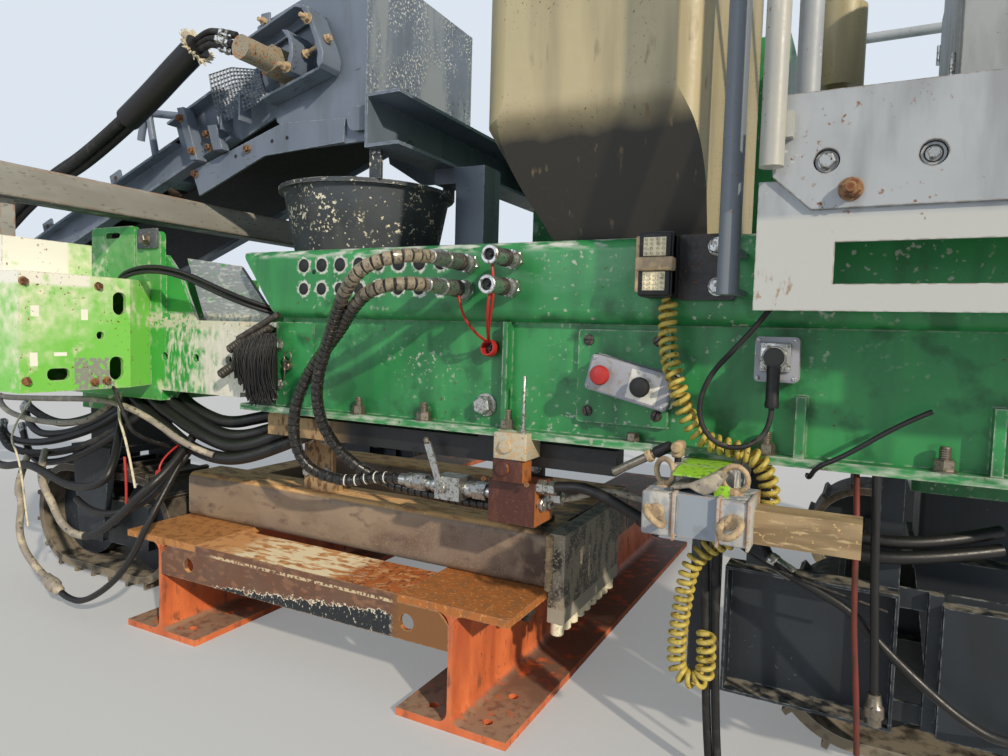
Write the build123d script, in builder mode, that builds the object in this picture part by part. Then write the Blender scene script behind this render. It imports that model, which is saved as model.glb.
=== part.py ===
"""Compact four-track slipform paver, standing on its tracks with the mould on a beam stand.

Units are millimetres. X points forward, Y to the left side, Z up; the ground is Z = 0.
"""
import os
from math import atan2, cos, degrees, pi, radians, sin, sqrt, tan

from build123d import *

os.makedirs("parts", exist_ok=True)

# Clearances between pieces
FIT = 0.3            # seat between two pieces that touch
RUN = 8.0            # running clearance of telescoping tubes
PLATE_EDGE = 12.0    # edge left free round a plate that lies on another

# Side beams: a square tube with a web plate and a foot flange below it
BEAM_FACE_Y = 1000.0
BEAM_TOP_Z = 1138.0
BEAM_REAR_X = -2780.0
TUBE_HEIGHT = 180.0
TUBE_WIDTH = 100.0
TUBE_WALL = 10.0
TUBE_CORNER = 27.0
TUBE_FRONT_TOP_X = -240.0
TUBE_FRONT_LOW_X = -370.0
WEB_HEIGHT = 243.0
WEB_THICK = 15.0
WEB_SETBACK = 30.0
FLANGE_THICK = 17.0
FLANGE_WIDTH = 130.0
FLANGE_FRONT_X = -244.0
TUBE_LOW_Z = BEAM_TOP_Z - TUBE_HEIGHT
FLANGE_TOP_Z = TUBE_LOW_Z - WEB_HEIGHT
FLANGE_LOW_Z = FLANGE_TOP_Z - FLANGE_THICK
WEB_FACE_Y = BEAM_FACE_Y - WEB_SETBACK
BEAM_INNER_Y = BEAM_FACE_Y - TUBE_WIDTH
RIB_DEPTH = 28.0
# Ribs on the foot flange: x, height, thickness
RIBS = (
    (-1072.0, 243.0, 12.0),
    (-1697.0, 115.0, 18.0),
    (-2005.0, 115.0, 18.0),
    (-2400.0, 115.0, 18.0),
)
# Doubler on the web's front end
DOUBLER_X = (-480.0, -350.0)
DOUBLER_THICK = 6.0
# Rows of plug holes through the tube's outer wall: z, radius
PLUG_ROWS = ((1095.0, 15.5), (1034.0, 14.0))
PLUG_FIRST_X = -470.0
PLUG_PITCH = 61.0
PLUG_COUNT = 8

# Cross beams, box sections between the side beams: centre X
CROSS_WIDTH = 120.0
CROSS_WALL = 8.0
CROSS_X = (-760.0, -1560.0, -2700.0)

# Legs: sleeve on the frame, sliding tube, steered track unit
LEG_X = {"front": 620.0, "rear": -2020.0}
LEG_Y = {"front": 735.0, "rear": 575.0}
SLEEVE_SIZE = 240.0
SLEEVE_WALL = 12.0
SLEEVE_LOW_Z = 620.0
SLEEVE_TOP_Z = 1125.0
LEG_SIZE = SLEEVE_SIZE - 2 * SLEEVE_WALL - 2 * RUN
LEG_WALL = 12.0
LEG_TOP_Z = 1085.0
LEG_LOW_Z = 492.0
PAD_Z = (630.0, 790.0)
PAD_HEIGHT = 40.0
PAD_WIDTH = 70.0
KINGPIN_RADIUS = 55.0
KINGPIN_HEIGHT = 60.0

# Track units
TRACK_LENGTH = 800.0
TRACK_HEIGHT = 420.0
TRACK_WIDTH = 250.0
GROUSER_HEIGHT = 18.0
GROUSER_THICK = 14.0
BELT_THICK = 26.0
SHOE_COUNT = 20
WHEEL_RADIUS = TRACK_HEIGHT / 2 - GROUSER_HEIGHT - BELT_THICK - FIT
WHEEL_WIDTH = 90.0
TRACK_AXLE_Z = TRACK_HEIGHT / 2
WHEEL_OFFSET = TRACK_LENGTH / 2 - TRACK_HEIGHT / 2
YOKE_TOP_Z = LEG_LOW_Z - FIT
YOKE_PLATE = 24.0
YOKE_LENGTH = 220.0
YOKE_GAP = 12.0
AXLE_RADIUS = 32.0

# Front and rear brackets
BRACKET_LOW_Z = FLANGE_LOW_Z
BRACKET_TOP_Z = 1090.0
BRACKET_PLATE = 14.0
BRACKET_FRONT_X = 760.0
BRACKET_STEP_X = 100.0
PANEL_LOW_Z = 744.0
PANEL_TOP_Z = 930.0
PANEL_X = (-236.0, 147.0)
PANEL_REACH_X = -330.0
PANEL_HOLE = 13.0
PANEL_HOLE_X = (82.0, -54.0, -190.0)
PANEL_HOLE_Z = 833.0

# Outrigger box outside each front bracket, its rear face pierced
OUTRIGGER = ((147.0, 1000.0), (100.0, 1100.0), (100.0, 1400.0), (440.0, 1400.0), (440.0, 1000.0))
OUTRIGGER_Z = (744.0, 1057.0)
OUTRIGGER_WALL = 12.0
# Openings in that face: y, z, width, height
OUTRIGGER_SLOTS = (
    (1132.0, 985.0, 40.0, 65.0),
    (1142.0, 801.0, 42.0, 67.0),
    (1304.0, 790.0, 60.0, 32.0),
    (1189.0, 894.0, 22.0, 22.0),
)
# Pedestal of the boom on the outrigger
PEDESTAL_X = (200.0, 300.0)
PEDESTAL_Y = (1148.0, 1385.0)
PEDESTAL_TOP_Z = 1150.0
# Lugs on the bracket's top edge: x limits, top, slot length
LUGS = (((220.0, 433.0), 1230.0, 70.0), ((100.0, 214.0), 1210.0, 36.0))
LUG_THICK = 18.0
# Gussets behind the panel's top edge: outer face y, outline in x and z
GUSSETS = (
    (980.0, ((250, 1142), (99, 1139), (44, 1083), (-39, 929), (164, 929), (243, 1066))),
    (950.0, ((45, 1131), (-178, 1104), (-296, 975), (-296, 935), (-236, 929), (-39, 929))),
)
GUSSET_THICK = 12.0

# Stand of two wide-flange beams with a cross angle
STAND_HEIGHT = 300.0
STAND_WIDTH = 300.0
STAND_WEB = 11.0
STAND_FLANGE = 19.0
STAND_NEAR_Y = 1058.0
STAND_LENGTH = 1780.0
STAND_X = (-982.0, 30.0)
STAND_HOLE = 13.0
STAND_HOLE_SETBACK = (55.0, 190.0)
STAND_ROOT = 27.0
ANGLE_DEPTH = 90.0
ANGLE_THICK = 12.0
ANGLE_REACH = 178.0
ANGLE_CORNER = 28.0
ANGLE_HOLE = 20.0
ANGLE_HOLE_INSET = 118.0

# Mould resting on the stand
MOULD_X = (-1134.0, 165.0)
MOULD_FACE_Y = 850.0
MOULD_FAR_Y = 200.0
MOULD_HEIGHT = 145.0
MOULD_TUBE = 150.0
MOULD_WALL = 10.0
MOULD_CORNER = 22.0
END_PLATE_THICK = 42.0
END_PLATE_LOW_Z = 222.0
END_PLATE_FAR_Y = 430.0
MOULD_TOP_Z = STAND_HEIGHT + MOULD_HEIGHT

# Hangers between the mould and the left beam's flange
HANGER_X = (-1040.0, -360.0)
HANGER_WIDTH = 110.0
HANGER_PLATE = 15.0
HANGER_POST_Y = 800.0
HANGER_FOOT = 70.0
HANGER_RAIL = 55.0
HANGER_RAIL_Y = 930.0
HANGER_RAIL_X = (-1330.0, -300.0)

# Charging conveyor
CONVEYOR_ANGLE = 20.0
CONVEYOR_LENGTH = 3200.0
HEAD_X = -210.0
HEAD_Z = 1705.0
CONVEYOR_Y = 490.0
CONVEYOR_WIDTH = 560.0
FRAME_HEIGHT = 180.0
FRAME_FLANGE = 45.0
FRAME_WALL = 8.0
FRAME_END = 125.0
FRAME_FLANGE_RUN = (280.0, CONVEYOR_LENGTH - 120.0)
FRAME_STEP = 20.0
FRAME_LOW_RUN = (540.0, CONVEYOR_LENGTH - 500.0)
FRAME_TIES = (620.0, 1500.0, 2380.0)
FRAME_TIE = (60.0, 40.0)
IDLER_RUNS = (900.0, 1350.0, 1800.0, 2250.0)
IDLER_RADIUS = 38.0
IDLER_SHAFT = 12.0
IDLER_POST = 60.0
IDLER_TOP = 80.0
DRUM_RADIUS = 95.0
SHAFT_RADIUS = 25.0
BELT_WIDTH = 420.0
CONVEYOR_BELT_THICK = 10.0
MOTOR_RADIUS = 33.0
MOTOR_LENGTH = 198.0
MOTOR_BODY = 70.0
MOTOR_BODY_LENGTH = 96.0
MOTOR_FLANGE = 15.0
MOTOR_PLATE = 92.0
MOTOR_CORNER = 12.0

# Tilt pivot on the channel: lugs, pins and the hood's cheeks
PIVOT_X = -475.0
PIVOT_Z = 1530.0
PIVOT_PIN = 18.0
PIVOT_EYE = 34.0
PIVOT_EAR = 12.0
PIVOT_LUG = 16.0
PIVOT_SIDE = 3.0

# Lift cylinder: eyes, ears and pins; the rod's eye lies this far down the slope
EYE_RUN = 1780.0
EYE_DROP = 205.0
EYE_GAP = 44.0
EAR_THICK = 15.0
PIN_RADIUS = 15.0
PIN_FIT = 0.5
ROD_EYE_FIT = 4.5
SADDLE_DROP = 40.0
SADDLE_HEIGHT = 30.0
BARREL_RADIUS = 38.0
ROD_RADIUS = 20.0

# Discharge hood, hopper channel and drop funnel
HOOD_REAR_X = -495.0
HOOD_WALL = 6.0
HOOD_LOW_Z = 1470.0
HOOD_TOP_Z = 1974.0
HOOD_SHAFT_FIT = 2.0
# The cheek's outline ahead of the rear wall, in x and z
HOOD_FRONT = ((-64.0, 1860.0), (-65.0, 1815.0), (-116.0, 1707.0), (-150.0, 1560.0), (-300.0, 1470.0))
CHANNEL_X = -528.0
CHANNEL_HEIGHT = 147.0
CHANNEL_FLANGE = 115.0
CHANNEL_WALL = 9.0
CHANNEL_LOW_Z = 1437.0
CHANNEL_POST_X = (-745.0, -645.0)
CHANNEL_POST_Y = (430.0, 530.0)
CHANNEL_CAP = 47.0
CHANNEL_NEAR_Y = 830.0
BEAM_POST_Y = 950.0
BEAM_POST_HALF = 12.0
BEAM_POST_WIDTH = 90.0
FUNNEL_X = -368.0
FUNNEL_Y = 610.0
FUNNEL_TOP_Z = 1356.0
FUNNEL_TOP_R = 256.0
FUNNEL_LOW_Z = 900.0
FUNNEL_LOW_R = 170.0
FUNNEL_WALL = 6.0
FUNNEL_RIM = 15.0
STRAP_WIDTH = 40.0
STRAP_SETBACK = 20.0

# Upper works
TANK_X = (-1503.0, -1015.0)
TANK_Y = (380.0, 1040.0)
TANK_TOP_Z = 1960.0
TANK_KNEE_Z = 1385.0
TANK_SLANT = 155.0
TANK_UNDERCUT = 80.0
TANK_UNDERCUT_Z = 1400.0
TANK_BELLY = 200.0
TANK_CORNER = 60.0
DECK_X = (-2800.0, -1630.0)
DECK_Y = 1190.0
DECK_THICK = 6.0
DECK_FRAME = 40.0
DECK_TOP_Z = BEAM_TOP_Z + DECK_FRAME + DECK_THICK
SIDE_PLATE = 8.0
SIDE_LOW_Z = 982.0
SIDE_MID_Z = 1140.0
SIDE_TOP_Z = 1320.0
SIDE_UPPER_X = -1666.0
SIDE_STEP_Z = 1188.0
SIDE_CORNER = ((-1710.0, 1140.0), (-1652.0, 1193.0), (-1650.0, 1206.0), (-1666.0, 1228.0))
SIDE_RECESS = 19.0
SIDE_HOLE_X = (-1729.0, -1871.0)
SIDE_HOLE_Z = 1213.0
SIDE_SLOT_X = (-2107.0, -1747.0)
SIDE_SLOT_Z = (1024.0, 1089.0)
RAIL_RADIUS = 21.0
RAIL_TOP_Z = 2290.0

# Engine bay on the right side
BAY_X = (-1540.0, -680.0)
BAY_Y = (-960.0, 40.0)
BAY_TOP_Z = 1880.0
BAY_WALL = 5.0

# Sensor boom across the machine
BOOM_X = 250.0
BOOM_Z = 1296.0
BOOM_SIZE = 90.0
BOOM_HALF = 1450.0
BOOM_WALL = 6.0
SADDLE_X = (235.0, 292.0)
SADDLE_REACH = 40.0


def block(x, y, z, mode=Mode.ADD):
    """A box between two corners, each given as a pair of limits."""
    centre = ((x[0] + x[1]) / 2, (y[0] + y[1]) / 2, (z[0] + z[1]) / 2)
    with Locations(centre):
        Box(x[1] - x[0], y[1] - y[0], z[1] - z[0], mode=mode)


def tube_section(width, height, wall, corner):
    """Hollow rounded section in the sketch being built, centred."""
    RectangleRounded(width, height, corner)
    RectangleRounded(width - 2 * wall, height - 2 * wall, corner - wall, mode=Mode.SUBTRACT)


# Side beams
def side_beam(side):
    """One side beam; side is 1 on the left and -1 on the right."""
    with BuildPart() as beam:
        with BuildSketch(Plane.YZ.offset(BEAM_REAR_X)):
            with Locations((BEAM_FACE_Y - TUBE_WIDTH / 2, BEAM_TOP_Z - TUBE_HEIGHT / 2)):
                tube_section(TUBE_WIDTH, TUBE_HEIGHT, TUBE_WALL, TUBE_CORNER)
        extrude(amount=TUBE_FRONT_TOP_X - BEAM_REAR_X)
        with BuildSketch(Plane.XZ.offset(-BEAM_FACE_Y - 10)):
            with BuildLine():
                Polyline(
                    (TUBE_FRONT_LOW_X, TUBE_LOW_Z - 1),
                    (TUBE_FRONT_TOP_X, BEAM_TOP_Z + 1),
                    (TUBE_FRONT_TOP_X + 50, BEAM_TOP_Z + 1),
                    (TUBE_FRONT_TOP_X + 50, TUBE_LOW_Z - 1),
                    close=True,
                )
            make_face()
        extrude(amount=TUBE_WIDTH + 20, mode=Mode.SUBTRACT)
        web_y = (WEB_FACE_Y - WEB_THICK, WEB_FACE_Y)
        block((BEAM_REAR_X, TUBE_FRONT_LOW_X), web_y, (FLANGE_TOP_Z, TUBE_LOW_Z + TUBE_WALL / 2))
        flange_y = (BEAM_FACE_Y + 8 - FLANGE_WIDTH, BEAM_FACE_Y + 8)
        block((BEAM_REAR_X, FLANGE_FRONT_X), flange_y, (FLANGE_LOW_Z, FLANGE_TOP_Z))
        for x, height, thick in RIBS:
            rib_x = (x - thick / 2, x + thick / 2)
            rib_z = (FLANGE_TOP_Z, FLANGE_TOP_Z + height)
            block(rib_x, (WEB_FACE_Y, WEB_FACE_Y + RIB_DEPTH), rib_z)
        doubler_y = (WEB_FACE_Y, WEB_FACE_Y + DOUBLER_THICK)
        block(DOUBLER_X, doubler_y, (FLANGE_TOP_Z, TUBE_LOW_Z - PLATE_EDGE))
        with BuildSketch(Plane.XZ.offset(-BEAM_FACE_Y)):
            for z, radius in PLUG_ROWS:
                for column in range(PLUG_COUNT):
                    with Locations((PLUG_FIRST_X - column * PLUG_PITCH, z)):
                        Circle(radius)
        extrude(amount=TUBE_WALL + 5, mode=Mode.SUBTRACT)
        if side < 0:
            mirror(about=Plane.XZ, mode=Mode.REPLACE)
    return beam


for name, side in (("left", 1), ("right", -1)):
    beam = side_beam(side)
    beam.part.label = f"side_beam_{name}"
    export_step(beam.part, f"parts/side_beam_{name}.step")

# Cross beams, seated face to face between the side beam tubes
with BuildPart() as cross_beams:
    for x in CROSS_X:
        with BuildSketch(Plane.XZ.offset(-BEAM_INNER_Y)):
            with Locations((x, BEAM_TOP_Z - TUBE_HEIGHT / 2)):
                Rectangle(CROSS_WIDTH, TUBE_HEIGHT - 2 * TUBE_CORNER)
                Rectangle(
                    CROSS_WIDTH - 2 * CROSS_WALL,
                    TUBE_HEIGHT - 2 * TUBE_CORNER - 2 * CROSS_WALL,
                    mode=Mode.SUBTRACT,
                )
        extrude(amount=2 * BEAM_INNER_Y)
cross_beams.part.label = "cross_beams"
export_step(cross_beams.part, "parts/cross_beams.step")


# Brackets that join the legs' sleeves to the frame
def sleeve(end):
    """Square sleeve of one left-hand leg, open at both ends."""
    with BuildSketch(Plane.XY.offset(SLEEVE_LOW_Z)) as section:
        with Locations((LEG_X[end], LEG_Y[end])):
            tube_section(SLEEVE_SIZE, SLEEVE_SIZE, SLEEVE_WALL, SLEEVE_WALL * 1.5)
    extrude(section.sketch, amount=SLEEVE_TOP_Z - SLEEVE_LOW_Z)


def sleeve_bore(end):
    """Clears what other plates left inside a sleeve."""
    with BuildSketch(Plane.XY.offset(SLEEVE_LOW_Z)) as section:
        with Locations((LEG_X[end], LEG_Y[end])):
            Rectangle(SLEEVE_SIZE - 2 * SLEEVE_WALL, SLEEVE_SIZE - 2 * SLEEVE_WALL)
    extrude(section.sketch, amount=SLEEVE_TOP_Z - SLEEVE_LOW_Z, mode=Mode.SUBTRACT)


def wear_pads(end):
    """Pads on the sleeve's inner faces that guide the sliding tube."""
    bore = SLEEVE_SIZE / 2 - SLEEVE_WALL
    reach = LEG_SIZE / 2 + FIT
    x, y = LEG_X[end], LEG_Y[end]
    half = PAD_WIDTH / 2
    for low in PAD_Z:
        pad_z = (low, low + PAD_HEIGHT)
        for near, far in ((reach, bore), (-bore, -reach)):
            block((x + near, x + far), (y - half, y + half), pad_z)
            block((x - half, x + half), (y + near, y + far), pad_z)


FRONT_SLEEVE_IN_Y = LEG_Y["front"] - SLEEVE_SIZE / 2
FRONT_CROSS_X = (280.0, 440.0)
FRONT_CROSS_Z = (760.0, 1000.0)

with BuildPart() as front_brackets:
    sleeve("front")
    box_x = (BRACKET_STEP_X, BRACKET_FRONT_X)
    box_y = (FRONT_SLEEVE_IN_Y, BEAM_FACE_Y)
    box_z = (BRACKET_LOW_Z, BRACKET_TOP_Z)
    block(box_x, box_y, (BRACKET_LOW_Z, BRACKET_LOW_Z + BRACKET_PLATE))
    block(box_x, box_y, (BRACKET_TOP_Z - BRACKET_PLATE, BRACKET_TOP_Z))
    block(box_x, (box_y[1] - BRACKET_PLATE, box_y[1]), box_z)
    block(box_x, (box_y[0], box_y[0] + BRACKET_PLATE), box_z)
    block((BRACKET_STEP_X, BRACKET_STEP_X + BRACKET_PLATE), box_y, box_z)
    panel_y = (BEAM_FACE_Y - BRACKET_PLATE, BEAM_FACE_Y)
    block((PANEL_REACH_X, PANEL_X[1]), panel_y, (PANEL_LOW_Z, PANEL_TOP_Z))
    arm_x = (TUBE_FRONT_LOW_X, BRACKET_STEP_X)
    inner_y = (BEAM_INNER_Y - 60, BEAM_INNER_Y - 60 + BRACKET_PLATE)
    block(arm_x, inner_y, (PANEL_LOW_Z, PANEL_TOP_Z))
    for x, out_y in ((arm_x, WEB_FACE_Y), (PANEL_X, BEAM_FACE_Y)):
        block(x, (inner_y[0], out_y), (PANEL_TOP_Z, PANEL_TOP_Z + BRACKET_PLATE))
        block(x, (inner_y[0], out_y), (PANEL_LOW_Z - BRACKET_PLATE, PANEL_LOW_Z))
    for face_y, outline in GUSSETS:
        with BuildSketch(Plane.XZ.offset(-face_y)):
            with BuildLine():
                Polyline(*outline, close=True)
            make_face()
        extrude(amount=GUSSET_THICK)
    for lug_x, top, slot in LUGS:
        with BuildSketch(Plane.XZ.offset(-BEAM_FACE_Y)):
            with Locations((sum(lug_x) / 2, (BRACKET_TOP_Z - BRACKET_PLATE + top) / 2)):
                RectangleRounded(lug_x[1] - lug_x[0], top - BRACKET_TOP_Z + BRACKET_PLATE, LUG_THICK)
            with Locations((sum(lug_x) / 2, top - 1.5 * LUG_THICK)):
                SlotOverall(slot, LUG_THICK, mode=Mode.SUBTRACT)
        extrude(amount=LUG_THICK)
    with BuildSketch(Plane.XY.offset(OUTRIGGER_Z[0])):
        with BuildLine():
            Polyline(*OUTRIGGER, close=True)
        make_face()
    extrude(amount=OUTRIGGER_Z[1] - OUTRIGGER_Z[0])
    with BuildSketch(Plane.XY.offset(OUTRIGGER_Z[0] + OUTRIGGER_WALL)):
        with BuildLine():
            Polyline(*OUTRIGGER, close=True)
        make_face()
        offset(amount=-OUTRIGGER_WALL)
    extrude(amount=OUTRIGGER_Z[1] - OUTRIGGER_Z[0] - 2 * OUTRIGGER_WALL, mode=Mode.SUBTRACT)
    with BuildSketch(Plane.YZ.offset(OUTRIGGER[1][0])):
        for y, z, wide, tall in OUTRIGGER_SLOTS:
            with Locations((y, z)):
                RectangleRounded(wide, tall, min(wide, tall) / 2 - 1)
    extrude(amount=OUTRIGGER_WALL, mode=Mode.SUBTRACT)
    block(PEDESTAL_X, PEDESTAL_Y, (OUTRIGGER_Z[1] - 1, PEDESTAL_TOP_Z))
    with BuildSketch(Plane.XZ.offset(-BEAM_FACE_Y)):
        for x in PANEL_HOLE_X:
            with Locations((x, PANEL_HOLE_Z)):
                Circle(PANEL_HOLE)
    extrude(amount=BRACKET_PLATE, mode=Mode.SUBTRACT)
    sleeve_bore("front")
    wear_pads("front")
    mirror(about=Plane.XZ)
    with BuildSketch(Plane.XZ.offset(-FRONT_SLEEVE_IN_Y)):
        with Locations((sum(FRONT_CROSS_X) / 2, sum(FRONT_CROSS_Z) / 2)):
            wide = FRONT_CROSS_X[1] - FRONT_CROSS_X[0]
            tall = FRONT_CROSS_Z[1] - FRONT_CROSS_Z[0]
            tube_section(wide, tall, TUBE_WALL, TUBE_WALL * 2)
    extrude(amount=2 * FRONT_SLEEVE_IN_Y)
front_brackets.part.label = "front_brackets"
export_step(front_brackets.part, "parts/front_brackets.step")

with BuildPart() as rear_brackets:
    sleeve("rear")
    arm_x = (LEG_X["rear"] - 90, LEG_X["rear"] + 90)
    arm_y = (LEG_Y["rear"] + SLEEVE_SIZE / 2 - 1, BEAM_INNER_Y)
    arm_z = (BEAM_TOP_Z - TUBE_HEIGHT + TUBE_CORNER, BEAM_TOP_Z - TUBE_CORNER)
    block(arm_x, arm_y, arm_z)
    tie_x = (LEG_X["rear"] - 60, LEG_X["rear"] + 60)
    tie_y = (-LEG_Y["rear"] + SLEEVE_SIZE / 2 - 1, LEG_Y["rear"] - SLEEVE_SIZE / 2 + 1)
    block(tie_x, tie_y, (arm_z[0], arm_z[1] - 20))
    sleeve_bore("rear")
    wear_pads("rear")
    mirror(about=Plane.XZ)
rear_brackets.part.label = "rear_brackets"
export_step(rear_brackets.part, "parts/rear_brackets.step")


# Legs and track units
def track_loop(x, y):
    """Closed shoe chain, its grousers in the outline."""
    base_length = TRACK_LENGTH - 2 * GROUSER_HEIGHT
    base_height = TRACK_HEIGHT - 2 * GROUSER_HEIGHT
    straight = base_length - base_height
    arc = pi * base_height / 2
    pitch = 2 * (straight + arc) / SHOE_COUNT
    radius = base_height / 2
    with BuildPart() as loop:
        with BuildSketch(Plane.XZ.offset(-y - TRACK_WIDTH / 2)):
            with Locations((x, TRACK_AXLE_Z)):
                SlotOverall(base_length, base_height)
            for shoe in range(SHOE_COUNT):
                run = (shoe + 0.5) * pitch
                if run < straight:
                    place = (x - straight / 2 + run, TRACK_AXLE_Z - radius, 0)
                elif run < straight + arc:
                    turn = (run - straight) / radius
                    place = (
                        x + straight / 2 + radius * sin(turn),
                        TRACK_AXLE_Z - radius * cos(turn),
                        degrees(turn),
                    )
                elif run < 2 * straight + arc:
                    back = run - straight - arc
                    place = (x + straight / 2 - back, TRACK_AXLE_Z + radius, 180)
                else:
                    turn = (run - 2 * straight - arc) / radius
                    place = (
                        x - straight / 2 - radius * sin(turn),
                        TRACK_AXLE_Z + radius * cos(turn),
                        degrees(turn) + 180,
                    )
                with Locations(Location((place[0], place[1], 0), (0, 0, place[2]))):
                    Rectangle(GROUSER_THICK, 2 * GROUSER_HEIGHT)
            with Locations((x, TRACK_AXLE_Z)):
                inner = (base_length - 2 * BELT_THICK, base_height - 2 * BELT_THICK)
                SlotOverall(inner[0], inner[1], mode=Mode.SUBTRACT)
        extrude(amount=TRACK_WIDTH)
    return loop


def track_frame(x, y):
    """Roller frame, wheels, axle and yoke with its kingpin."""
    with BuildPart() as frame:
        half = TRACK_WIDTH / 2 + YOKE_GAP
        for wheel_x in (x - WHEEL_OFFSET, x + WHEEL_OFFSET):
            with BuildSketch(Plane.XZ.offset(-y - WHEEL_WIDTH / 2)):
                with Locations((wheel_x, TRACK_AXLE_Z)):
                    Circle(WHEEL_RADIUS)
            extrude(amount=WHEEL_WIDTH)
        web_z = (TRACK_AXLE_Z - 90, TRACK_AXLE_Z + 70)
        block((x - WHEEL_OFFSET, x + WHEEL_OFFSET), (y - 75, y + 75), web_z)
        with BuildSketch(Plane.XZ.offset(-y - half - YOKE_PLATE)):
            with Locations((x, TRACK_AXLE_Z)):
                Circle(AXLE_RADIUS)
        extrude(amount=2 * (half + YOKE_PLATE))
        for cheek_y in (y - half - YOKE_PLATE, y + half):
            with BuildSketch(Plane.XZ.offset(-cheek_y - YOKE_PLATE)):
                with BuildLine():
                    Polyline(
                        (x - YOKE_LENGTH / 2, YOKE_TOP_Z),
                        (x - AXLE_RADIUS * 2, TRACK_AXLE_Z - AXLE_RADIUS * 1.6),
                        (x + AXLE_RADIUS * 2, TRACK_AXLE_Z - AXLE_RADIUS * 1.6),
                        (x + YOKE_LENGTH / 2, YOKE_TOP_Z),
                        close=True,
                    )
                make_face()
            extrude(amount=YOKE_PLATE)
        cap_y = (y - half - YOKE_PLATE, y + half + YOKE_PLATE)
        cap_x = (x - YOKE_LENGTH / 2, x + YOKE_LENGTH / 2)
        block(cap_x, cap_y, (YOKE_TOP_Z - YOKE_PLATE, YOKE_TOP_Z))
        with BuildSketch(Plane.XY.offset(YOKE_TOP_Z)):
            with Locations((x, y)):
                Circle(KINGPIN_RADIUS)
        extrude(amount=KINGPIN_HEIGHT)
    return frame


def leg_tube(x, y):
    """Sliding leg tube with the kingpin bore in its foot plate."""
    foot = 60.0
    with BuildPart() as leg:
        with BuildSketch(Plane.XY.offset(LEG_LOW_Z)):
            with Locations((x, y)):
                RectangleRounded(LEG_SIZE, LEG_SIZE, LEG_WALL)
        extrude(amount=LEG_TOP_Z - LEG_LOW_Z)
        with BuildSketch(Plane.XY.offset(LEG_LOW_Z + foot)):
            with Locations((x, y)):
                Rectangle(LEG_SIZE - 2 * LEG_WALL, LEG_SIZE - 2 * LEG_WALL)
        extrude(amount=LEG_TOP_Z - LEG_LOW_Z - foot, mode=Mode.SUBTRACT)
        with BuildSketch(Plane.XY.offset(LEG_LOW_Z)):
            with Locations((x, y)):
                Circle(KINGPIN_RADIUS + FIT)
        extrude(amount=foot, mode=Mode.SUBTRACT)
    return leg


for end in ("front", "rear"):
    for name, side in (("left", 1), ("right", -1)):
        where = (LEG_X[end], side * LEG_Y[end])
        leg = leg_tube(*where)
        leg.part.label = f"leg_tube_{end}_{name}"
        export_step(leg.part, f"parts/leg_tube_{end}_{name}.step")
        frame = track_frame(*where)
        frame.part.label = f"track_frame_{end}_{name}"
        export_step(frame.part, f"parts/track_frame_{end}_{name}.step")
        loop = track_loop(*where)
        loop.part.label = f"track_loop_{end}_{name}"
        export_step(loop.part, f"parts/track_loop_{end}_{name}.step")

# Stand: two wide-flange beams on the ground, running under the mould
with BuildPart() as stand_beams:
    for x in STAND_X:
        with BuildSketch(Plane.XZ.offset(-STAND_NEAR_Y)):
            with Locations((x, STAND_HEIGHT / 2)):
                Rectangle(STAND_WEB, STAND_HEIGHT)
            for z in (STAND_FLANGE / 2, STAND_HEIGHT - STAND_FLANGE / 2):
                with Locations((x, z)):
                    Rectangle(STAND_WIDTH, STAND_FLANGE)
            roots = vertices().filter_by(lambda v: abs(abs(v.X - x) - STAND_WEB / 2) < FIT)
            fillet(roots, radius=STAND_ROOT)
        extrude(amount=STAND_LENGTH)
        with BuildSketch(Plane.XY):
            for dx in (-STAND_WIDTH / 4, STAND_WIDTH / 4):
                for dy in STAND_HOLE_SETBACK:
                    with Locations((x + dx, STAND_NEAR_Y - dy)):
                        Circle(STAND_HOLE)
        extrude(amount=STAND_FLANGE, mode=Mode.SUBTRACT)
stand_beams.part.label = "stand_beams"
export_step(stand_beams.part, "parts/stand_beams.step")

# Cross angle between the stand beams: a leg on their webs, holed near its ends, and a top flush with theirs
with BuildPart() as stand_angle:
    angle_x = (STAND_X[0] + STAND_WEB / 2, STAND_X[1] - STAND_WEB / 2)
    angle_top = STAND_HEIGHT - STAND_FLANGE
    angle_low = angle_top - ANGLE_DEPTH
    with BuildSketch(Plane.XZ.offset(-STAND_NEAR_Y)):
        with BuildLine():
            Polyline(
                (angle_x[0], angle_low),
                (angle_x[1], angle_low),
                (angle_x[1], angle_top - ANGLE_CORNER),
                (angle_x[1] - ANGLE_CORNER, angle_top),
                (angle_x[0] + ANGLE_CORNER, angle_top),
                (angle_x[0], angle_top - ANGLE_CORNER),
                close=True,
            )
        make_face()
        for x in (angle_x[0] + ANGLE_HOLE_INSET, angle_x[1] - ANGLE_HOLE_INSET):
            with Locations((x, angle_top - ANGLE_DEPTH / 2)):
                Circle(ANGLE_HOLE, mode=Mode.SUBTRACT)
    extrude(amount=ANGLE_THICK)
    top_x = (STAND_X[0] + STAND_WIDTH / 2 + FIT, STAND_X[1] - STAND_WIDTH / 2 - FIT)
    block(top_x, (STAND_NEAR_Y - ANGLE_REACH, STAND_NEAR_Y), (angle_top, STAND_HEIGHT))
stand_angle.part.label = "stand_angle"
export_step(stand_angle.part, "parts/stand_angle.step")

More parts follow.
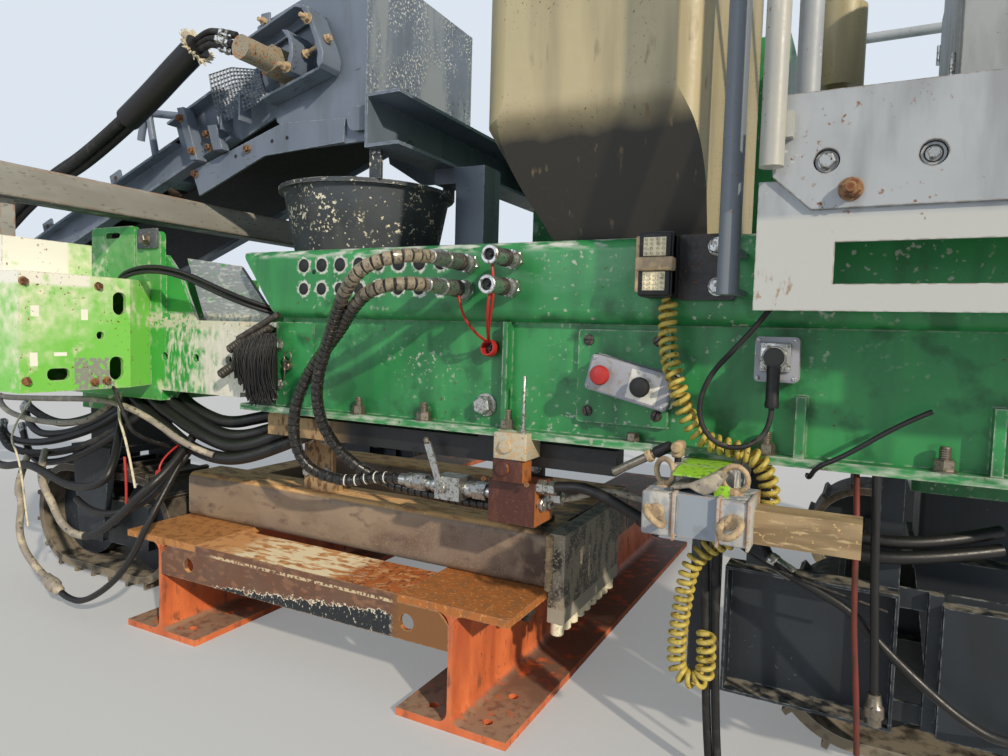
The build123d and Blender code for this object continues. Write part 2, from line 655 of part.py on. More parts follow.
# Mould: a box frame of rounded tube under a top plate
with BuildPart() as mould_frame:
    for y in (MOULD_FACE_Y - MOULD_TUBE / 2, MOULD_FAR_Y + MOULD_TUBE / 2):
        with BuildSketch(Plane.YZ.offset(MOULD_X[0])):
            with Locations((y, STAND_HEIGHT + MOULD_HEIGHT / 2)):
                tube_section(MOULD_TUBE, MOULD_HEIGHT, MOULD_WALL, MOULD_CORNER)
        extrude(amount=MOULD_X[1] - MOULD_X[0])
    tie_y = (MOULD_FAR_Y + MOULD_TUBE - 1, MOULD_FACE_Y - MOULD_TUBE + 1)
    tie_z = (STAND_HEIGHT + MOULD_CORNER, MOULD_TOP_Z - MOULD_CORNER)
    for x in (MOULD_X[0] + 90, MOULD_X[1] - 90):
        block((x - 50, x + 50), tie_y, tie_z)
    for x in (MOULD_X[0], MOULD_X[1] - MOULD_WALL):
        for y in (MOULD_FACE_Y - MOULD_TUBE / 2, MOULD_FAR_Y + MOULD_TUBE / 2):
            with BuildSketch(Plane.YZ.offset(x)):
                with Locations((y, STAND_HEIGHT + MOULD_HEIGHT / 2)):
                    Rectangle(MOULD_TUBE - 2 * MOULD_CORNER, MOULD_HEIGHT - MOULD_WALL)
            extrude(amount=MOULD_WALL)
mould_frame.part.label = "mould_frame"
export_step(mould_frame.part, "parts/mould_frame.step")

with BuildPart() as mould_end_plate:
    plate_x = (MOULD_X[0] - END_PLATE_THICK, MOULD_X[0])
    block(plate_x, (END_PLATE_FAR_Y, MOULD_FACE_Y), (END_PLATE_LOW_Z, MOULD_TOP_Z))
mould_end_plate.part.label = "mould_end_plate"
export_step(mould_end_plate.part, "parts/mould_end_plate.step")

# Hangers of the mould and the square rail that joins them, under the left beam
with BuildPart() as mould_hangers:
    rail_y = (HANGER_RAIL_Y - HANGER_RAIL / 2, HANGER_RAIL_Y + HANGER_RAIL / 2)
    rail_top = FLANGE_LOW_Z - HANGER_PLATE
    block(HANGER_RAIL_X, rail_y, (rail_top - HANGER_RAIL, rail_top))
    for x in HANGER_X:
        arm_x = (x - HANGER_WIDTH / 2, x + HANGER_WIDTH / 2)
        block(arm_x, (HANGER_POST_Y, rail_y[1]), (rail_top, FLANGE_LOW_Z))
        block(arm_x, (HANGER_POST_Y, HANGER_POST_Y + HANGER_PLATE), (MOULD_TOP_Z, FLANGE_LOW_Z))
        foot_y = (HANGER_POST_Y - HANGER_FOOT, HANGER_POST_Y + HANGER_PLATE)
        block(arm_x, foot_y, (MOULD_TOP_Z, MOULD_TOP_Z + HANGER_PLATE))
mould_hangers.part.label = "mould_hangers"
export_step(mould_hangers.part, "parts/mould_hangers.step")

# Conveyor, drawn in a plane that runs down its slope from the head drum
slope = Plane(
    origin=(HEAD_X, CONVEYOR_Y, HEAD_Z),
    x_dir=(cos(radians(CONVEYOR_ANGLE)), 0, -sin(radians(CONVEYOR_ANGLE))),
    z_dir=(0, -1, 0),
)
HALF_WIDTH = CONVEYOR_WIDTH / 2


def slope_plane(y):
    """The slope's side plane moved to a distance from the conveyor's middle."""
    return slope.offset(-y)


FRAME_TOP = FRAME_HEIGHT / 2
IDLER_RISE = DRUM_RADIUS - IDLER_RADIUS
# The frame's side down its slope, as start, end and top: deep at the drums, a channel between them
FRAME_RUNS = (
    (-FRAME_END, FRAME_LOW_RUN[0], FRAME_TOP),
    (FRAME_LOW_RUN[0] - 1, FRAME_LOW_RUN[1] + 1, FRAME_STEP),
    (FRAME_LOW_RUN[1], CONVEYOR_LENGTH + FRAME_END, FRAME_TOP),
)
# Its flanges, as start, end and upper face
FLANGE_RUNS = (
    (FRAME_FLANGE_RUN[0], FRAME_FLANGE_RUN[1], FRAME_WALL - FRAME_TOP),
    (FRAME_FLANGE_RUN[0], FRAME_LOW_RUN[0], FRAME_TOP),
    (FRAME_LOW_RUN[0] - 1, FRAME_LOW_RUN[1] + 1, FRAME_STEP),
    (FRAME_LOW_RUN[1], FRAME_FLANGE_RUN[1], FRAME_TOP),
)
with BuildPart() as conveyor_frame:
    for y in (HALF_WIDTH, -HALF_WIDTH + FRAME_WALL):
        with BuildSketch(slope_plane(y)):
            for start, end, top in FRAME_RUNS:
                with Locations(((start + end) / 2, (top - FRAME_TOP) / 2)):
                    Rectangle(end - start, top + FRAME_TOP)
            for run in IDLER_RUNS:
                with Locations((run, IDLER_TOP / 2)):
                    Rectangle(IDLER_POST, IDLER_TOP)
                with Locations((run, IDLER_RISE)):
                    Circle(IDLER_SHAFT, mode=Mode.SUBTRACT)
            for run in (0, CONVEYOR_LENGTH):
                with Locations((run, 0)):
                    Circle(SHAFT_RADIUS, mode=Mode.SUBTRACT)
        extrude(amount=FRAME_WALL)
    for start, end, top in FLANGE_RUNS:
        for y in (HALF_WIDTH + FRAME_FLANGE - FRAME_WALL, -HALF_WIDTH + FRAME_WALL):
            with BuildSketch(slope_plane(y)):
                with Locations(((start + end) / 2, top - FRAME_WALL / 2)):
                    Rectangle(end - start, FRAME_WALL)
            extrude(amount=FRAME_FLANGE)
    for x in FRAME_TIES:
        with BuildSketch(slope_plane(HALF_WIDTH - FRAME_WALL + 1)):
            with Locations((x, -FRAME_TOP + FRAME_TIE[1] / 2 + 2)):
                Rectangle(*FRAME_TIE)
        extrude(amount=CONVEYOR_WIDTH - 2 * FRAME_WALL + 2)
    with BuildSketch(slope_plane(HALF_WIDTH)):
        with Locations((EYE_RUN, -FRAME_HEIGHT / 2 - SADDLE_DROP)):
            Rectangle(70, SADDLE_HEIGHT)
    extrude(amount=CONVEYOR_WIDTH)
    for y in (HALF_WIDTH, -HALF_WIDTH + FRAME_WALL):
        with BuildSketch(slope_plane(y)):
            with Locations((EYE_RUN, -FRAME_HEIGHT / 2 - SADDLE_DROP / 2)):
                Rectangle(70, SADDLE_DROP + SADDLE_HEIGHT)
        extrude(amount=FRAME_WALL)
    for y in (EYE_GAP + EAR_THICK, -EYE_GAP):
        with BuildSketch(slope_plane(y)):
            with Locations((EYE_RUN, -(FRAME_HEIGHT / 2 + SADDLE_DROP + EYE_DROP) / 2)):
                Rectangle(70, EYE_DROP - FRAME_HEIGHT / 2 - SADDLE_DROP)
            with Locations((EYE_RUN, -EYE_DROP)):
                Circle(35)
        extrude(amount=EAR_THICK)
    with BuildSketch(slope_plane(EYE_GAP + EAR_THICK)):
        with Locations((EYE_RUN, -EYE_DROP)):
            Circle(PIN_RADIUS)
    extrude(amount=2 * (EYE_GAP + EAR_THICK))
conveyor_frame.part.label = "conveyor_frame"
export_step(conveyor_frame.part, "parts/conveyor_frame.step")

with BuildPart() as conveyor_belt:
    with BuildSketch(slope_plane(BELT_WIDTH / 2)):
        outer = DRUM_RADIUS + FIT + CONVEYOR_BELT_THICK
        with Locations((CONVEYOR_LENGTH / 2, 0)):
            SlotOverall(CONVEYOR_LENGTH + 2 * outer, 2 * outer)
            inner = outer - CONVEYOR_BELT_THICK
            SlotOverall(CONVEYOR_LENGTH + 2 * inner, 2 * inner, mode=Mode.SUBTRACT)
    extrude(amount=BELT_WIDTH)
conveyor_belt.part.label = "conveyor_belt"
export_step(conveyor_belt.part, "parts/conveyor_belt.step")

with BuildPart() as conveyor_drums:
    for x in (0.0, CONVEYOR_LENGTH):
        with BuildSketch(slope_plane(BELT_WIDTH / 2)):
            with Locations((x, 0)):
                Circle(DRUM_RADIUS)
        extrude(amount=BELT_WIDTH)
        with BuildSketch(slope_plane(HALF_WIDTH)):
            with Locations((x, 0)):
                Circle(SHAFT_RADIUS - FIT)
        extrude(amount=CONVEYOR_WIDTH)
    for run in IDLER_RUNS:
        for half, radius in ((BELT_WIDTH / 2, IDLER_RADIUS), (HALF_WIDTH, IDLER_SHAFT - FIT)):
            with BuildSketch(slope_plane(half)):
                with Locations((run, IDLER_RISE)):
                    Circle(radius)
            extrude(amount=2 * half)
conveyor_drums.part.label = "conveyor_drums"
export_step(conveyor_drums.part, "parts/conveyor_drums.step")

with BuildPart() as conveyor_motor:
    motor_seat = HALF_WIDTH + PIVOT_EAR + 2 * FIT
    with BuildSketch(slope_plane(motor_seat + MOTOR_LENGTH)):
        Circle(MOTOR_RADIUS)
    extrude(amount=MOTOR_LENGTH)
    for size, length in ((MOTOR_PLATE, MOTOR_FLANGE), (MOTOR_BODY, MOTOR_BODY_LENGTH)):
        with BuildSketch(slope_plane(motor_seat + length)):
            RectangleRounded(size, size, MOTOR_CORNER)
        extrude(amount=length)
conveyor_motor.part.label = "conveyor_motor"
export_step(conveyor_motor.part, "parts/conveyor_motor.step")

# Feed hopper round the conveyor's low end, a flared box open at the top
FEED_LENGTH = 620.0
FEED_REACH = 203.0
FEED_FRONT_X = HEAD_X + CONVEYOR_LENGTH * cos(radians(CONVEYOR_ANGLE)) + FEED_REACH
FEED_WIDTH = 900.0
FEED_TOP_RISE = 520.0
FEED_WALL = 6.0
FEED_GUSSET_RUN = (CONVEYOR_LENGTH - 340.0, CONVEYOR_LENGTH - 160.0)
FEED_LOW_RUN = (CONVEYOR_LENGTH - 420.0, CONVEYOR_LENGTH + 90.0)
FEED_LOW_RISE = DRUM_RADIUS + CONVEYOR_BELT_THICK + 12
feed_z = HEAD_Z - CONVEYOR_LENGTH * sin(radians(CONVEYOR_ANGLE))
low_origin = slope.from_local_coords((sum(FEED_LOW_RUN) / 2, FEED_LOW_RISE, 0))
feed_floor = Plane(origin=low_origin, x_dir=slope.x_dir, z_dir=slope.y_dir)
frame_top = FRAME_HEIGHT / 2 + FIT
flange_edge = HALF_WIDTH + FRAME_FLANGE - 5
with BuildPart() as feed_hopper:
    for inset, mode in ((0.0, Mode.ADD), (2 * FEED_WALL, Mode.SUBTRACT)):
        with BuildSketch(feed_floor):
            Rectangle(FEED_LOW_RUN[1] - FEED_LOW_RUN[0] - inset, BELT_WIDTH - inset)
        with BuildSketch(Plane.XY.offset(feed_z + FEED_TOP_RISE)):
            with Locations((FEED_FRONT_X - FEED_LENGTH / 2, CONVEYOR_Y)):
                Rectangle(FEED_LENGTH - inset, FEED_WIDTH - inset)
        loft(mode=mode)
        if mode == Mode.ADD:
            for run in FEED_GUSSET_RUN:
                origin = slope.from_local_coords((run, 0, 0))
                with BuildSketch(Plane(origin=origin, x_dir=(0, 1, 0), z_dir=slope.x_dir)):
                    for side in (1, -1):
                        with BuildLine():
                            Polyline(
                                (side * flange_edge, frame_top),
                                (side * flange_edge, frame_top + 14),
                                (side * BELT_WIDTH / 2, FEED_LOW_RISE + 120),
                                (side * (BELT_WIDTH / 2 - 10), FEED_LOW_RISE + 2),
                                (side * (HALF_WIDTH + 2), frame_top),
                                close=True,
                            )
                        make_face()
                extrude(amount=8)
feed_hopper.part.label = "feed_hopper"
export_step(feed_hopper.part, "parts/feed_hopper.step")

# Discharge hood: two cheeks outside the conveyor's frame and a wall behind its head
with BuildPart() as discharge_hood:
    for inner_y in (CONVEYOR_Y + HALF_WIDTH + FIT, CONVEYOR_Y - HALF_WIDTH - FIT - PIVOT_EAR):
        with BuildSketch(Plane.XZ.offset(-inner_y - PIVOT_EAR)):
            with BuildLine():
                Polyline(
                    (HOOD_REAR_X, HOOD_LOW_Z),
                    (HOOD_REAR_X, HOOD_TOP_Z),
                    *HOOD_FRONT,
                    close=True,
                )
            make_face()
            with Locations((PIVOT_X, PIVOT_Z)):
                Circle(PIVOT_EYE)
                Circle(PIVOT_PIN + PIN_FIT, mode=Mode.SUBTRACT)
            with Locations((HEAD_X, HEAD_Z)):
                Circle(SHAFT_RADIUS + HOOD_SHAFT_FIT, mode=Mode.SUBTRACT)
        extrude(amount=PIVOT_EAR)
    hood_half = HALF_WIDTH + FIT + PIVOT_EAR
    hood_y = (CONVEYOR_Y - hood_half, CONVEYOR_Y + hood_half)
    block((HOOD_REAR_X, HOOD_REAR_X + HOOD_WALL), hood_y, (PIVOT_Z + PIVOT_EYE, HOOD_TOP_Z))
discharge_hood.part.label = "discharge_hood"
export_step(discharge_hood.part, "parts/discharge_hood.step")

# Channel across the machine that carries the conveyor's head, on two posts
with BuildPart() as hopper_channel:
    channel_y = (-BEAM_FACE_Y + 20, CHANNEL_NEAR_Y)
    channel_top = CHANNEL_LOW_Z + CHANNEL_HEIGHT
    web_x = (CHANNEL_X - CHANNEL_WALL, CHANNEL_X)
    flange_x = (CHANNEL_X - CHANNEL_FLANGE, CHANNEL_X)
    block(web_x, channel_y, (CHANNEL_LOW_Z, channel_top))
    block(flange_x, channel_y, (CHANNEL_LOW_Z, CHANNEL_LOW_Z + CHANNEL_WALL))
    block(flange_x, channel_y, (channel_top - CHANNEL_WALL, channel_top))
    beam_post_y = (-BEAM_POST_Y - BEAM_POST_HALF, -BEAM_POST_Y + BEAM_POST_HALF)
    block((CHANNEL_X - BEAM_POST_WIDTH, CHANNEL_X), beam_post_y, (BEAM_TOP_Z, CHANNEL_LOW_Z))
    post_low = BEAM_TOP_Z - TUBE_CORNER
    block(CHANNEL_POST_X, CHANNEL_POST_Y, (post_low, CHANNEL_LOW_Z - CHANNEL_CAP))
    cap_x = (CHANNEL_POST_X[0], CHANNEL_X - CHANNEL_FLANGE / 3)
    block(cap_x, CHANNEL_POST_Y, (CHANNEL_LOW_Z - CHANNEL_CAP, CHANNEL_LOW_Z))
    for side in (1, -1):
        ear_face = CONVEYOR_Y + side * (CONVEYOR_WIDTH / 2 + FIT + PIVOT_EAR)
        lug_y = sorted((ear_face + side * PIVOT_SIDE, ear_face + side * (PIVOT_SIDE + PIVOT_LUG)))
        with BuildSketch(Plane.XZ.offset(-lug_y[1])):
            with Locations((PIVOT_X, PIVOT_Z)):
                Circle(PIVOT_EYE)
            with Locations(((PIVOT_X + CHANNEL_X) / 2, PIVOT_Z)):
                Rectangle(PIVOT_X - CHANNEL_X, 2 * PIVOT_EYE)
        extrude(amount=PIVOT_LUG)
        pin_y = sorted((ear_face + side * (PIVOT_SIDE + PIVOT_LUG), ear_face - side * (PIVOT_EAR - 1)))
        with BuildSketch(Plane.XZ.offset(-pin_y[1])):
            with Locations((PIVOT_X, PIVOT_Z)):
                Circle(PIVOT_PIN)
        extrude(amount=pin_y[1] - pin_y[0])
hopper_channel.part.label = "hopper_channel"
export_step(hopper_channel.part, "parts/hopper_channel.step")

with BuildPart() as drop_funnel:
    with BuildSketch(Plane.XZ.offset(-FUNNEL_Y)):
        with BuildLine():
            Polyline(
                (FUNNEL_X + FUNNEL_LOW_R, FUNNEL_LOW_Z),
                (FUNNEL_X + FUNNEL_TOP_R, FUNNEL_TOP_Z - 12),
                (FUNNEL_X + FUNNEL_TOP_R + FUNNEL_RIM, FUNNEL_TOP_Z - 12),
                (FUNNEL_X + FUNNEL_TOP_R + FUNNEL_RIM, FUNNEL_TOP_Z),
                (FUNNEL_X + FUNNEL_TOP_R - FUNNEL_WALL, FUNNEL_TOP_Z),
                (FUNNEL_X + FUNNEL_LOW_R - FUNNEL_WALL, FUNNEL_LOW_Z),
                close=True,
            )
        make_face()
    revolve(axis=Axis((FUNNEL_X, FUNNEL_Y, 0), (0, 0, 1)))
    rim_radius = FUNNEL_TOP_R + FUNNEL_RIM / 2
    strap_x = CHANNEL_X - STRAP_SETBACK
    strap_reach = sqrt(rim_radius**2 - (FUNNEL_X - strap_x) ** 2)
    for y in (FUNNEL_Y - strap_reach, FUNNEL_Y + strap_reach):
        strap_z = (FUNNEL_TOP_Z - 1, CHANNEL_LOW_Z)
        block((strap_x - STRAP_WIDTH / 2, strap_x + STRAP_WIDTH / 2), (y - 5, y + 5), strap_z)
drop_funnel.part.label = "drop_funnel"
export_step(drop_funnel.part, "parts/drop_funnel.step")

# Water tank with rounded corners and a slanted front underside
with BuildPart() as water_tank:
    with BuildSketch(Plane.XZ.offset(-TANK_Y[1])):
        with BuildLine():
            Polyline(
                (TANK_X[0], BEAM_TOP_Z + FIT),
                (TANK_X[1] - TANK_SLANT, BEAM_TOP_Z + FIT),
                (TANK_X[1], TANK_KNEE_Z),
                (TANK_X[1], TANK_TOP_Z),
                (TANK_X[0], TANK_TOP_Z),
                close=True,
            )
        make_face()
    extrude(amount=TANK_Y[1] - TANK_Y[0])
    near = faces().sort_by(Axis.Y)[-1]
    fillet(near.edges().filter_by(Plane.XZ), radius=TANK_CORNER)
    with BuildSketch(Plane.YZ.offset(TANK_X[0])):
        with BuildLine():
            Polyline(
                (TANK_Y[0], BEAM_TOP_Z),
                (TANK_Y[1] - TANK_UNDERCUT, BEAM_TOP_Z),
                (TANK_Y[1], TANK_UNDERCUT_Z),
                (TANK_Y[1], TANK_TOP_Z),
                (TANK_Y[0], TANK_TOP_Z),
                close=True,
            )
        make_face()
        knee = vertices().sort_by_distance((TANK_Y[1], TANK_UNDERCUT_Z))[0]
        fillet(knee, radius=TANK_BELLY)
    extrude(amount=TANK_X[1] - TANK_X[0], mode=Mode.INTERSECT)
water_tank.part.label = "water_tank"
export_step(water_tank.part, "parts/water_tank.step")

# Operator's deck at the rear on a frame across the beams
with BuildPart() as platform_deck:
    deck_z = BEAM_TOP_Z + DECK_FRAME
    block(DECK_X, (-DECK_Y, DECK_Y), (deck_z, deck_z + DECK_THICK))
    for x in (DECK_X[0] + 25, (DECK_X[0] + DECK_X[1]) / 2, DECK_X[1] - 25):
        block((x - 25, x + 25), (-DECK_Y, DECK_Y), (BEAM_TOP_Z, deck_z))
platform_deck.part.label = "platform_deck"
export_step(platform_deck.part, "parts/platform_deck.step")

with BuildPart() as side_plates:
    inner_face = DECK_Y + SIDE_PLATE
    block(DECK_X, (DECK_Y, inner_face), (SIDE_LOW_Z, SIDE_STEP_Z))
    block((DECK_X[0], SIDE_UPPER_X), (DECK_Y, inner_face), (SIDE_STEP_Z - 1, SIDE_TOP_Z))
    block(SIDE_SLOT_X, (DECK_Y, inner_face), SIDE_SLOT_Z, mode=Mode.SUBTRACT)
    with BuildSketch(Plane.XZ.offset(-inner_face - SIDE_PLATE)):
        with BuildLine():
            Polyline(
                (DECK_X[0], SIDE_MID_Z),
                *SIDE_CORNER,
                (SIDE_UPPER_X, SIDE_TOP_Z),
                (DECK_X[0], SIDE_TOP_Z),
                close=True,
            )
        make_face()
    extrude(amount=SIDE_PLATE)
    for face, radius in ((inner_face + SIDE_PLATE, SIDE_RECESS), (inner_face, PANEL_HOLE)):
        with BuildSketch(Plane.XZ.offset(-face)):
            for x in SIDE_HOLE_X:
                with Locations((x, SIDE_HOLE_Z)):
                    Circle(radius)
        extrude(amount=SIDE_PLATE, mode=Mode.SUBTRACT)
    mirror(about=Plane.XZ)
side_plates.part.label = "side_plates"
export_step(side_plates.part, "parts/side_plates.step")

# Guard rails round the deck, the rails running through the posts
with BuildPart() as guard_rails:
    rail_y = DECK_Y - 60
    post_x = (DECK_X[0] + 40, (DECK_X[0] + DECK_X[1]) / 2, DECK_X[1] - 60)
    for x in post_x:
        with BuildSketch(Plane.XY.offset(DECK_TOP_Z)):
            with Locations((x, rail_y)):
                Circle(RAIL_RADIUS - 2)
        extrude(amount=RAIL_TOP_Z - 2 * RAIL_RADIUS - DECK_TOP_Z + 6)
    rails = ((RAIL_TOP_Z - RAIL_RADIUS, RAIL_RADIUS), ((RAIL_TOP_Z + DECK_TOP_Z) / 2, RAIL_RADIUS - 5))
    for z, radius in rails:
        with BuildSketch(Plane.YZ.offset(post_x[0] - 60)):
            with Locations((rail_y, z)):
                Circle(radius)
        extrude(amount=post_x[-1] - post_x[0] + 120)
    mirror(about=Plane.XZ)
guard_rails.part.label = "guard_rails"
export_step(guard_rails.part, "parts/guard_rails.step")

# Control console at the front edge of the deck
with BuildPart() as control_console:
    with BuildSketch(Plane.XZ.offset(-420.0)):
        with BuildLine():
            Polyline(
                (-2260.0, 1184.0),
                (-1960.0, 1184.0),
                (-1960.0, 2060.0),
                (-2040.0, 2100.0),
                (-2330.0, 1960.0),
                (-2330.0, 1880.0),
                close=True,
            )
        make_face()
    extrude(amount=700)
control_console.part.label = "control_console"
export_step(control_console.part, "parts/control_console.step")

# Boarding ladder behind the deck
with BuildPart() as access_ladder:
    for y in (-700.0, -300.0):
        with BuildSketch(Plane.XZ.offset(-y)):
            with BuildLine():
                Polyline(
                    (-2800.0, 1184.0),
                    (-2800.0, 1100.0),
                    (-2940.0, 380.0),
                    (-3000.0, 380.0),
                    (-2860.0, 1184.0),
                    close=True,
                )
            make_face()
        extrude(amount=10)
    for step in range(3):
        z = 440.0 + 240 * step
        x = -2960.0 + 140 / 720 * (z - 380)
        block((x - 40, x + 60), (-710, -300), (z, z + 30))
access_ladder.part.label = "access_ladder"
export_step(access_ladder.part, "parts/access_ladder.step")

# Engine as one heavy block on its cross beams
ENGINE_X = (-1510.0, -760.0)
ENGINE_Y = (-720.0, -200.0)
ENGINE_TOP_Z = 1720.0
with BuildPart() as engine_block:
    block(ENGINE_X, ENGINE_Y, (BEAM_TOP_Z - TUBE_CORNER, ENGINE_TOP_Z))
engine_block.part.label = "engine_block"
export_step(engine_block.part, "parts/engine_block.step")

# Engine bay: walls and roof frame, open on the right for the door
HINGE_X = BAY_X[1] + 12.0
HINGE_Y = BAY_Y[0] - 15.0
HINGE_Z = (1290.0, 1690.0)
HINGE_LUG = 14.0
HINGE_REACH = 12.0
HINGE_PIN = 5.0
HINGE_PIN_LENGTH = 40.0
HINGE_PLAY = 0.5
HINGE_WALL = 4.5
with BuildPart() as engine_bay:
    block(BAY_X, BAY_Y, (BEAM_TOP_Z + FIT, BAY_TOP_Z))
    inner_x = (BAY_X[0] + BAY_WALL, BAY_X[1] - BAY_WALL)
    inner_y = (BAY_Y[0] - 1, BAY_Y[1] - BAY_WALL)
    block(inner_x, inner_y, (BEAM_TOP_Z - 1, BAY_TOP_Z - BAY_WALL), mode=Mode.SUBTRACT)
    for z in HINGE_Z:
        lug_z = (z, z + HINGE_LUG)
        block((BAY_X[1] - 1, HINGE_X + HINGE_REACH), (BAY_Y[0] + 1, BAY_Y[0] + 35), lug_z)
        lug_x = (HINGE_X - HINGE_REACH + 4, HINGE_X + HINGE_REACH)
        block(lug_x, (HINGE_Y - 7, BAY_Y[0] + 2), lug_z)
        with BuildSketch(Plane.XY.offset(z)):
            with Locations((HINGE_X, HINGE_Y)):
                Circle(HINGE_PIN)
        extrude(amount=HINGE_LUG + HINGE_PIN_LENGTH)
engine_bay.part.label = "engine_bay"
export_step(engine_bay.part, "parts/engine_bay.step")

# Door of the bay, a shallow tray with its hinge rings on two pins
DOOR_DEPTH = 30.0
DOOR_LOW_Z = BEAM_TOP_Z + 30.0
with BuildPart() as engine_door:
    door_x = (BAY_X[0], BAY_X[1] - FIT)
    door_y = (BAY_Y[0] - FIT - DOOR_DEPTH, BAY_Y[0] - FIT)
    block(door_x, door_y, (DOOR_LOW_Z, BAY_TOP_Z))
    inner_x = (door_x[0] + BAY_WALL, door_x[1] - BAY_WALL)
    inner_z = (DOOR_LOW_Z + BAY_WALL, BAY_TOP_Z - BAY_WALL)
    block(inner_x, (door_y[0] + BAY_WALL, door_y[1] + 1), inner_z, mode=Mode.SUBTRACT)
    for z in HINGE_Z:
        ring_low = z + HINGE_LUG + FIT
        ring = HINGE_PIN_LENGTH - 4
        block((door_x[1] - 1, HINGE_X), (HINGE_Y - 2.5, HINGE_Y + 2.5), (ring_low, ring_low + ring))
        with BuildSketch(Plane.XY.offset(ring_low)):
            with Locations((HINGE_X, HINGE_Y)):
                Circle(HINGE_PIN + HINGE_PLAY + HINGE_WALL)
        extrude(amount=ring)
        with BuildSketch(Plane.XY.offset(ring_low)):
            with Locations((HINGE_X, HINGE_Y)):
                Circle(HINGE_PIN + HINGE_PLAY)
        extrude(amount=ring, mode=Mode.SUBTRACT)
engine_door.part.label = "engine_door"
export_step(engine_door.part, "parts/engine_door.step")

with BuildPart() as exhaust_stack:
    with BuildSketch(Plane.XY.offset(BAY_TOP_Z)):
        with Locations((-1400.0, -60.0)):
            Circle(40)
            Circle(36, mode=Mode.SUBTRACT)
    extrude(amount=420)
exhaust_stack.part.label = "exhaust_stack"
export_step(exhaust_stack.part, "parts/exhaust_stack.step")

# Air cleaner on a stand pipe at the deck's front edge, as base height, length and radius
CLEANER_X = -1674.0
CLEANER_Y = 0.0
CLEANER_STAGES = ((DECK_TOP_Z, 520.0, 30.0), (1700.0, 240.0, 74.0), (1940.0, 60.0, 48.0))
with BuildPart() as air_cleaner:
    for low_z, length, radius in CLEANER_STAGES:
        with BuildSketch(Plane.XY.offset(low_z)):
            with Locations((CLEANER_X, CLEANER_Y)):
                Circle(radius)
        extrude(amount=length)
air_cleaner.part.label = "air_cleaner"
export_step(air_cleaner.part, "parts/air_cleaner.step")

# Sensor boom: a square tube across the front on two saddles
with BuildPart() as sensor_boom:
    with BuildSketch(Plane.XZ.offset(-BOOM_HALF)):
        with Locations((BOOM_X, BOOM_Z)):
            tube_section(BOOM_SIZE, BOOM_SIZE, BOOM_WALL, BOOM_WALL * 1.5)
    extrude(amount=2 * BOOM_HALF)
    saddle_z = (PEDESTAL_TOP_Z + FIT, BOOM_Z - BOOM_SIZE / 2 + 1)
    saddle_end = PEDESTAL_Y[1] - PLATE_EDGE
    for side in (1, -1):
        saddle_y = sorted((side * saddle_end, side * (saddle_end - SADDLE_REACH)))
        block(SADDLE_X, saddle_y, saddle_z)
sensor_boom.part.label = "sensor_boom"
export_step(sensor_boom.part, "parts/sensor_boom.step")

# Hand rails beside the tank, as x, lower end and y: one on the beam, one on the side plate
GRAB_RADIUS = 18.5
GRAB_RAILS = (
    (-1580.0, 1010.0, 1150.0),
    (-1651.0, 1205.0, DECK_Y + 2 * SIDE_PLATE + GRAB_RADIUS + FIT),
)
GRAB_LUG = 9.0
GRAB_LUG_THICK = 10.0
GRAB_LUG_Z = (TUBE_LOW_Z + TUBE_CORNER + 30, BEAM_TOP_Z - TUBE_CORNER - 24)
GRAB_CLEAT = ((-1680.0, -1655.0), (1250.0, 1290.0))
with BuildPart() as grab_rails:
    for x, low_z, y in GRAB_RAILS:
        with BuildSketch(Plane.XY.offset(low_z)):
            with Locations((x, y)):
                Circle(GRAB_RADIUS)
        extrude(amount=RAIL_TOP_Z - low_z)
    x, _, y = GRAB_RAILS[0]
    for z in GRAB_LUG_Z:
        block((x - GRAB_LUG, x + GRAB_LUG), (BEAM_FACE_Y, y), (z, z + GRAB_LUG_THICK))
    cleat_x, cleat_z = GRAB_CLEAT
    block(cleat_x, (DECK_Y + 2 * SIDE_PLATE + FIT, GRAB_RAILS[1][2]), cleat_z)
grab_rails.part.label = "grab_rails"
export_step(grab_rails.part, "parts/grab_rails.step")

# Lift cylinder between the front cross beam and the conveyor
CYL_FOOT = (FRONT_CROSS_X[1] + 70, CONVEYOR_Y, 820.0)
CYL_EYE = tuple(slope.from_local_coords((EYE_RUN, -EYE_DROP, 0)))
cyl_vector = Vector(*CYL_EYE) - Vector(*CYL_FOOT)
cyl_plane = Plane(origin=CYL_FOOT, x_dir=(0, 1, 0), z_dir=cyl_vector.normalized())
CYL_LENGTH = cyl_vector.length
BARREL_LENGTH = CYL_LENGTH * 0.58
print("lift cylinder", CYL_FOOT, CYL_EYE, cyl_vector.normalized())


def pin_bore(place, play):
    """Bore through an eye, across the cylinder's plane."""
    with BuildSketch(Plane.XZ.offset(-place[1] - EYE_GAP)) as bore:
        with Locations((place[0], place[2])):
            Circle(PIN_RADIUS + play)
    extrude(bore.sketch, amount=2 * EYE_GAP, mode=Mode.SUBTRACT)


def eye(place):
    """Round eye across the cylinder's plane."""
    with BuildSketch(Plane.XZ.offset(-place[1] - EYE_GAP + 2)) as ring:
        with Locations((place[0], place[2])):
            Circle(PIN_RADIUS + 16)
    extrude(ring.sketch, amount=2 * EYE_GAP - 4)


with BuildPart() as lift_barrel:
    with BuildSketch(cyl_plane.offset(25)):
        Circle(BARREL_RADIUS)
    extrude(amount=BARREL_LENGTH - 25)
    eye(CYL_FOOT)
    pin_bore(CYL_FOOT, PIN_FIT)
    with BuildSketch(cyl_plane.offset(60)):
        Circle(ROD_RADIUS + 1)
    extrude(amount=BARREL_LENGTH, mode=Mode.SUBTRACT)
lift_barrel.part.label = "lift_barrel"
export_step(lift_barrel.part, "parts/lift_barrel.step")

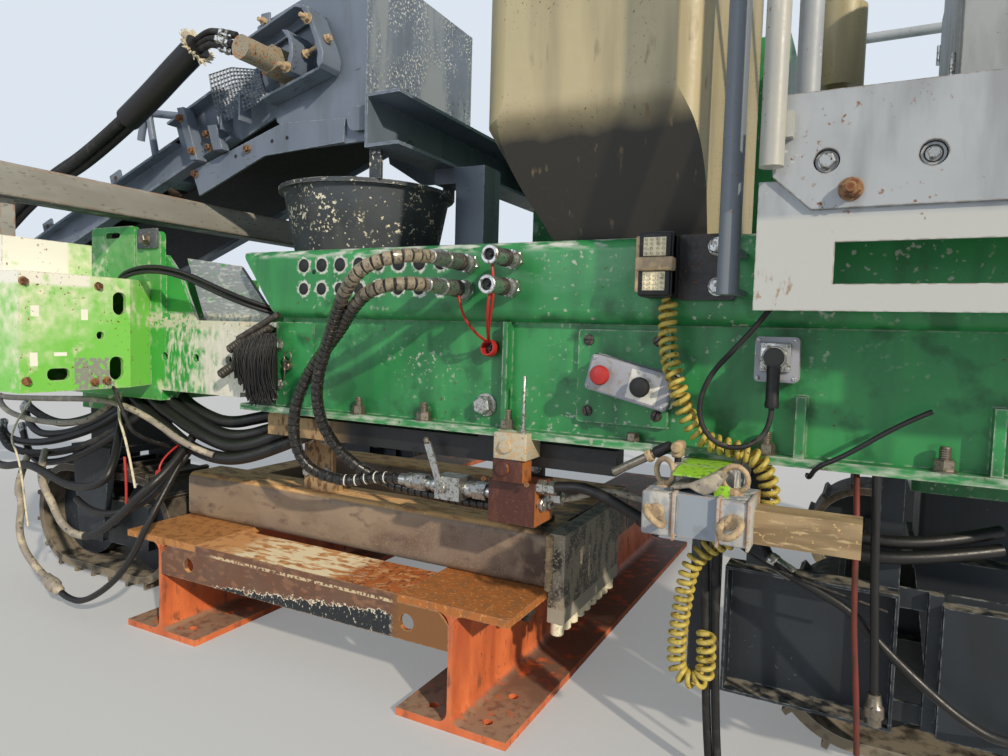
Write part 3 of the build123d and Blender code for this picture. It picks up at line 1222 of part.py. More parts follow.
with BuildPart() as lift_rod:
    with BuildSketch(cyl_plane.offset(BARREL_LENGTH * 0.45)):
        Circle(ROD_RADIUS)
    extrude(amount=CYL_LENGTH - BARREL_LENGTH * 0.45 - PIN_RADIUS - 4)
    eye(CYL_EYE)
    pin_bore(CYL_EYE, ROD_EYE_FIT)
lift_rod.part.label = "lift_rod"
export_step(lift_rod.part, "parts/lift_rod.step")

# Ears and pin on the front cross beam
with BuildPart() as lift_foot:
    ear_x = (FRONT_CROSS_X[1], CYL_FOOT[0] + 30)
    for y in (CYL_FOOT[1] - EYE_GAP - EAR_THICK, CYL_FOOT[1] + EYE_GAP):
        block(ear_x, (y, y + EAR_THICK), (CYL_FOOT[2] - 40, CYL_FOOT[2] + 40))
    with BuildSketch(Plane.XZ.offset(-CYL_FOOT[1] - EYE_GAP - EAR_THICK)):
        with Locations((CYL_FOOT[0], CYL_FOOT[2])):
            Circle(PIN_RADIUS)
    extrude(amount=2 * (EYE_GAP + EAR_THICK))
lift_foot.part.label = "lift_foot"
export_step(lift_foot.part, "parts/lift_foot.step")

# Pieces on the outer face of the left beam, as limits in x, y and z
WEB_SEAT = WEB_FACE_Y + FIT
TUBE_SEAT = BEAM_FACE_Y + FIT
COVER_PLATE = ((-1444.0, -1243.0), (WEB_SEAT, WEB_SEAT + 10), (745.0, 946.0))
SOCKET_BOX = ((-1690.0, -1612.0), (WEB_SEAT, 1010.0), (855.0, 940.0))
CONNECTOR_BOX = ((-1462.0, -1394.0), (TUBE_SEAT, 1060.0), (1011.0, 1137.0))
CONNECTOR_PLATE = ((-1570.0, -1459.0), (TUBE_SEAT, TUBE_SEAT + 10), (1008.0, 1136.0))
BOX_CORNER = 8.0


def wall_box(x, y, z):
    """Box with rounded corners as seen from the side."""
    with BuildSketch(Plane.XZ.offset(-y[1])) as face:
        with Locations(((x[0] + x[1]) / 2, (z[0] + z[1]) / 2)):
            RectangleRounded(x[1] - x[0], z[1] - z[0], BOX_CORNER)
    extrude(face.sketch, amount=y[1] - y[0])


with BuildPart() as cover_plate:
    wall_box(*COVER_PLATE)
cover_plate.part.label = "cover_plate"
export_step(cover_plate.part, "parts/cover_plate.step")

with BuildPart() as socket_box:
    wall_box(*SOCKET_BOX)
socket_box.part.label = "socket_box"
export_step(socket_box.part, "parts/socket_box.step")

with BuildPart() as connector_box:
    wall_box(*CONNECTOR_BOX)
    wall_box(*CONNECTOR_PLATE)
connector_box.part.label = "connector_box"
export_step(connector_box.part, "parts/connector_box.step")

# Push-button box on the cover plate, tilted towards the rear
BUTTON_BOX = (176.0, 74.0)
BUTTON_PLACE = (-1375.5, 840.5)
BUTTON_TILT = 13.0
BUTTON_FACE_Y = 1040.0
with BuildPart() as control_box:
    button_seat = COVER_PLATE[1][1] + FIT
    with BuildSketch(Plane.XZ.offset(-BUTTON_FACE_Y)):
        with Locations(Location((BUTTON_PLACE[0], BUTTON_PLACE[1], 0), (0, 0, BUTTON_TILT))):
            RectangleRounded(*BUTTON_BOX, BOX_CORNER)
    extrude(amount=BUTTON_FACE_Y - button_seat)
control_box.part.label = "control_box"
export_step(control_box.part, "parts/control_box.step")

# Quick couplers on the tube's face, as x and z of each
COUPLERS = ((-1092.0, 1096.0), (-1087.0, 1034.0), (-979.0, 1089.0), (-971.0, 1030.0))
COUPLER_STAGES = ((22.0, 21.0), (62.0, 16.0), (24.0, 19.0))
with BuildPart() as hose_couplers:
    for x, z in COUPLERS:
        start = TUBE_SEAT
        for length, radius in COUPLER_STAGES:
            with BuildSketch(Plane.XZ.offset(-start - length)):
                with Locations((x, z)):
                    Circle(radius)
            extrude(amount=length)
            start += length
hose_couplers.part.label = "hose_couplers"
export_step(hose_couplers.part, "parts/hose_couplers.step")
COUPLER_END_Y = TUBE_SEAT + sum(length for length, _ in COUPLER_STAGES)

# Valve block in front of the mould's rail, with a pilot valve on top
RAIL_SEAT = HANGER_RAIL_Y + HANGER_RAIL / 2 + FIT
MANIFOLD = ((-1159.0, -1041.0), (900.0, 1000.0), (498.0, 597.0))
PILOT = ((-1128.0, -1062.0), (RAIL_SEAT, 1004.0), (596.0, 690.0))
with BuildPart() as valve_manifold:
    block(*MANIFOLD)
    block(*PILOT)
valve_manifold.part.label = "valve_manifold"
export_step(valve_manifold.part, "parts/valve_manifold.step")

# Shut-off valve in line with the block: hexagon ends along a round run, lever above
VALVE_X = (MANIFOLD[0][1] + FIT, -770.0)
VALVE_Y = 965.0
VALVE_Z = 556.0
VALVE_BODY = (-957.0, -888.0)
VALVE_BODY_HALF = 28.0
VALVE_RUN_RADIUS = 15.0
VALVE_HEX = ((-1020.0, -985.0), (-850.0, -815.0))
VALVE_HEX_RADIUS = 22.0
LEVER_FOOT = (-909.0, 555.0)
LEVER_TIP = (-869.0, 660.0)
LEVER_WIDTH = 18.0
LEVER_THICK = 6.0
with BuildPart() as shutoff_valve:
    with BuildSketch(Plane.YZ.offset(VALVE_X[0])):
        with Locations((VALVE_Y, VALVE_Z)):
            Circle(VALVE_RUN_RADIUS)
    extrude(amount=VALVE_X[1] - VALVE_X[0])
    for hex_x in VALVE_HEX:
        with BuildSketch(Plane.YZ.offset(hex_x[0])):
            with Locations((VALVE_Y, VALVE_Z)):
                RegularPolygon(VALVE_HEX_RADIUS, 6)
        extrude(amount=hex_x[1] - hex_x[0])
    body_y = (VALVE_Y - VALVE_BODY_HALF, VALVE_Y + VALVE_BODY_HALF)
    body_z = (VALVE_Z - VALVE_BODY_HALF, VALVE_Z + VALVE_BODY_HALF)
    block(VALVE_BODY, body_y, body_z)
    lever_y = body_y[1] + LEVER_THICK
    with BuildSketch(Plane.XZ.offset(-lever_y)):
        rise = (LEVER_TIP[0] - LEVER_FOOT[0], LEVER_TIP[1] - LEVER_FOOT[1])
        middle = ((LEVER_TIP[0] + LEVER_FOOT[0]) / 2, (LEVER_TIP[1] + LEVER_FOOT[1]) / 2)
        length = sqrt(rise[0] ** 2 + rise[1] ** 2)
        turn = degrees(atan2(rise[1], rise[0]))
        with Locations(Location((middle[0], middle[1], 0), (0, 0, turn))):
            SlotOverall(length + LEVER_WIDTH, LEVER_WIDTH)
    extrude(amount=LEVER_THICK)
shutoff_valve.part.label = "shutoff_valve"
export_step(shutoff_valve.part, "parts/shutoff_valve.step")

# Clamp on an arm below the left beam, with the bar it holds
CLAMP_ARM = ((-1600.0, -1490.0), (880.0, 1100.0), (645.0, FLANGE_LOW_Z - FIT))
CLAMP_BLOCK = ((-1640.0, -1456.0), (1050.0, 1170.0), (580.0, 657.0))
CLAMP_BAR = ((-1810.0, -1630.0), (1070.0, 1130.0), (576.0, 636.0))
with BuildPart() as clamp_block:
    block(*CLAMP_ARM)
    block(*CLAMP_BLOCK)
    block(*CLAMP_BAR)
clamp_block.part.label = "clamp_block"
export_step(clamp_block.part, "parts/clamp_block.step")

# Guard outside the rear track: a tray hung from the beam on two straps, with a column
GUARD_X = (-1880.0, -1565.0)
GUARD_Y = (868.0, 930.0)
GUARD_Z = (200.0, 465.0)
GUARD_WALL = 6.0
GUARD_COLUMN = ((-1954.0, -1930.0), (868.0, 892.0), (200.0, 465.0))
GUARD_END = ((-2100.0, -1953.0), (868.0, 910.0), (200.0, 450.0))
GUARD_STRAP_X = (-1620.0, -1860.0)
GUARD_STRAP = 40.0
GUARD_BAR = ((-1548.0, -1484.0), (866.0, 878.0), (170.0, FLANGE_LOW_Z - FIT))
with BuildPart() as leg_guard:
    block(*GUARD_BAR)
    block(GUARD_X, GUARD_Y, GUARD_Z)
    inner_x = (GUARD_X[0] + GUARD_WALL, GUARD_X[1] - GUARD_WALL)
    inner_z = (GUARD_Z[0] + GUARD_WALL, GUARD_Z[1] - GUARD_WALL)
    block(inner_x, (GUARD_Y[0] + GUARD_WALL, GUARD_Y[1] + 1), inner_z, mode=Mode.SUBTRACT)
    block(*GUARD_COLUMN)
    block(*GUARD_END)
    for z in (GUARD_Z[0], GUARD_Z[1] - GUARD_STRAP):
        rail_y = (GUARD_Y[0], GUARD_Y[0] + GUARD_WALL)
        block((GUARD_END[0][0], GUARD_X[0] + 1), rail_y, (z, z + GUARD_STRAP))
    for x in GUARD_STRAP_X:
        strap_x = (x - GUARD_STRAP / 2, x + GUARD_STRAP / 2)
        strap_y = (GUARD_Y[0] + PLATE_EDGE, GUARD_Y[0] + 2 * PLATE_EDGE)
        block(strap_x, strap_y, (GUARD_Z[1] - 1, FLANGE_LOW_Z - FIT))
leg_guard.part.label = "leg_guard"
export_step(leg_guard.part, "parts/leg_guard.step")

# Bent plate outside the hood's left cheek, outline in x and z
SIDE_SHIELD = (
    (222, 1440),
    (188, 1357),
    (-105, 1461),
    (-419, 1472),
    (-425, 1540),
    (-180, 1552),
)
SHIELD_THICK = 8.0
with BuildPart() as conveyor_shield:
    shield_y = CONVEYOR_Y + HALF_WIDTH + PIVOT_EAR + 2 * FIT + SHIELD_THICK
    with BuildSketch(Plane.XZ.offset(-shield_y)):
        with BuildLine():
            Polyline(*SIDE_SHIELD, close=True)
        make_face()
    extrude(amount=SHIELD_THICK)
conveyor_shield.part.label = "conveyor_shield"
export_step(conveyor_shield.part, "parts/conveyor_shield.step")


# Hoses and cables: straight runs joined by arcs tangent to both
def hose_path(points, largest):
    """Rounded line through the points; prints its length and arc radii."""
    vectors = [Vector(*point) for point in points]
    radii = []
    for before, here, after in zip(vectors, vectors[1:], vectors[2:]):
        inward = here - before
        outward = after - here
        turn = radians(inward.get_angle(outward))
        reach = 0.45 * min(inward.length, outward.length)
        radii.append(min(reach / tan(turn / 2), largest))
    line = FilletPolyline(*points, radius=radii)
    print("path", round(line.length), "radii", [round(radius) for radius in radii])
    return line


def tube_along(points, radius, largest):
    """Solid round tube along a rounded line."""
    with BuildLine() as path:
        hose_path(points, largest)
    with BuildSketch(Plane(origin=points[0], z_dir=path.line % 0)) as section:
        Circle(radius)
    sweep(section.sketch, path=path.line)


GUARDED_RADIUS = 14.5
GUARDED_LARGEST = 260.0
GUARDED_HOSES = (
    (
        (-979.0, COUPLER_END_Y + FIT, 1089.0),
        (-979.0, 1180.0, 1089.0),
        (-948.0, 1242.0, 1084.0),
        (-885.0, 1272.0, 1062.0),
        (-815.0, 1243.0, 1015.0),
        (-752.0, 1198.0, 962.0),
        (-688.0, 1150.0, 903.0),
        (-608.0, 1105.0, 793.0),
        (-588.0, 1060.0, 688.0),
        (-617.0, 1000.0, 596.0),
        (-694.0, 935.0, 533.0),
        (-868.0, 922.0, 513.0),
        (-1040.7, 922.0, 513.0),
    ),
    (
        (-971.0, COUPLER_END_Y + FIT, 1030.0),
        (-971.0, 1170.0, 1030.0),
        (-942.0, 1222.0, 1030.0),
        (-885.0, 1243.0, 1018.0),
        (-808.0, 1210.0, 980.0),
        (-723.0, 1150.0, 927.0),
        (-589.0, 1095.0, 838.0),
        (-516.0, 1080.0, 735.0),
        (-494.0, 1056.0, 625.0),
        (-525.0, 1026.0, 556.0),
        (-610.0, 980.0, 530.0),
        (-700.0, 965.0, 556.0),
        (-769.7, 965.0, 556.0),
    ),
)
with BuildPart() as guarded_hoses:
    for points in GUARDED_HOSES:
        tube_along(points, GUARDED_RADIUS, GUARDED_LARGEST)
guarded_hoses.part.label = "guarded_hoses"
export_step(guarded_hoses.part, "parts/guarded_hoses.step")

# Curled cable hanging from the connector box, as one tube of the curl's outer size
CURL_RADIUS = 16.0
CURL_LARGEST = 220.0
CURL_POINTS = (
    (-1448.0, 1030.0, 1010.7),
    (-1448.0, 1030.0, 955.0),
    (-1457.0, 1044.0, 898.0),
    (-1478.0, 1062.0, 846.0),
    (-1500.0, 1052.0, 778.0),
    (-1528.0, 1036.0, 736.0),
    (-1580.0, 1032.0, 727.0),
    (-1632.0, 1028.0, 712.0),
    (-1655.0, 1026.0, 660.0),
    (-1652.0, 1026.0, 602.0),
    (-1612.0, 1028.0, 558.0),
    (-1556.0, 1033.0, 537.0),
    (-1514.0, 1038.0, 490.0),
    (-1507.0, 1040.0, 430.0),
    (-1500.0, 1042.0, 374.0),
    (-1497.0, 1043.0, 320.0),
    (-1500.0, 1044.0, 266.0),
    (-1553.0, 1044.0, 262.0),
    (-1556.0, 1042.0, 315.0),
    (-1552.0, 1040.0, 366.0),
)
with BuildPart() as curly_cable:
    tube_along(CURL_POINTS, CURL_RADIUS, CURL_LARGEST)
curly_cable.part.label = "curly_cable"
export_step(curly_cable.part, "parts/curly_cable.step")

# Plug in the socket box and its cable, which loops up to the left beam's face
CABLE_RADIUS = 5.0
CABLE_LARGEST = 90.0
PLUG_X = -1649.0
PLUG_Z = 902.0
PLUG_RADIUS = 17.0
PLUG_Y = (1010.3, 1044.0)
PLUG_NECK = 11.0
PLUG_NECK_Z = (810.0, 892.0)
CABLE_POINTS = (
    (PLUG_X, 1030.0, PLUG_NECK_Z[0] - FIT),
    (PLUG_X, 1030.0, 770.0),
    (-1618.0, 1058.0, 735.0),
    (-1568.0, 1070.0, 731.0),
    (-1531.0, 1072.0, 765.0),
    (-1524.0, 1070.0, 815.0),
    (-1543.0, 1068.0, 868.0),
    (-1580.0, 1062.0, 912.0),
    (-1616.0, 1060.0, 955.0),
    (-1648.0, 1056.0, 1001.0),
    (-1648.0, 1000.0 + FIT, 1001.0),
)
with BuildPart() as socket_plug:
    with BuildSketch(Plane.XZ.offset(-PLUG_Y[1])):
        with Locations((PLUG_X, PLUG_Z)):
            Circle(PLUG_RADIUS)
    extrude(amount=PLUG_Y[1] - PLUG_Y[0])
    with BuildSketch(Plane.XY.offset(PLUG_NECK_Z[0])):
        with Locations((PLUG_X, CABLE_POINTS[0][1])):
            Circle(PLUG_NECK)
    extrude(amount=PLUG_NECK_Z[1] - PLUG_NECK_Z[0])
socket_plug.part.label = "socket_plug"
export_step(socket_plug.part, "parts/socket_plug.step")

with BuildPart() as socket_cable:
    tube_along(CABLE_POINTS, CABLE_RADIUS, CABLE_LARGEST)
socket_cable.part.label = "socket_cable"
export_step(socket_cable.part, "parts/socket_cable.step")
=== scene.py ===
"""Looks of the slipform paver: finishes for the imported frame, and the small pieces that ride on it."""

import math

import bpy
from mathutils import Matrix, Vector
from random import Random


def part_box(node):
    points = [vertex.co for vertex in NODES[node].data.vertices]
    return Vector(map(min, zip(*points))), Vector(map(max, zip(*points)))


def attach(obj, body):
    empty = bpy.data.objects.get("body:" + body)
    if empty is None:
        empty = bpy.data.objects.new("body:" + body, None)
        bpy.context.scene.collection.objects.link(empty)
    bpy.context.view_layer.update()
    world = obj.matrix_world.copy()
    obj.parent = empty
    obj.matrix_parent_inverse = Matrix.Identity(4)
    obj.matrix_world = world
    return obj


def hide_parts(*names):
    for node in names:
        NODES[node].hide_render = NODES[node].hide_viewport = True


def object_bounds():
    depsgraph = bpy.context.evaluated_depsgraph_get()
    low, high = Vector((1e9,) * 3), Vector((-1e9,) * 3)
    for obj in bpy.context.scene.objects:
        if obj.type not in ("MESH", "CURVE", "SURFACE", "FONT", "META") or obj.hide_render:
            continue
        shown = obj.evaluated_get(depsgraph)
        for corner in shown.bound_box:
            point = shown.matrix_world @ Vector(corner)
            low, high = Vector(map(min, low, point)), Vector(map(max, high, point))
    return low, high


bl_info = {
    "name": "Slipform paver looks",
    "version": (1, 0, 0),
    "blender": (4, 5, 0),
    "location": "3D View > Sidebar > Paver",
    "description": "Finishes and small pieces of a four-track slipform paver",
    "category": "Object",
}

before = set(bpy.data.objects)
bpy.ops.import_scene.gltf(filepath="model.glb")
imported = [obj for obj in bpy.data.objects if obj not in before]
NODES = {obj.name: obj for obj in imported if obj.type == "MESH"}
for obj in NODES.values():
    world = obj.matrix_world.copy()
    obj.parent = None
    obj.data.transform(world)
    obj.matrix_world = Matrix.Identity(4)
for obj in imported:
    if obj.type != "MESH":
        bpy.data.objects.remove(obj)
CAD_BOX = [list(corner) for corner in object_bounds()]


# Colour and node helpers
def linear(text):
    """An sRGB hex colour as linear RGBA."""
    values = [int(text[i:i + 2], 16) / 255 for i in (0, 2, 4)]
    return tuple(v / 12.92 if v <= 0.04045 else ((v + 0.055) / 1.055) ** 2.4 for v in values) + (1.0,)


def add(tree, kind, settings=None, links=None):
    """A node with its settings, inputs by name or number, and its links."""
    node = tree.nodes.new(kind)
    for key, value in (settings or {}).items():
        if isinstance(key, str) and hasattr(node, key):
            setattr(node, key, value)
        else:
            node.inputs[key].default_value = value
    for key, source in (links or {}).items():
        tree.links.new(source, node.inputs[key])
    return node


class Mask:
    """A grey value in a finish's node tree; masks multiply."""

    def __init__(self, tree, socket):
        self.tree = tree
        self.socket = socket

    def __mul__(self, other):
        product = add(self.tree, "ShaderNodeMath", {"operation": "MULTIPLY"}, {0: self.socket, 1: other.socket})
        return Mask(self.tree, product.outputs[0])


class Skin:
    """The node tree of one finish, and the masks that its layers are made of."""

    def __init__(self, tree):
        self.tree = tree
        self.coord = add(tree, "ShaderNodeTexCoord").outputs["Object"]

    def ramp(self, socket, start, end, first=0.0, last=1.0):
        """From first at start to last at end."""
        settings = {1: start, 2: end, 3: first, 4: last}
        return Mask(self.tree, add(self.tree, "ShaderNodeMapRange", settings, {0: socket}).outputs[0])

    def split(self, source):
        """The three parts of a vector."""
        return add(self.tree, "ShaderNodeSeparateXYZ", links={0: source}).outputs

    def noise(self, size_mm, low, high, stretch=(1, 1, 1), detail=4.0, offset=0.0):
        """Blotches of about size_mm, from 0 below low to 1 above high."""
        settings = {"Scale": stretch, "Location": (offset, offset, offset)}
        moved = add(self.tree, "ShaderNodeMapping", settings, {0: self.coord})
        settings = {"Scale": 1000.0 / size_mm, "Detail": detail}
        cloud = add(self.tree, "ShaderNodeTexNoise", settings, {"Vector": moved.outputs[0]})
        return self.ramp(cloud.outputs[0], low, high)

    def edges(self, radius, low, high):
        """1 on the outer edges of the shape, found by how a rounded normal departs from the flat one."""
        rounded = add(self.tree, "ShaderNodeBevel", {"samples": 4, "Radius": radius})
        flat = add(self.tree, "ShaderNodeNewGeometry")
        both = {0: rounded.outputs[0], 1: flat.outputs["Normal"]}
        dot = add(self.tree, "ShaderNodeVectorMath", {"operation": "DOT_PRODUCT"}, both)
        return self.ramp(dot.outputs["Value"], 1.0 - low, 1.0 - high)

    def inside(self, low, high, soft=0.01):
        """1 inside a box in metres, fading out over soft."""
        parts = self.split(self.coord)
        product = None
        for axis in range(3):
            for start, end in ((low[axis] - soft, low[axis]), (high[axis] + soft, high[axis])):
                ramp = self.ramp(parts[axis], start, end)
                product = ramp if product is None else product * ramp
        return product

    def facing_up(self, low, high):
        """1 on faces that look up."""
        flat = add(self.tree, "ShaderNodeNewGeometry")
        return self.ramp(self.split(flat.outputs["Normal"])[2], low, high)

    def facing_rear(self):
        """1 on faces that look to the rear."""
        flat = add(self.tree, "ShaderNodeNewGeometry")
        return self.ramp(self.split(flat.outputs["Normal"])[0], -0.6, -0.9)

    def below(self, low, high):
        """1 under the height low, 0 over high, in metres."""
        return self.ramp(self.split(self.coord)[2], low, high, 1.0, 0.0)

    def along(self, weights, start, end, wobble=0.0, size_mm=30.0):
        """0 at start and 1 at end along a direction, the border made ragged by wobble in metres."""
        dot = add(self.tree, "ShaderNodeVectorMath", {"operation": "DOT_PRODUCT", 1: weights}, {0: self.coord})
        reach = dot.outputs["Value"]
        if wobble:
            cloud = self.noise(size_mm, 0.3, 0.7, detail=6.0, offset=4.0)
            settings = {"operation": "MULTIPLY_ADD", 1: wobble}
            reach = add(self.tree, "ShaderNodeMath", settings, {0: cloud.socket, 2: reach}).outputs[0]
        return self.ramp(reach, start, end)


X, Y, Z = (1, 0, 0), (0, 1, 0), (0, 0, 1)
MATERIALS = {}


def finish(name, colour, rough, layers=None, metallic=0.0, bump_mm=0.0, grain_mm=3.0, shade=None, coat=0.0):
    """One finish: a colour varied by large blotches, layers over it as (mask, colour, roughness), and a grain."""
    if name in MATERIALS:
        return MATERIALS[name]
    material = bpy.data.materials.new(name)
    material.use_nodes = True
    tree = material.node_tree
    tree.nodes.clear()
    skin = Skin(tree)
    settings = {"Base Color": linear(colour), "Metallic": metallic, "Coat Weight": coat}
    shader = add(tree, "ShaderNodeBsdfPrincipled", settings)
    blotch = skin.noise(140.0, 0.35, 0.65)
    mix = {"data_type": "RGBA", 6: linear(colour), 7: linear(shade or colour)}
    tint = add(tree, "ShaderNodeMix", mix, {0: blotch.socket}).outputs[2]
    fine = skin.noise(9.0, 0.3, 0.7)
    gloss = add(tree, "ShaderNodeMapRange", {3: rough - 0.07, 4: rough + 0.09}, {0: fine.socket}).outputs[0]
    for mask, over, over_rough in (layers(skin) if layers else ()):
        mix = {"data_type": "RGBA", 7: linear(over)}
        tint = add(tree, "ShaderNodeMix", mix, {0: mask.socket, 6: tint}).outputs[2]
        gloss = add(tree, "ShaderNodeMix", {3: over_rough}, {0: mask.socket, 2: gloss}).outputs[0]
    tree.links.new(tint, shader.inputs["Base Color"])
    tree.links.new(gloss, shader.inputs["Roughness"])
    if bump_mm:
        height = skin.noise(grain_mm, 0.2, 0.8, detail=6.0)
        bumped = add(tree, "ShaderNodeBump", {"Strength": 0.6, "Distance": bump_mm / 1000}, {"Height": height.socket})
        tree.links.new(bumped.outputs[0], shader.inputs["Normal"])
    output = add(tree, "ShaderNodeOutputMaterial", links={0: shader.outputs[0]})
    output.is_active_output = True
    MATERIALS[name] = material
    return material


PLUG_FIRST_X, PLUG_PITCH, PLUG_COUNT = -0.47, 0.061, 8
PLUG_ROWS = ((1.095, 0.0155), (1.034, 0.014))


def plug_rings(skin):
    """Pale rings round the plugs, each hole's distance found by wrapping the length along the beam."""
    tree = skin.tree
    length, _, height = skin.split(skin.coord)
    middle = {"operation": "ADD", 1: -PLUG_FIRST_X + PLUG_PITCH * 20.5}
    phase = add(tree, "ShaderNodeMath", middle, {0: length})
    wrapped = add(tree, "ShaderNodeMath", {"operation": "MODULO", 1: PLUG_PITCH}, {0: phase.outputs[0]})
    across = add(tree, "ShaderNodeMath", {"operation": "SUBTRACT", 1: PLUG_PITCH / 2}, {0: wrapped.outputs[0]})
    wobble = skin.noise(12.0, 0.3, 0.7, offset=2.0)
    field = skin.inside((-0.925, 0.99, 0.99), (-0.44, 1.01, 1.14), 0.004)
    rings = []
    for z, radius in PLUG_ROWS:
        rise = add(tree, "ShaderNodeMath", {"operation": "SUBTRACT", 1: z}, {0: height})
        flat = add(tree, "ShaderNodeCombineXYZ", links={0: across.outputs[0], 1: rise.outputs[0]})
        reach = add(tree, "ShaderNodeVectorMath", {"operation": "LENGTH"}, {0: flat.outputs[0]})
        ragged = {0: wobble.socket, 2: reach.outputs["Value"]}
        rough_reach = add(tree, "ShaderNodeMath", {"operation": "MULTIPLY_ADD", 1: 0.012}, ragged)
        ring = skin.ramp(rough_reach.outputs[0], radius + 0.016, radius + 0.011)
        rings.append((ring * field, "BFC6BC", 0.65))
    return rings


def frame_green_layers(skin):
    """Scrapes down to grey primer, rubbed edges, streaks, pale rings round the plugs, and painted shade in darker
    blotches on the web.
    """
    return [
        (skin.noise(60.0, 0.45, 0.72, stretch=(1, 1, 0.12)), "236B3D", 0.5),
        (skin.noise(13.0, 0.62, 0.68, offset=3.0) * skin.noise(260.0, 0.46, 0.62, offset=7.0), "A9B2A4", 0.62),
        (
            skin.inside((-2.8, 0.9, 1.127), (0.0, 1.01, 1.2), 0.014) * skin.noise(
                22.0, 0.46, 0.6, stretch=(0.35, 1, 1), offset=5.0,
            ),
            "C3C8C0", 0.6,
        ),
        *plug_rings(skin),
        (
            skin.inside((-2.8, 0.996, 0.69), (-0.2, 1.02, 0.722), 0.003) * skin.noise(
                11.0, 0.42, 0.66, stretch=(0.25, 1, 1), offset=9.0,
            ),
            "A9B8A4", 0.6,
        ),
        # Painted shade: darker green blotches on the web under the tube.
        (
            skin.noise(70.0, 0.54, 0.66, offset=12.0) * skin.inside((-2.8, 0.94, 0.72), (-0.2, 1.0, 1.0), 0.02),
            "1A6434", 0.42,
        ),
        (skin.edges(0.006, 0.03, 0.16) * skin.noise(18.0, 0.4, 0.55), "A6ADA0", 0.55),
        (skin.noise(14.0, 0.63, 0.7, offset=11.0) * skin.noise(120.0, 0.52, 0.6, offset=1.0), "5A4634", 0.85),
    ]


# Pale squares left by old tape on the outrigger's plate, as low and high (across, height)
TAPE_MARKS = (
    ((1.352, 0.942), (1.372, 0.969)), ((1.224, 0.936), (1.242, 0.964)), ((1.357, 0.814), (1.375, 0.848)),
    ((1.282, 0.839), (1.315, 0.848)),
)


def bracket_layers(skin):
    """Plates lit with painted sunlight and rubbed to cream primer, a scraped panel, bare gussets and tape marks."""
    # Painted sunlight: the plates past the beam turn bright yellow-green.
    bright = skin.inside((0.08, 1.005, 0.69), (0.5, 1.5, 1.2), 0.006)
    worn = skin.noise(34.0, 0.52, 0.68, detail=8.0, offset=3.0) * skin.noise(160.0, 0.5, 0.6, offset=6.0)
    cloud = skin.along((0, 0.6, 1.0), 1.66, 1.84, 0.1, 60.0) * skin.noise(30.0, 0.26, 0.66, detail=8.0, offset=5.0)
    scraped = skin.inside((0.08, 1.15, 0.74), (0.12, 1.26, 0.83), 0.004) * skin.noise(12.0, 0.4, 0.5)
    panel_field = skin.inside((-0.37, 0.98, 0.72), (0.075, 1.02, 0.96), 0.01)
    gusset = skin.inside((-0.37, 0.9, 0.935), (0.085, 0.972, 1.135), 0.003)
    cap = skin.inside((-0.37, 0.8, 0.925), (0.3, 1.02, 0.96), 0.01) * skin.noise(14.0, 0.45, 0.52)
    upper = skin.inside((0.02, 1.22, 1.03), (0.5, 1.5, 1.2), 0.01) * skin.noise(60.0, 0.3, 0.38, offset=4.0)
    rust = skin.noise(10.0, 0.62, 0.68, offset=2.0) * skin.noise(90.0, 0.5, 0.58, offset=5.0)
    return [
        (skin.noise(60.0, 0.45, 0.72, stretch=(1, 1, 0.15)), "2B8A3C", 0.5), (bright, "7CCB56", 0.42),
        (worn, "D2DBB8", 0.6), (cloud * bright, "E6EBCB", 0.6), (scraped, "8C9088", 0.6),
        *[(skin.inside((0.08, *low), (0.12, *high), 0.001), "F0F1E4", 0.6) for low, high in TAPE_MARKS],
        (panel_field * skin.along(X, 0.04, -0.06, 0.14, 34.0), "CBC9BE", 0.62),
        (panel_field * skin.noise(14.0, 0.44, 0.62, stretch=(1, 1, 0.4), detail=8.0, offset=8.0), "D5D3C8", 0.62),
        (panel_field * skin.noise(20.0, 0.62, 0.68, stretch=(1, 1, 0.4), offset=15.0), "6A9468", 0.5),
        (gusset * skin.noise(30.0, 0.3, 0.4), "8E959B", 0.45),
        (gusset * skin.noise(7.0, 0.54, 0.62, stretch=(0.3, 1, 1), offset=3.0), "B6BABD", 0.4), (cap, "C9C6B4", 0.6),
        (upper, "EDEEE2", 0.5), (rust, "7A4A2A", 0.85),
        (skin.edges(0.006, 0.03, 0.16) * skin.noise(14.0, 0.42, 0.52), "C4C2B2", 0.55),
    ]


def orange_layers(skin):
    """Primer rubbed and muddied on the feet, rusted through on the front of the heads, chipped along the edges."""
    foot = skin.facing_up(0.6, 0.9) * skin.noise(40.0, 0.3, 0.46)
    toe = skin.along(Y, 0.86, 0.98, 0.1, 40.0) * skin.facing_up(0.6, 0.9)
    head = skin.along(Z, 0.276, 0.28) * skin.along(Y, 0.8, 0.87, 0.05, 40.0)
    return [
        (skin.noise(60.0, 0.46, 0.66, stretch=(1, 1, 0.3), offset=2.0), "B65C38", 0.5),
        (skin.noise(26.0, 0.58, 0.7, stretch=(1, 1, 0.4), offset=12.0), "8E5236", 0.6), (foot, "7E6454", 0.6),
        (toe * skin.noise(24.0, 0.36, 0.5, offset=6.0), "9C8068", 0.7),
        (skin.noise(8.0, 0.64, 0.68) * skin.noise(60.0, 0.52, 0.6), "6A3A26", 0.8), (head, "B47E48", 0.7),
        (head * skin.along(X, -0.5, -0.6), "A8662E", 0.7),
        (head * skin.noise(24.0, 0.5, 0.62, offset=3.0), "946236", 0.75),
        (head * skin.noise(9.0, 0.58, 0.66, offset=9.0), "C48A50", 0.75),
        (skin.edges(0.005, 0.03, 0.16) * skin.noise(16.0, 0.42, 0.52), "A87A5E", 0.75),
    ]


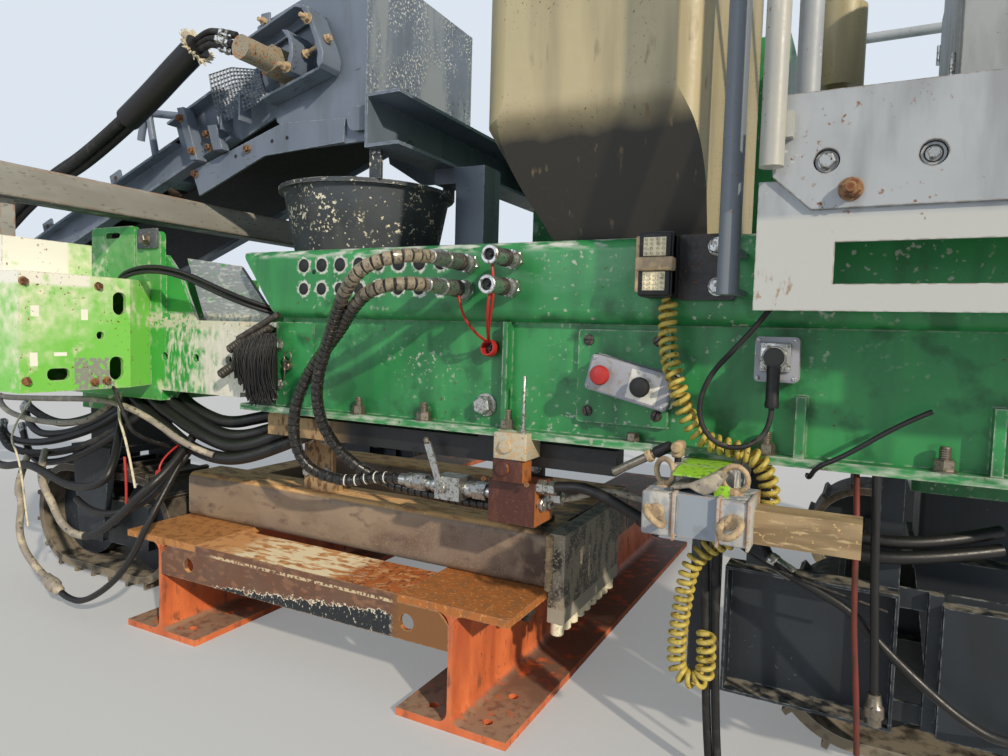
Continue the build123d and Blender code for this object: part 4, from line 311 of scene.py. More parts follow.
def angle_layers(skin):
    """Old beam steel: brown scale, a strip of black paint under flaking cream, orange rust on top, and pale flakes on
    the top that are partly a painted wet sheen.
    """
    top = skin.facing_up(0.5, 0.8)
    rear = top * skin.along(X, -0.53, -0.6, 0.1, 50.0)
    middle = skin.along(X, -0.2, -0.27, 0.06, 40.0) * skin.along(X, -0.62, -0.54, 0.1, 40.0)
    # Pale flakes on the top: partly flaking cream, partly a painted wet sheen.
    flakes_and_sheen = middle * skin.noise(20.0, 0.46, 0.5, stretch=(0.3, 1, 1), offset=5.0)
    lower = skin.along(X, -0.13, -0.2, 0.05) * skin.along(X, -0.815, -0.806, 0.006, 8.0)
    front = lower * skin.along(Y, 1.05, 1.055)
    border = skin.along((0.0915, 0, 1), 0.19, 0.187, 0.022, 16.0)
    paint = skin.along((0.0915, 0, 1), 0.1845, 0.1835, 0.022, 16.0)
    seam = lower * skin.inside((-0.9, 1.0, 0.276), (0.1, 1.1, 0.282), 0.002) * skin.noise(10.0, 0.44, 0.5)
    return [
        (skin.noise(60.0, 0.42, 0.62), "6B4A38", 0.75),
        (skin.noise(14.0, 0.52, 0.64, stretch=(0.5, 1, 1)), "84604A", 0.8),
        (skin.along(X, -0.79, -0.82, 0.03, 20.0), "7C5530", 0.75), (top, "D29A64", 0.7),
        (top * skin.noise(26.0, 0.5, 0.62), "AE7848", 0.75),
        (rear * skin.noise(30.0, 0.36, 0.52, offset=3.0), "B0602A", 0.7),
        (rear * skin.noise(11.0, 0.54, 0.62, offset=7.0), "6E4526", 0.75), (top * flakes_and_sheen, "F2E2BE", 0.6),
        (front * border * skin.noise(5.0, 0.44, 0.5), "E2D8C2", 0.6), (front * paint, "20252A", 0.5),
        (front * paint * skin.noise(5.0, 0.64, 0.67, stretch=(1, 1, 0.4)), "C9C4B4", 0.6), (seam, "C8B592", 0.7),
        (skin.edges(0.005, 0.03, 0.16) * skin.noise(16.0, 0.42, 0.52), "A08466", 0.7),
    ]


def mould_layers(skin):
    """Oiled mill scale, tan rust dust on the top, a painted highlight along the upper edge, and darker towards the
    valve end.
    """
    top = skin.facing_up(0.5, 0.8)
    return [
        (skin.noise(130.0, 0.42, 0.64, stretch=(0.6, 1, 1.4)), "93826E", 0.55),
        (skin.noise(26.0, 0.56, 0.72, stretch=(0.5, 1, 1)), "66544A", 0.6),
        (skin.noise(4.0, 0.56, 0.66), "947E68", 0.6), (top * skin.noise(60.0, 0.22, 0.34), "E6B87C", 0.7),
        (top * skin.noise(30.0, 0.5, 0.6, stretch=(0.4, 1, 1), offset=3.0), "B4865A", 0.7),
        (top * skin.noise(18.0, 0.6, 0.66, offset=8.0), "E8CC98", 0.7),
        # Darker towards the valve end.
        (skin.along(X, -0.9, -1.05, 0.1, 60.0) * skin.noise(40.0, 0.3, 0.55, offset=6.0), "4A3A30", 0.5),
        # Painted highlight: pale pinkish rims along the rounded edges.
        (skin.edges(0.008, 0.02, 0.12) * skin.noise(14.0, 0.36, 0.5), "B59C90", 0.5),
    ]


def end_plate_layers(skin):
    """Dark oiled plate with rubbed patches and a paler wear strip along the foot."""
    return [
        (skin.noise(40.0, 0.44, 0.56, stretch=(1, 1, 0.5)), "8B8372", 0.5),
        (skin.noise(6.0, 0.52, 0.64, offset=4.0), "A59B86", 0.6),
        (skin.inside((-1.2, 0.4, 0.2), (-1.1, 0.9, 0.258), 0.002), "9C9788", 0.6),
        (skin.edges(0.005, 0.03, 0.16) * skin.noise(14.0, 0.36, 0.5), "8E8577", 0.5),
    ]


def hanger_layers(skin):
    """Tan rust and dried slurry ahead, black paint behind."""
    return [
        (skin.along(X, -0.6, -0.5) * skin.noise(40.0, 0.26, 0.4), "A08560", 0.75),
        (skin.along(X, -0.6, -0.5) * skin.noise(16.0, 0.52, 0.6, stretch=(1, 1, 0.4)), "6B4C30", 0.75),
    ]


def rusty_layers(skin):
    """Mill scale with brown and ochre rust and a few bare rubbed streaks."""
    return [
        (skin.noise(34.0, 0.46, 0.6), "6B4023", 0.8), (skin.noise(90.0, 0.52, 0.62, offset=3.0), "8A5D36", 0.8),
        (skin.noise(12.0, 0.58, 0.66, stretch=(0.3, 1, 1), offset=6.0), "2A211C", 0.5),
        (skin.edges(0.006, 0.03, 0.14) * skin.noise(14.0, 0.42, 0.54), "A7835C", 0.6),
    ]


def boom_layers(skin):
    """Bare drawn tube, grey with thin rust at its corners, and painted shade in dark grey on the faces that look down.
    """
    return [
        (skin.noise(120.0, 0.4, 0.62, stretch=(1, 0.3, 1)), "86867F", 0.5),
        (skin.noise(8.0, 0.6, 0.7, stretch=(1, 0.3, 1)), "6E6C64", 0.55),
        (skin.edges(0.012, 0.01, 0.08) * skin.noise(24.0, 0.42, 0.52), "8A5532", 0.75),
        (skin.facing_up(0.6, 0.9) * skin.noise(30.0, 0.44, 0.56), "94633A", 0.8),
        # Painted shade: faces that look down turn dark grey.
        (skin.facing_up(-0.5, -0.8) * skin.noise(40.0, 0.2, 0.5), "3C4046", 0.6),
    ]


def crusted_layers(skin):
    """Tan slurry dried on cast steel."""
    return [(skin.noise(14.0, 0.42, 0.6), "C2AA86", 0.85), (skin.noise(6.0, 0.62, 0.7, offset=4.0), "8E6A46", 0.8)]


def clamp_layers(skin):
    """Blue-grey paint, whitened where the collars are rubbed."""
    rubbed = skin.noise(12.0, 0.5, 0.58, stretch=(1, 1, 0.5))
    bar = skin.along(X, -1.637, -1.64)
    return [
        (rubbed * skin.along(X, -1.582, -1.59), "D2CCBC", 0.7),
        (rubbed * skin.along(X, -1.518, -1.508), "CFC9BB", 0.7),
        (skin.noise(30.0, 0.6, 0.68, offset=5.0), "838A92", 0.5),
        (skin.edges(0.004, 0.03, 0.16) * skin.noise(10.0, 0.4, 0.5), "B98F62", 0.7),
        *[
            (bar * skin.noise(size_mm, low, high, stretch=(thin, 1, 1), offset=3.0), tone, 0.75)
            for size_mm, thin, low, high, tone in (
                (40.0, 1.0, 0.0, 0.01, "A08A68"), (30.0, 0.15, 0.45, 0.6, "806C4E"),
                (10.0, 0.2, 0.56, 0.66, "BCA67E"), (6.0, 1.0, 0.65, 0.7, "C8AC74"),
            )
        ],
    ]


def collar_layers(skin):
    """Off-white paint worn to rust along the collar's edges."""
    return [
        (skin.noise(22.0, 0.5, 0.64, stretch=(1, 1, 0.5)), "8D949A", 0.5),
        (skin.noise(7.0, 0.62, 0.68, offset=2.0), "A77E54", 0.7),
        (skin.edges(0.006, 0.02, 0.12) * skin.noise(9.0, 0.34, 0.48), "A8774A", 0.7),
    ]


def conveyor_layers(skin):
    """Even blue-grey paint with faint runs and light rubbed corners."""
    return [
        (skin.noise(70.0, 0.5, 0.7, stretch=(1, 1, 0.2), offset=4.0), "59646F", 0.5),
        (skin.noise(12.0, 0.6, 0.66, stretch=(0.3, 1, 1)) * skin.noise(160.0, 0.52, 0.6, offset=8.0), "3F4750", 0.6),
        (skin.edges(0.004, 0.03, 0.15) * skin.noise(14.0, 0.45, 0.56), "A3ABB3", 0.5),
    ]


def hood_layers(skin):
    """The conveyor's paint, its rear wall flecked with dried cement."""
    wall = skin.along(X, -0.488, -0.492)
    flecks = skin.noise(8.0, 0.575, 0.6, offset=6.0) * skin.noise(110.0, 0.4, 0.54, offset=2.0)
    return [
        *conveyor_layers(skin), (wall * flecks, "C4C8C6", 0.85),
        (wall * skin.noise(90.0, 0.52, 0.64, stretch=(1, 1, 0.2), offset=9.0), "848E96", 0.7),
    ]


def rail_layers(skin):
    """Painted shade on the inner rail, faint rubbing on the outer one."""
    return [
        # Painted shade: the inner rail turns darker grey.
        (skin.along(X, -1.61, -1.6), "6C747C", 0.45),
        (skin.noise(30.0, 0.54, 0.68, stretch=(1, 1, 0.2)) * skin.along(X, -1.6, -1.61), "C4C1B2", 0.45),
        (skin.noise(9.0, 0.64, 0.7) * skin.noise(80.0, 0.52, 0.6, offset=4.0), "7A5A3E", 0.8),
    ]


def motor_layers(skin):
    """Olive paint under grease, orange rust where it has gone."""
    return [
        (skin.noise(12.0, 0.58, 0.64, offset=2.0), "A4683C", 0.8),
        (skin.noise(6.0, 0.58, 0.66, offset=5.0), "3E3A31", 0.6),
    ]


def dark_paint_layers(skin):
    """Dark paint with a thin bloom of dust and rubbed edges."""
    return [
        (skin.noise(90.0, 0.46, 0.7, stretch=(1, 1, 0.3)), "1C2227", 0.55),
        (skin.facing_up(0.4, 0.9) * skin.noise(30.0, 0.4, 0.6), "857F72", 0.85),
        (skin.noise(8.0, 0.66, 0.7, offset=5.0) * skin.noise(120.0, 0.56, 0.62), "5E625F", 0.8),
        (skin.edges(0.004, 0.03, 0.15) * skin.noise(14.0, 0.45, 0.56), "7C8388", 0.5),
    ]


def guard_layers(skin):
    """Black guard coil, bleached to tan where it leaves the couplers."""
    return [
        (skin.along(Z, 1.0, 1.06, 0.05, 20.0) * skin.noise(10.0, 0.3, 0.46), "8F8570", 0.6),
        (skin.noise(7.0, 0.56, 0.68, offset=3.0), "4A4843", 0.6),
    ]


def grey_paint_layers(skin):
    """Dried concrete splashes, dust on ledges and rubbed edges."""
    dust = skin.facing_up(0.3, 0.8) * skin.noise(50.0, 0.4, 0.62)
    return [
        (dust, "8C8B84", 0.8), (skin.noise(45.0, 0.5, 0.66, stretch=(1, 1, 0.18), offset=4.0), "3E454A", 0.55),
        (skin.noise(7.0, 0.62, 0.66, offset=5.0) * skin.noise(150.0, 0.48, 0.58, offset=2.0), "C2BEB0", 0.85),
        (skin.edges(0.004, 0.03, 0.15) * skin.noise(14.0, 0.45, 0.56), "A3A5A3", 0.5),
    ]


def splashed_layers(skin):
    """Thick pale blobs of dried concrete over dark paint."""
    blobs = skin.noise(11.0, 0.575, 0.6, detail=2.0, offset=4.0) * skin.noise(80.0, 0.53, 0.58, offset=8.0)
    return [
        (skin.noise(60.0, 0.48, 0.66, stretch=(1, 1, 0.25)), "464A49", 0.7), (blobs, "DAD5BE", 0.9),
        (skin.noise(11.0, 0.69, 0.7, detail=2.0, offset=14.0), "CFCAB4", 0.9),
        (skin.edges(0.004, 0.03, 0.15) * skin.noise(14.0, 0.45, 0.56), "8F9190", 0.5),
    ]


def scuffed_layers(skin):
    """Light paint with long scratches, rust bleeding from its edges and dust."""
    low = skin.along(Z, 1.135, 1.125) * skin.along(X, -1.6, -1.62)
    stain = skin.inside(
        (-1.68, 1.19, 0.98), (-1.64, 1.21, 1.03), 0.02,
    ) * skin.noise(10.0, 0.56, 0.66, stretch=(1, 1, 0.4))
    return [
        (skin.noise(60.0, 0.5, 0.68, stretch=(1, 1, 0.2)), "8A8F93", 0.55),
        (skin.noise(7.0, 0.64, 0.68, stretch=(0.3, 1, 1), offset=7.0) * skin.noise(180.0, 0.54, 0.62), "C9CBC8", 0.5),
        (low, "B4B7B3", 0.5), (stain, "8A6A4C", 0.8),
        (skin.noise(10.0, 0.63, 0.68, offset=3.0) * skin.noise(110.0, 0.54, 0.62), "7A5334", 0.85),
        (skin.edges(0.004, 0.03, 0.15) * skin.noise(16.0, 0.42, 0.55), "6E5B48", 0.7),
    ]


def tank_layers(skin):
    """Dusty khaki enamel with rain runs, a few chips, and painted shade with grime on the faces that look down below
    the knee.
    """
    # Painted shade, with some grime: faces that look down below the knee turn near black.
    under = skin.along(Z, 1.445, 1.355, 0.02, 90.0) * skin.facing_up(0.0, -0.2)
    return [
        (skin.noise(90.0, 0.44, 0.7, stretch=(1, 1, 0.14)), "8C8465", 0.5), (under, "26241E", 0.5),
        (skin.noise(26.0, 0.66, 0.74, stretch=(1, 1, 0.2), offset=6.0) * skin.below(1.4, 1.6), "6A5C44", 0.6),
        (skin.noise(6.0, 0.64, 0.68) * skin.noise(160.0, 0.5, 0.6), "3B3A30", 0.7),
    ]


def track_layers(skin):
    """Dried mud packed low on the shoes over bare worn steel."""
    return [
        (skin.noise(20.0, 0.42, 0.6), "5E574C", 0.85),
        (skin.below(0.1, 0.34) * skin.noise(40.0, 0.36, 0.54, offset=3.0), "8C8371", 0.95),
        (skin.edges(0.004, 0.03, 0.15), "A39F97", 0.45),
    ]


def rubber_layers(skin):
    """Grey dust in blotches on black rubber."""
    return [
        (skin.noise(24.0, 0.5, 0.72), "3A3A3A", 0.85),
        (skin.facing_up(0.4, 0.9) * skin.noise(12.0, 0.5, 0.7), "6B675F", 0.9),
    ]


def dirty_metal_layers(skin):
    """Brown film and specks in the hollows of plated steel."""
    return [(skin.noise(9.0, 0.52, 0.68), "6E6557", 0.6), (skin.noise(4.0, 0.62, 0.68, offset=2.0), "3B332B", 0.7)]


def old_black_layers(skin):
    """Rust and grey dust on old black paint."""
    return [
        (skin.noise(30.0, 0.5, 0.68, stretch=(1, 1, 0.3)), "3C3A38", 0.6),
        (skin.noise(8.0, 0.6, 0.66) * skin.noise(90.0, 0.48, 0.58), "6B4A32", 0.85),
    ]


def make_finishes():
    """All finishes by name, each from what the real surface is."""
    # Alkyd enamel on structural steel, sprayed: glossy where clean, chalky where scraped
    finish("green_enamel", "277F45", 0.38, frame_green_layers, bump_mm=0.25, grain_mm=14.0, shade="34904F", coat=0.15)
    finish(
        "green_enamel_bracket", "2F9A42", 0.4, bracket_layers, bump_mm=0.3, grain_mm=16.0, shade="3FA34A", coat=0.15,
    )
    # Red lead primer, brushed, on hot rolled beams
    finish("orange_primer", "E07C4A", 0.46, orange_layers, bump_mm=0.35, grain_mm=9.0, shade="C96A3E")
    # Hot rolled steel left to rust in the wet
    finish("angle_steel", "5C4234", 0.6, angle_layers, bump_mm=0.5, grain_mm=5.0, shade="6E5240")
    finish("mould_steel", "86776A", 0.5, mould_layers, bump_mm=0.3, grain_mm=5.0, shade="6E5D4D")
    finish("end_plate_steel", "2C2A27", 0.45, end_plate_layers, bump_mm=0.3, grain_mm=4.0, shade="3A3733")
    finish("boom_steel", "A6A6A0", 0.5, boom_layers, bump_mm=0.3, grain_mm=6.0, shade="94958F")
    finish("slurried_casting", "A08E74", 0.6, crusted_layers, metallic=0.2, bump_mm=0.5, grain_mm=3.0)
    finish("rusted_plate", "4A2F20", 0.62, rusty_layers, bump_mm=0.6, grain_mm=6.0, shade="5B3A25")
    # Two-part paint on folded sheet, matt from cement dust
    finish("grey_paint", "5B6268", 0.52, grey_paint_layers, bump_mm=0.25, grain_mm=10.0, shade="535A60")
    finish("conveyor_paint", "6C7888", 0.45, conveyor_layers, bump_mm=0.2, grain_mm=14.0, shade="647080")
    finish("hood_paint", "6C7888", 0.45, hood_layers, bump_mm=0.2, grain_mm=14.0, shade="647080")
    finish("clamp_paint", "8E99A3", 0.5, clamp_layers, bump_mm=0.2, grain_mm=6.0, shade="858F9A")
    finish("collar_paint", "B9B9B2", 0.5, collar_layers, bump_mm=0.3, grain_mm=4.0, shade="A6A9A9")
    finish("dark_grey_paint", "262D34", 0.5, dark_paint_layers, bump_mm=0.2, grain_mm=10.0, shade="20262D")
    finish("motor_paint", "948C78", 0.5, motor_layers, bump_mm=0.3, grain_mm=4.0)
    finish("rail_paint", "A9A9A0", 0.42, rail_layers, bump_mm=0.2, grain_mm=8.0, shade="9FA09A")
    finish("splashed_grey_paint", "3F474E", 0.6, splashed_layers, bump_mm=0.8, grain_mm=8.0, shade="2C3032")
    finish("light_grey_paint", "A5ABAF", 0.45, scuffed_layers, bump_mm=0.2, grain_mm=12.0, shade="9BA1A5")
    # Rotomoulded polyethylene tank under satin paint
    finish("khaki_paint", "AFA27C", 0.42, tank_layers, bump_mm=0.4, grain_mm=30.0, shade="AAA07A", coat=0.1)
    # Cast manganese steel, polished by the ground on its edges
    finish("track_steel", "463F38", 0.55, track_layers, metallic=0.4, bump_mm=0.8, grain_mm=8.0)
    finish("black_rubber", "161616", 0.62, rubber_layers, bump_mm=0.2, grain_mm=4.0)
    # Zinc plate on turned steel, dull from handling
    finish("zinc_plate", "B9BBB8", 0.34, dirty_metal_layers, metallic=0.9, bump_mm=0.08, grain_mm=2.0)
    finish("bare_spring_steel", "8E877B", 0.38, dirty_metal_layers, metallic=0.85, bump_mm=0.1, grain_mm=2.0)
    # Tempered steel strip with worn black polymer over it
    finish("guard_coil", "1B1B1B", 0.28, guard_layers, bump_mm=0.1, grain_mm=2.0, coat=0.3)
    finish("black_paint", "1C1D1F", 0.45, old_black_layers, bump_mm=0.2, grain_mm=7.0)
    finish("hanger_paint", "1C1D1F", 0.5, hanger_layers, bump_mm=0.4, grain_mm=7.0)
    finish("dull_fitting", "4A4643", 0.42, dirty_metal_layers, metallic=0.6)
    finish("rope_fibre", "CFC6AE", 0.85, dirty_metal_layers_light)
    finish("cream_nylon", "E6DEC0", 0.45, dirty_metal_layers_light)
    finish("beige_jacket", "8C857A", 0.6, jacket_dust_layers)
    finish("worn_rubber", "1B1B1C", 0.42, bump_mm=0.15, grain_mm=6.0)
    # Moulded polyamide, fine sparked texture
    finish("black_plastic", "17181A", 0.5, bump_mm=0.05, grain_mm=1.5)
    finish("red_plastic", "A82A26", 0.4, bump_mm=0.03, grain_mm=2.0)
    finish("white_plastic", "D5D4CE", 0.5, dirty_metal_layers_light)
    finish("yellow_jacket", "B8A650", 0.5, jacket_layers, bump_mm=0.1, grain_mm=3.0)
    # Iron oxide paint on a machined valve block
    finish("red_brown_paint", "4A2418", 0.5, rust_film_and_sunlit_layers, bump_mm=0.15, grain_mm=4.0)
    finish("red_rust", "6A2A20", 0.6, jacket_dark_layers)
    finish("cast_zinc", "B9B5A2", 0.5, crusted_layers, metallic=0.2, bump_mm=0.2, grain_mm=2.5)
    finish("grey_plastic", "9A9DA6", 0.5, dirty_metal_layers_light)
    finish("lime_paint", "8FC62E", 0.45, scuffed_lime_layers)
    finish("engine_iron", "3A3D3A", 0.6, dirty_metal_layers, bump_mm=0.5, grain_mm=8.0)


def dirty_metal_layers_light(skin):
    """Faint grime on light plastic."""
    return [(skin.noise(16.0, 0.54, 0.72), "8F8B80", 0.6)]


def jacket_layers(skin):
    """Grime rubbed into a polyurethane jacket."""
    return [(skin.noise(18.0, 0.48, 0.68), "8C7728", 0.6), (skin.noise(6.0, 0.62, 0.7, offset=3.0), "4C4022", 0.7)]


def jacket_dust_layers(skin):
    """Dried mud and black rub marks on a grey cable."""
    return [(skin.noise(30.0, 0.5, 0.62), "B0A792", 0.8), (skin.noise(12.0, 0.6, 0.68, offset=3.0), "3B3935", 0.6)]


def jacket_dark_layers(skin):
    """Brown rust and grime along a red rod."""
    return [(skin.noise(20.0, 0.46, 0.64, stretch=(1, 1, 0.3)), "4A2A20", 0.7)]


def rust_film_and_sunlit_layers(skin):
    """Grey wear and rust film on dark red paint, and painted sunlight in orange blotches on the faces that look to the
    rear.
    """
    return [
        (skin.noise(14.0, 0.54, 0.7, stretch=(1, 1, 0.3)), "5C3426", 0.6),
        (skin.noise(3.0, 0.66, 0.72, offset=4.0), "8C7B68", 0.5),
        # Painted sunlight: orange blotches on the faces that look to the rear.
        (skin.facing_rear() * skin.noise(20.0, 0.3, 0.46), "A0602C", 0.6),
    ]


def scuffed_lime_layers(skin):
    """Dirt on bright lime paint."""
    return [(skin.noise(12.0, 0.52, 0.66), "5E7A34", 0.6), (skin.noise(5.0, 0.62, 0.68), "B7BBAA", 0.6)]


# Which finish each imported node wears, matched against the start of its name
NODE_FINISHES = (
    ("side_beam", "green_enamel"), ("cross_beams", "green_enamel"), ("rear_brackets", "green_enamel"),
    ("front_brackets", "green_enamel_bracket"), ("stand_beams", "orange_primer"), ("stand_angle", "angle_steel"),
    ("mould_frame", "mould_steel"), ("mould_end_plate", "end_plate_steel"), ("mould_hangers", "hanger_paint"),
    ("leg_tube", "dark_grey_paint"), ("track_frame", "dark_grey_paint"), ("track_loop", "track_steel"),
    ("conveyor_frame", "conveyor_paint"), ("conveyor_belt", "black_rubber"), ("conveyor_drums", "track_steel"),
    ("conveyor_motor", "motor_paint"), ("conveyor_shield", "conveyor_paint"), ("feed_hopper", "grey_paint"),
    ("discharge_hood", "hood_paint"), ("hopper_channel", "conveyor_paint"), ("drop_funnel", "splashed_grey_paint"),
    ("water_tank", "khaki_paint"), ("platform_deck", "light_grey_paint"), ("side_plates", "light_grey_paint"),
    ("guard_rails", "light_grey_paint"), (
        "control_console", "light_grey_paint",
    ), ("access_ladder", "light_grey_paint"),
    ("engine_block", "engine_iron"), ("engine_bay", "green_enamel"), ("engine_door", "green_enamel"),
    ("exhaust_stack", "zinc_plate"), ("air_cleaner", "khaki_paint"), ("sensor_boom", "boom_steel"),
    ("grab_rails", "rail_paint"), ("lift_barrel", "black_paint"), ("lift_rod", "zinc_plate"),
    ("lift_foot", "grey_paint"), ("cover_plate", "green_enamel"), ("socket_box", "grey_plastic"),
    ("connector_box", "black_paint"), ("control_box", "grey_plastic"), ("hose_couplers", "zinc_plate"),
    ("valve_manifold", "red_brown_paint"), ("shutoff_valve", "zinc_plate"), ("clamp_block", "clamp_paint"),
    ("leg_guard", "dark_grey_paint"), ("socket_plug", "black_plastic"),
)


# Mesh helpers
def drop_selection():
    """Leaves nothing selected."""
    bpy.ops.object.select_all(action="DESELECT")


def take(obj):
    """Makes one object the selected and active one."""
    drop_selection()
    obj.select_set(True)
    bpy.context.view_layer.objects.active = obj
    return obj


def close_mesh(obj, smooth=35.0):
    """Faces outward, shading smooth below an angle."""
    take(obj)
    bpy.ops.object.mode_set(mode="EDIT")
    bpy.ops.mesh.select_all(action="SELECT")
    bpy.ops.mesh.normals_make_consistent(inside=False)
    bpy.ops.object.mode_set(mode="OBJECT")
    bpy.ops.object.shade_smooth_by_angle(angle=math.radians(smooth))
    return obj


def turned(stages, sides=32, smooth=35.0):
    """A turned shape along Z from stages (height, radius), extruded ring by ring."""
    drop_selection()
    height, radius = stages[0]
    bpy.ops.mesh.primitive_circle_add(vertices=sides, radius=radius, fill_type="NGON", location=(0, 0, height))
    obj = bpy.context.object
    bpy.ops.object.transform_apply(location=True, rotation=True, scale=True)
    bpy.ops.object.mode_set(mode="EDIT")
    bpy.ops.mesh.select_all(action="SELECT")
    for next_height, next_radius in stages[1:]:
        rise = {"value": (0, 0, next_height - height)}
        bpy.ops.mesh.extrude_region_move(TRANSFORM_OT_translate=rise)
        ratio = next_radius / radius
        bpy.ops.transform.resize(value=(ratio, ratio, 1), center_override=(0, 0, 0))
        height, radius = next_height, next_radius
    bpy.ops.object.mode_set(mode="OBJECT")
    return close_mesh(obj, smooth)


def rounded_box(low, high, radius=0.002, segments=2):
    """A box with rounded edges between two corners."""
    drop_selection()
    centre = [(a + b) / 2 for a, b in zip(low, high)]
    size = [abs(b - a) for a, b in zip(low, high)]
    bpy.ops.mesh.primitive_cube_add(size=1, location=centre, scale=size)
    obj = bpy.context.object
    bpy.ops.object.transform_apply(location=True, rotation=True, scale=True)
    bevel = obj.modifiers.new("edge", "BEVEL")
    bevel.width = min(radius, 0.45 * min(size))
    bevel.segments = segments
    bpy.ops.object.modifier_apply(modifier=bevel.name)
    bpy.ops.object.shade_smooth_by_angle(angle=math.radians(40))
    return obj


def plate(outline, thick, axis="Y", at=0.0, bevel=0.001):
    """A flat plate from an outline in the plane across axis, its outer face at a place."""
    drop_selection()
    bpy.ops.mesh.primitive_circle_add(vertices=len(outline), radius=1, fill_type="NGON", location=(0, 0, 0))
    obj = bpy.context.object
    for vertex, (a, b) in zip(obj.data.vertices, outline):
        vertex.co = {"X": (at, a, b), "Y": (a, at, b), "Z": (a, b, at)}[axis]
    back = {"X": (-thick, 0, 0), "Y": (0, -thick, 0), "Z": (0, 0, -thick)}[axis]
    bpy.ops.object.mode_set(mode="EDIT")
    bpy.ops.mesh.select_all(action="SELECT")
    bpy.ops.mesh.extrude_region_move(TRANSFORM_OT_translate={"value": back})
    bpy.ops.object.mode_set(mode="OBJECT")
    close_mesh(obj)
    if bevel:
        edge = obj.modifiers.new("edge", "BEVEL")
        edge.width = bevel
        edge.segments = 2
        bpy.ops.object.modifier_apply(modifier=edge.name)
    return obj


def ring(radius, wire, sides=40, around=12):
    """A torus round Z."""
    drop_selection()
    bpy.ops.mesh.primitive_torus_add(
        major_radius=radius, minor_radius=wire, major_segments=sides, minor_segments=around,
    )
    obj = bpy.context.object
    bpy.ops.object.shade_smooth()
    return obj


def towards(place, direction=(0, 1, 0), turn=0.0, scale=1.0):
    """A placing that turns Z towards a direction."""
    aim = Vector(direction).to_track_quat("Z", "Y").to_matrix().to_4x4()
    return Matrix.Translation(place) @ aim @ Matrix.Rotation(math.radians(turn), 4, "Z") @ Matrix.Scale(scale, 4)


def join(objects):
    """Several objects as one."""
    drop_selection()
    for obj in objects:
        obj.select_set(True)
    bpy.context.view_layer.objects.active = objects[0]
    if len(objects) > 1:
        bpy.ops.object.join()
    return objects[0]


def spread(pattern, placings):
    """One mesh made of copies of a pattern at each placing; the pattern is used up."""
    copies = []
    for placing in placings:
        copy = pattern.copy()
        copy.data = pattern.data.copy()
        copy.data.transform(placing)
        bpy.context.collection.objects.link(copy)
        copies.append(copy)
    bpy.data.objects.remove(pattern)
    return join(copies)


def put(pattern, placings, *about):
    """A piece made of copies of a pattern."""
    return piece(spread(pattern, placings), *about)


def piece(obj, name, finish_name, slot, body="chassis"):
    """Names a finished piece, gives it its finish, and makes it ride on a body."""
    obj.name = name
    obj.data.name = name
    obj.data.materials.clear()
    obj.data.materials.append(MATERIALS[finish_name])
    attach(obj, body)
    return obj


def new_curve(name):
    """An empty curve in space."""
    curve = bpy.data.curves.new(name, "CURVE")
    curve.dimensions = "3D"
    return curve


def shown(curve):
    """An object in the scene that shows a curve."""
    obj = bpy.data.objects.new(curve.name, curve)
    bpy.context.collection.objects.link(obj)
    return obj


def smooth_line(curve, points, steps):
    """Adds a smooth line whose control points are these."""
    spline = curve.splines.new("NURBS")
    spline.points.add(len(points) - 1)
    for control, point in zip(spline.points, points):
        control.co = (*point, 1.0)
    spline.order_u = 3
    spline.use_endpoint_u = True
    spline.resolution_u = steps


def hose(name, points, radius, finish_name="black_rubber", slot="rubber", body="chassis", steps=10, around=3):
    """A round hose on a smooth line."""
    curve = new_curve(name)
    smooth_line(curve, points, steps)
    curve.bevel_depth = radius
    curve.bevel_resolution = around
    curve.use_fill_caps = True
    return piece(shown(curve), name, finish_name, slot, body)


def line_of(points, steps=16):
    """Points along the smooth line that a hose with these control points follows."""
    curve = new_curve("probe")
    smooth_line(curve, points, steps)
    probe = shown(curve)
    mesh = bpy.data.meshes.new_from_object(probe)
    path = [vertex.co.copy() for vertex in mesh.vertices]
    bpy.data.objects.remove(probe)
    bpy.data.meshes.remove(mesh)
    return path


def length_of(path):
    """Length of a line of points."""
    return sum((b - a).length for a, b in zip(path, path[1:]))


def free_hose(
    name, points, radius, finish_name="black_rubber", far_end="object", stiffness="medium", exit_at=0, **rest
):
    line = hose(name, points, radius, finish_name, **rest)
    length = round(length_of(line_of(points)), 4)
    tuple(points[exit_at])


def even_steps(path, step):
    """Places and directions at even distances along a line of points."""
    places = []
    reach = 0.0
    for start, end in zip(path, path[1:]):
        length = (end - start).length
        while length and reach <= length:
            places.append((start.lerp(end, reach / length), (end - start).normalized()))
            reach += step
        reach -= length
    return places


# Sizes and colours that a user would change
class PaverHardware(bpy.types.PropertyGroup):
    """Sizes of the fasteners and plugs."""

    plug_radius: bpy.props.FloatProperty(
        name="Plug radius", description="Radius of the hole plugs in the beam", default=0.0172, unit="LENGTH",
    )
    bolt_flats: bpy.props.FloatProperty(
        name="Bolt flats", description="Width across flats of the frame bolts", default=0.03, unit="LENGTH",
    )
    screw_radius: bpy.props.FloatProperty(
        name="Screw radius", description="Head radius of the slotted screws", default=0.012, unit="LENGTH",
    )


class PaverHoses(bpy.types.PropertyGroup):
    """Sizes of the hoses and cables."""

    guard_radius: bpy.props.FloatProperty(
        name="Guard radius", description="Outer radius of the spiral hose guard", default=0.0146, unit="LENGTH",
    )
    guard_pitch: bpy.props.FloatProperty(
        name="Guard pitch", description="Distance between turns of the hose guard", default=0.02, unit="LENGTH",
    )
    curl_radius: bpy.props.FloatProperty(
        name="Curl radius", description="Radius of the curled cable's helix at the wire's middle", default=0.0148,
        unit="LENGTH",
    )
    curl_pitch: bpy.props.FloatProperty(
        name="Curl pitch", description="Distance between turns of the curled cable", default=0.0172, unit="LENGTH",
    )
    wire_radius: bpy.props.FloatProperty(
        name="Wire radius", description="Radius of the curled cable's wire", default=0.0051, unit="LENGTH",
    )


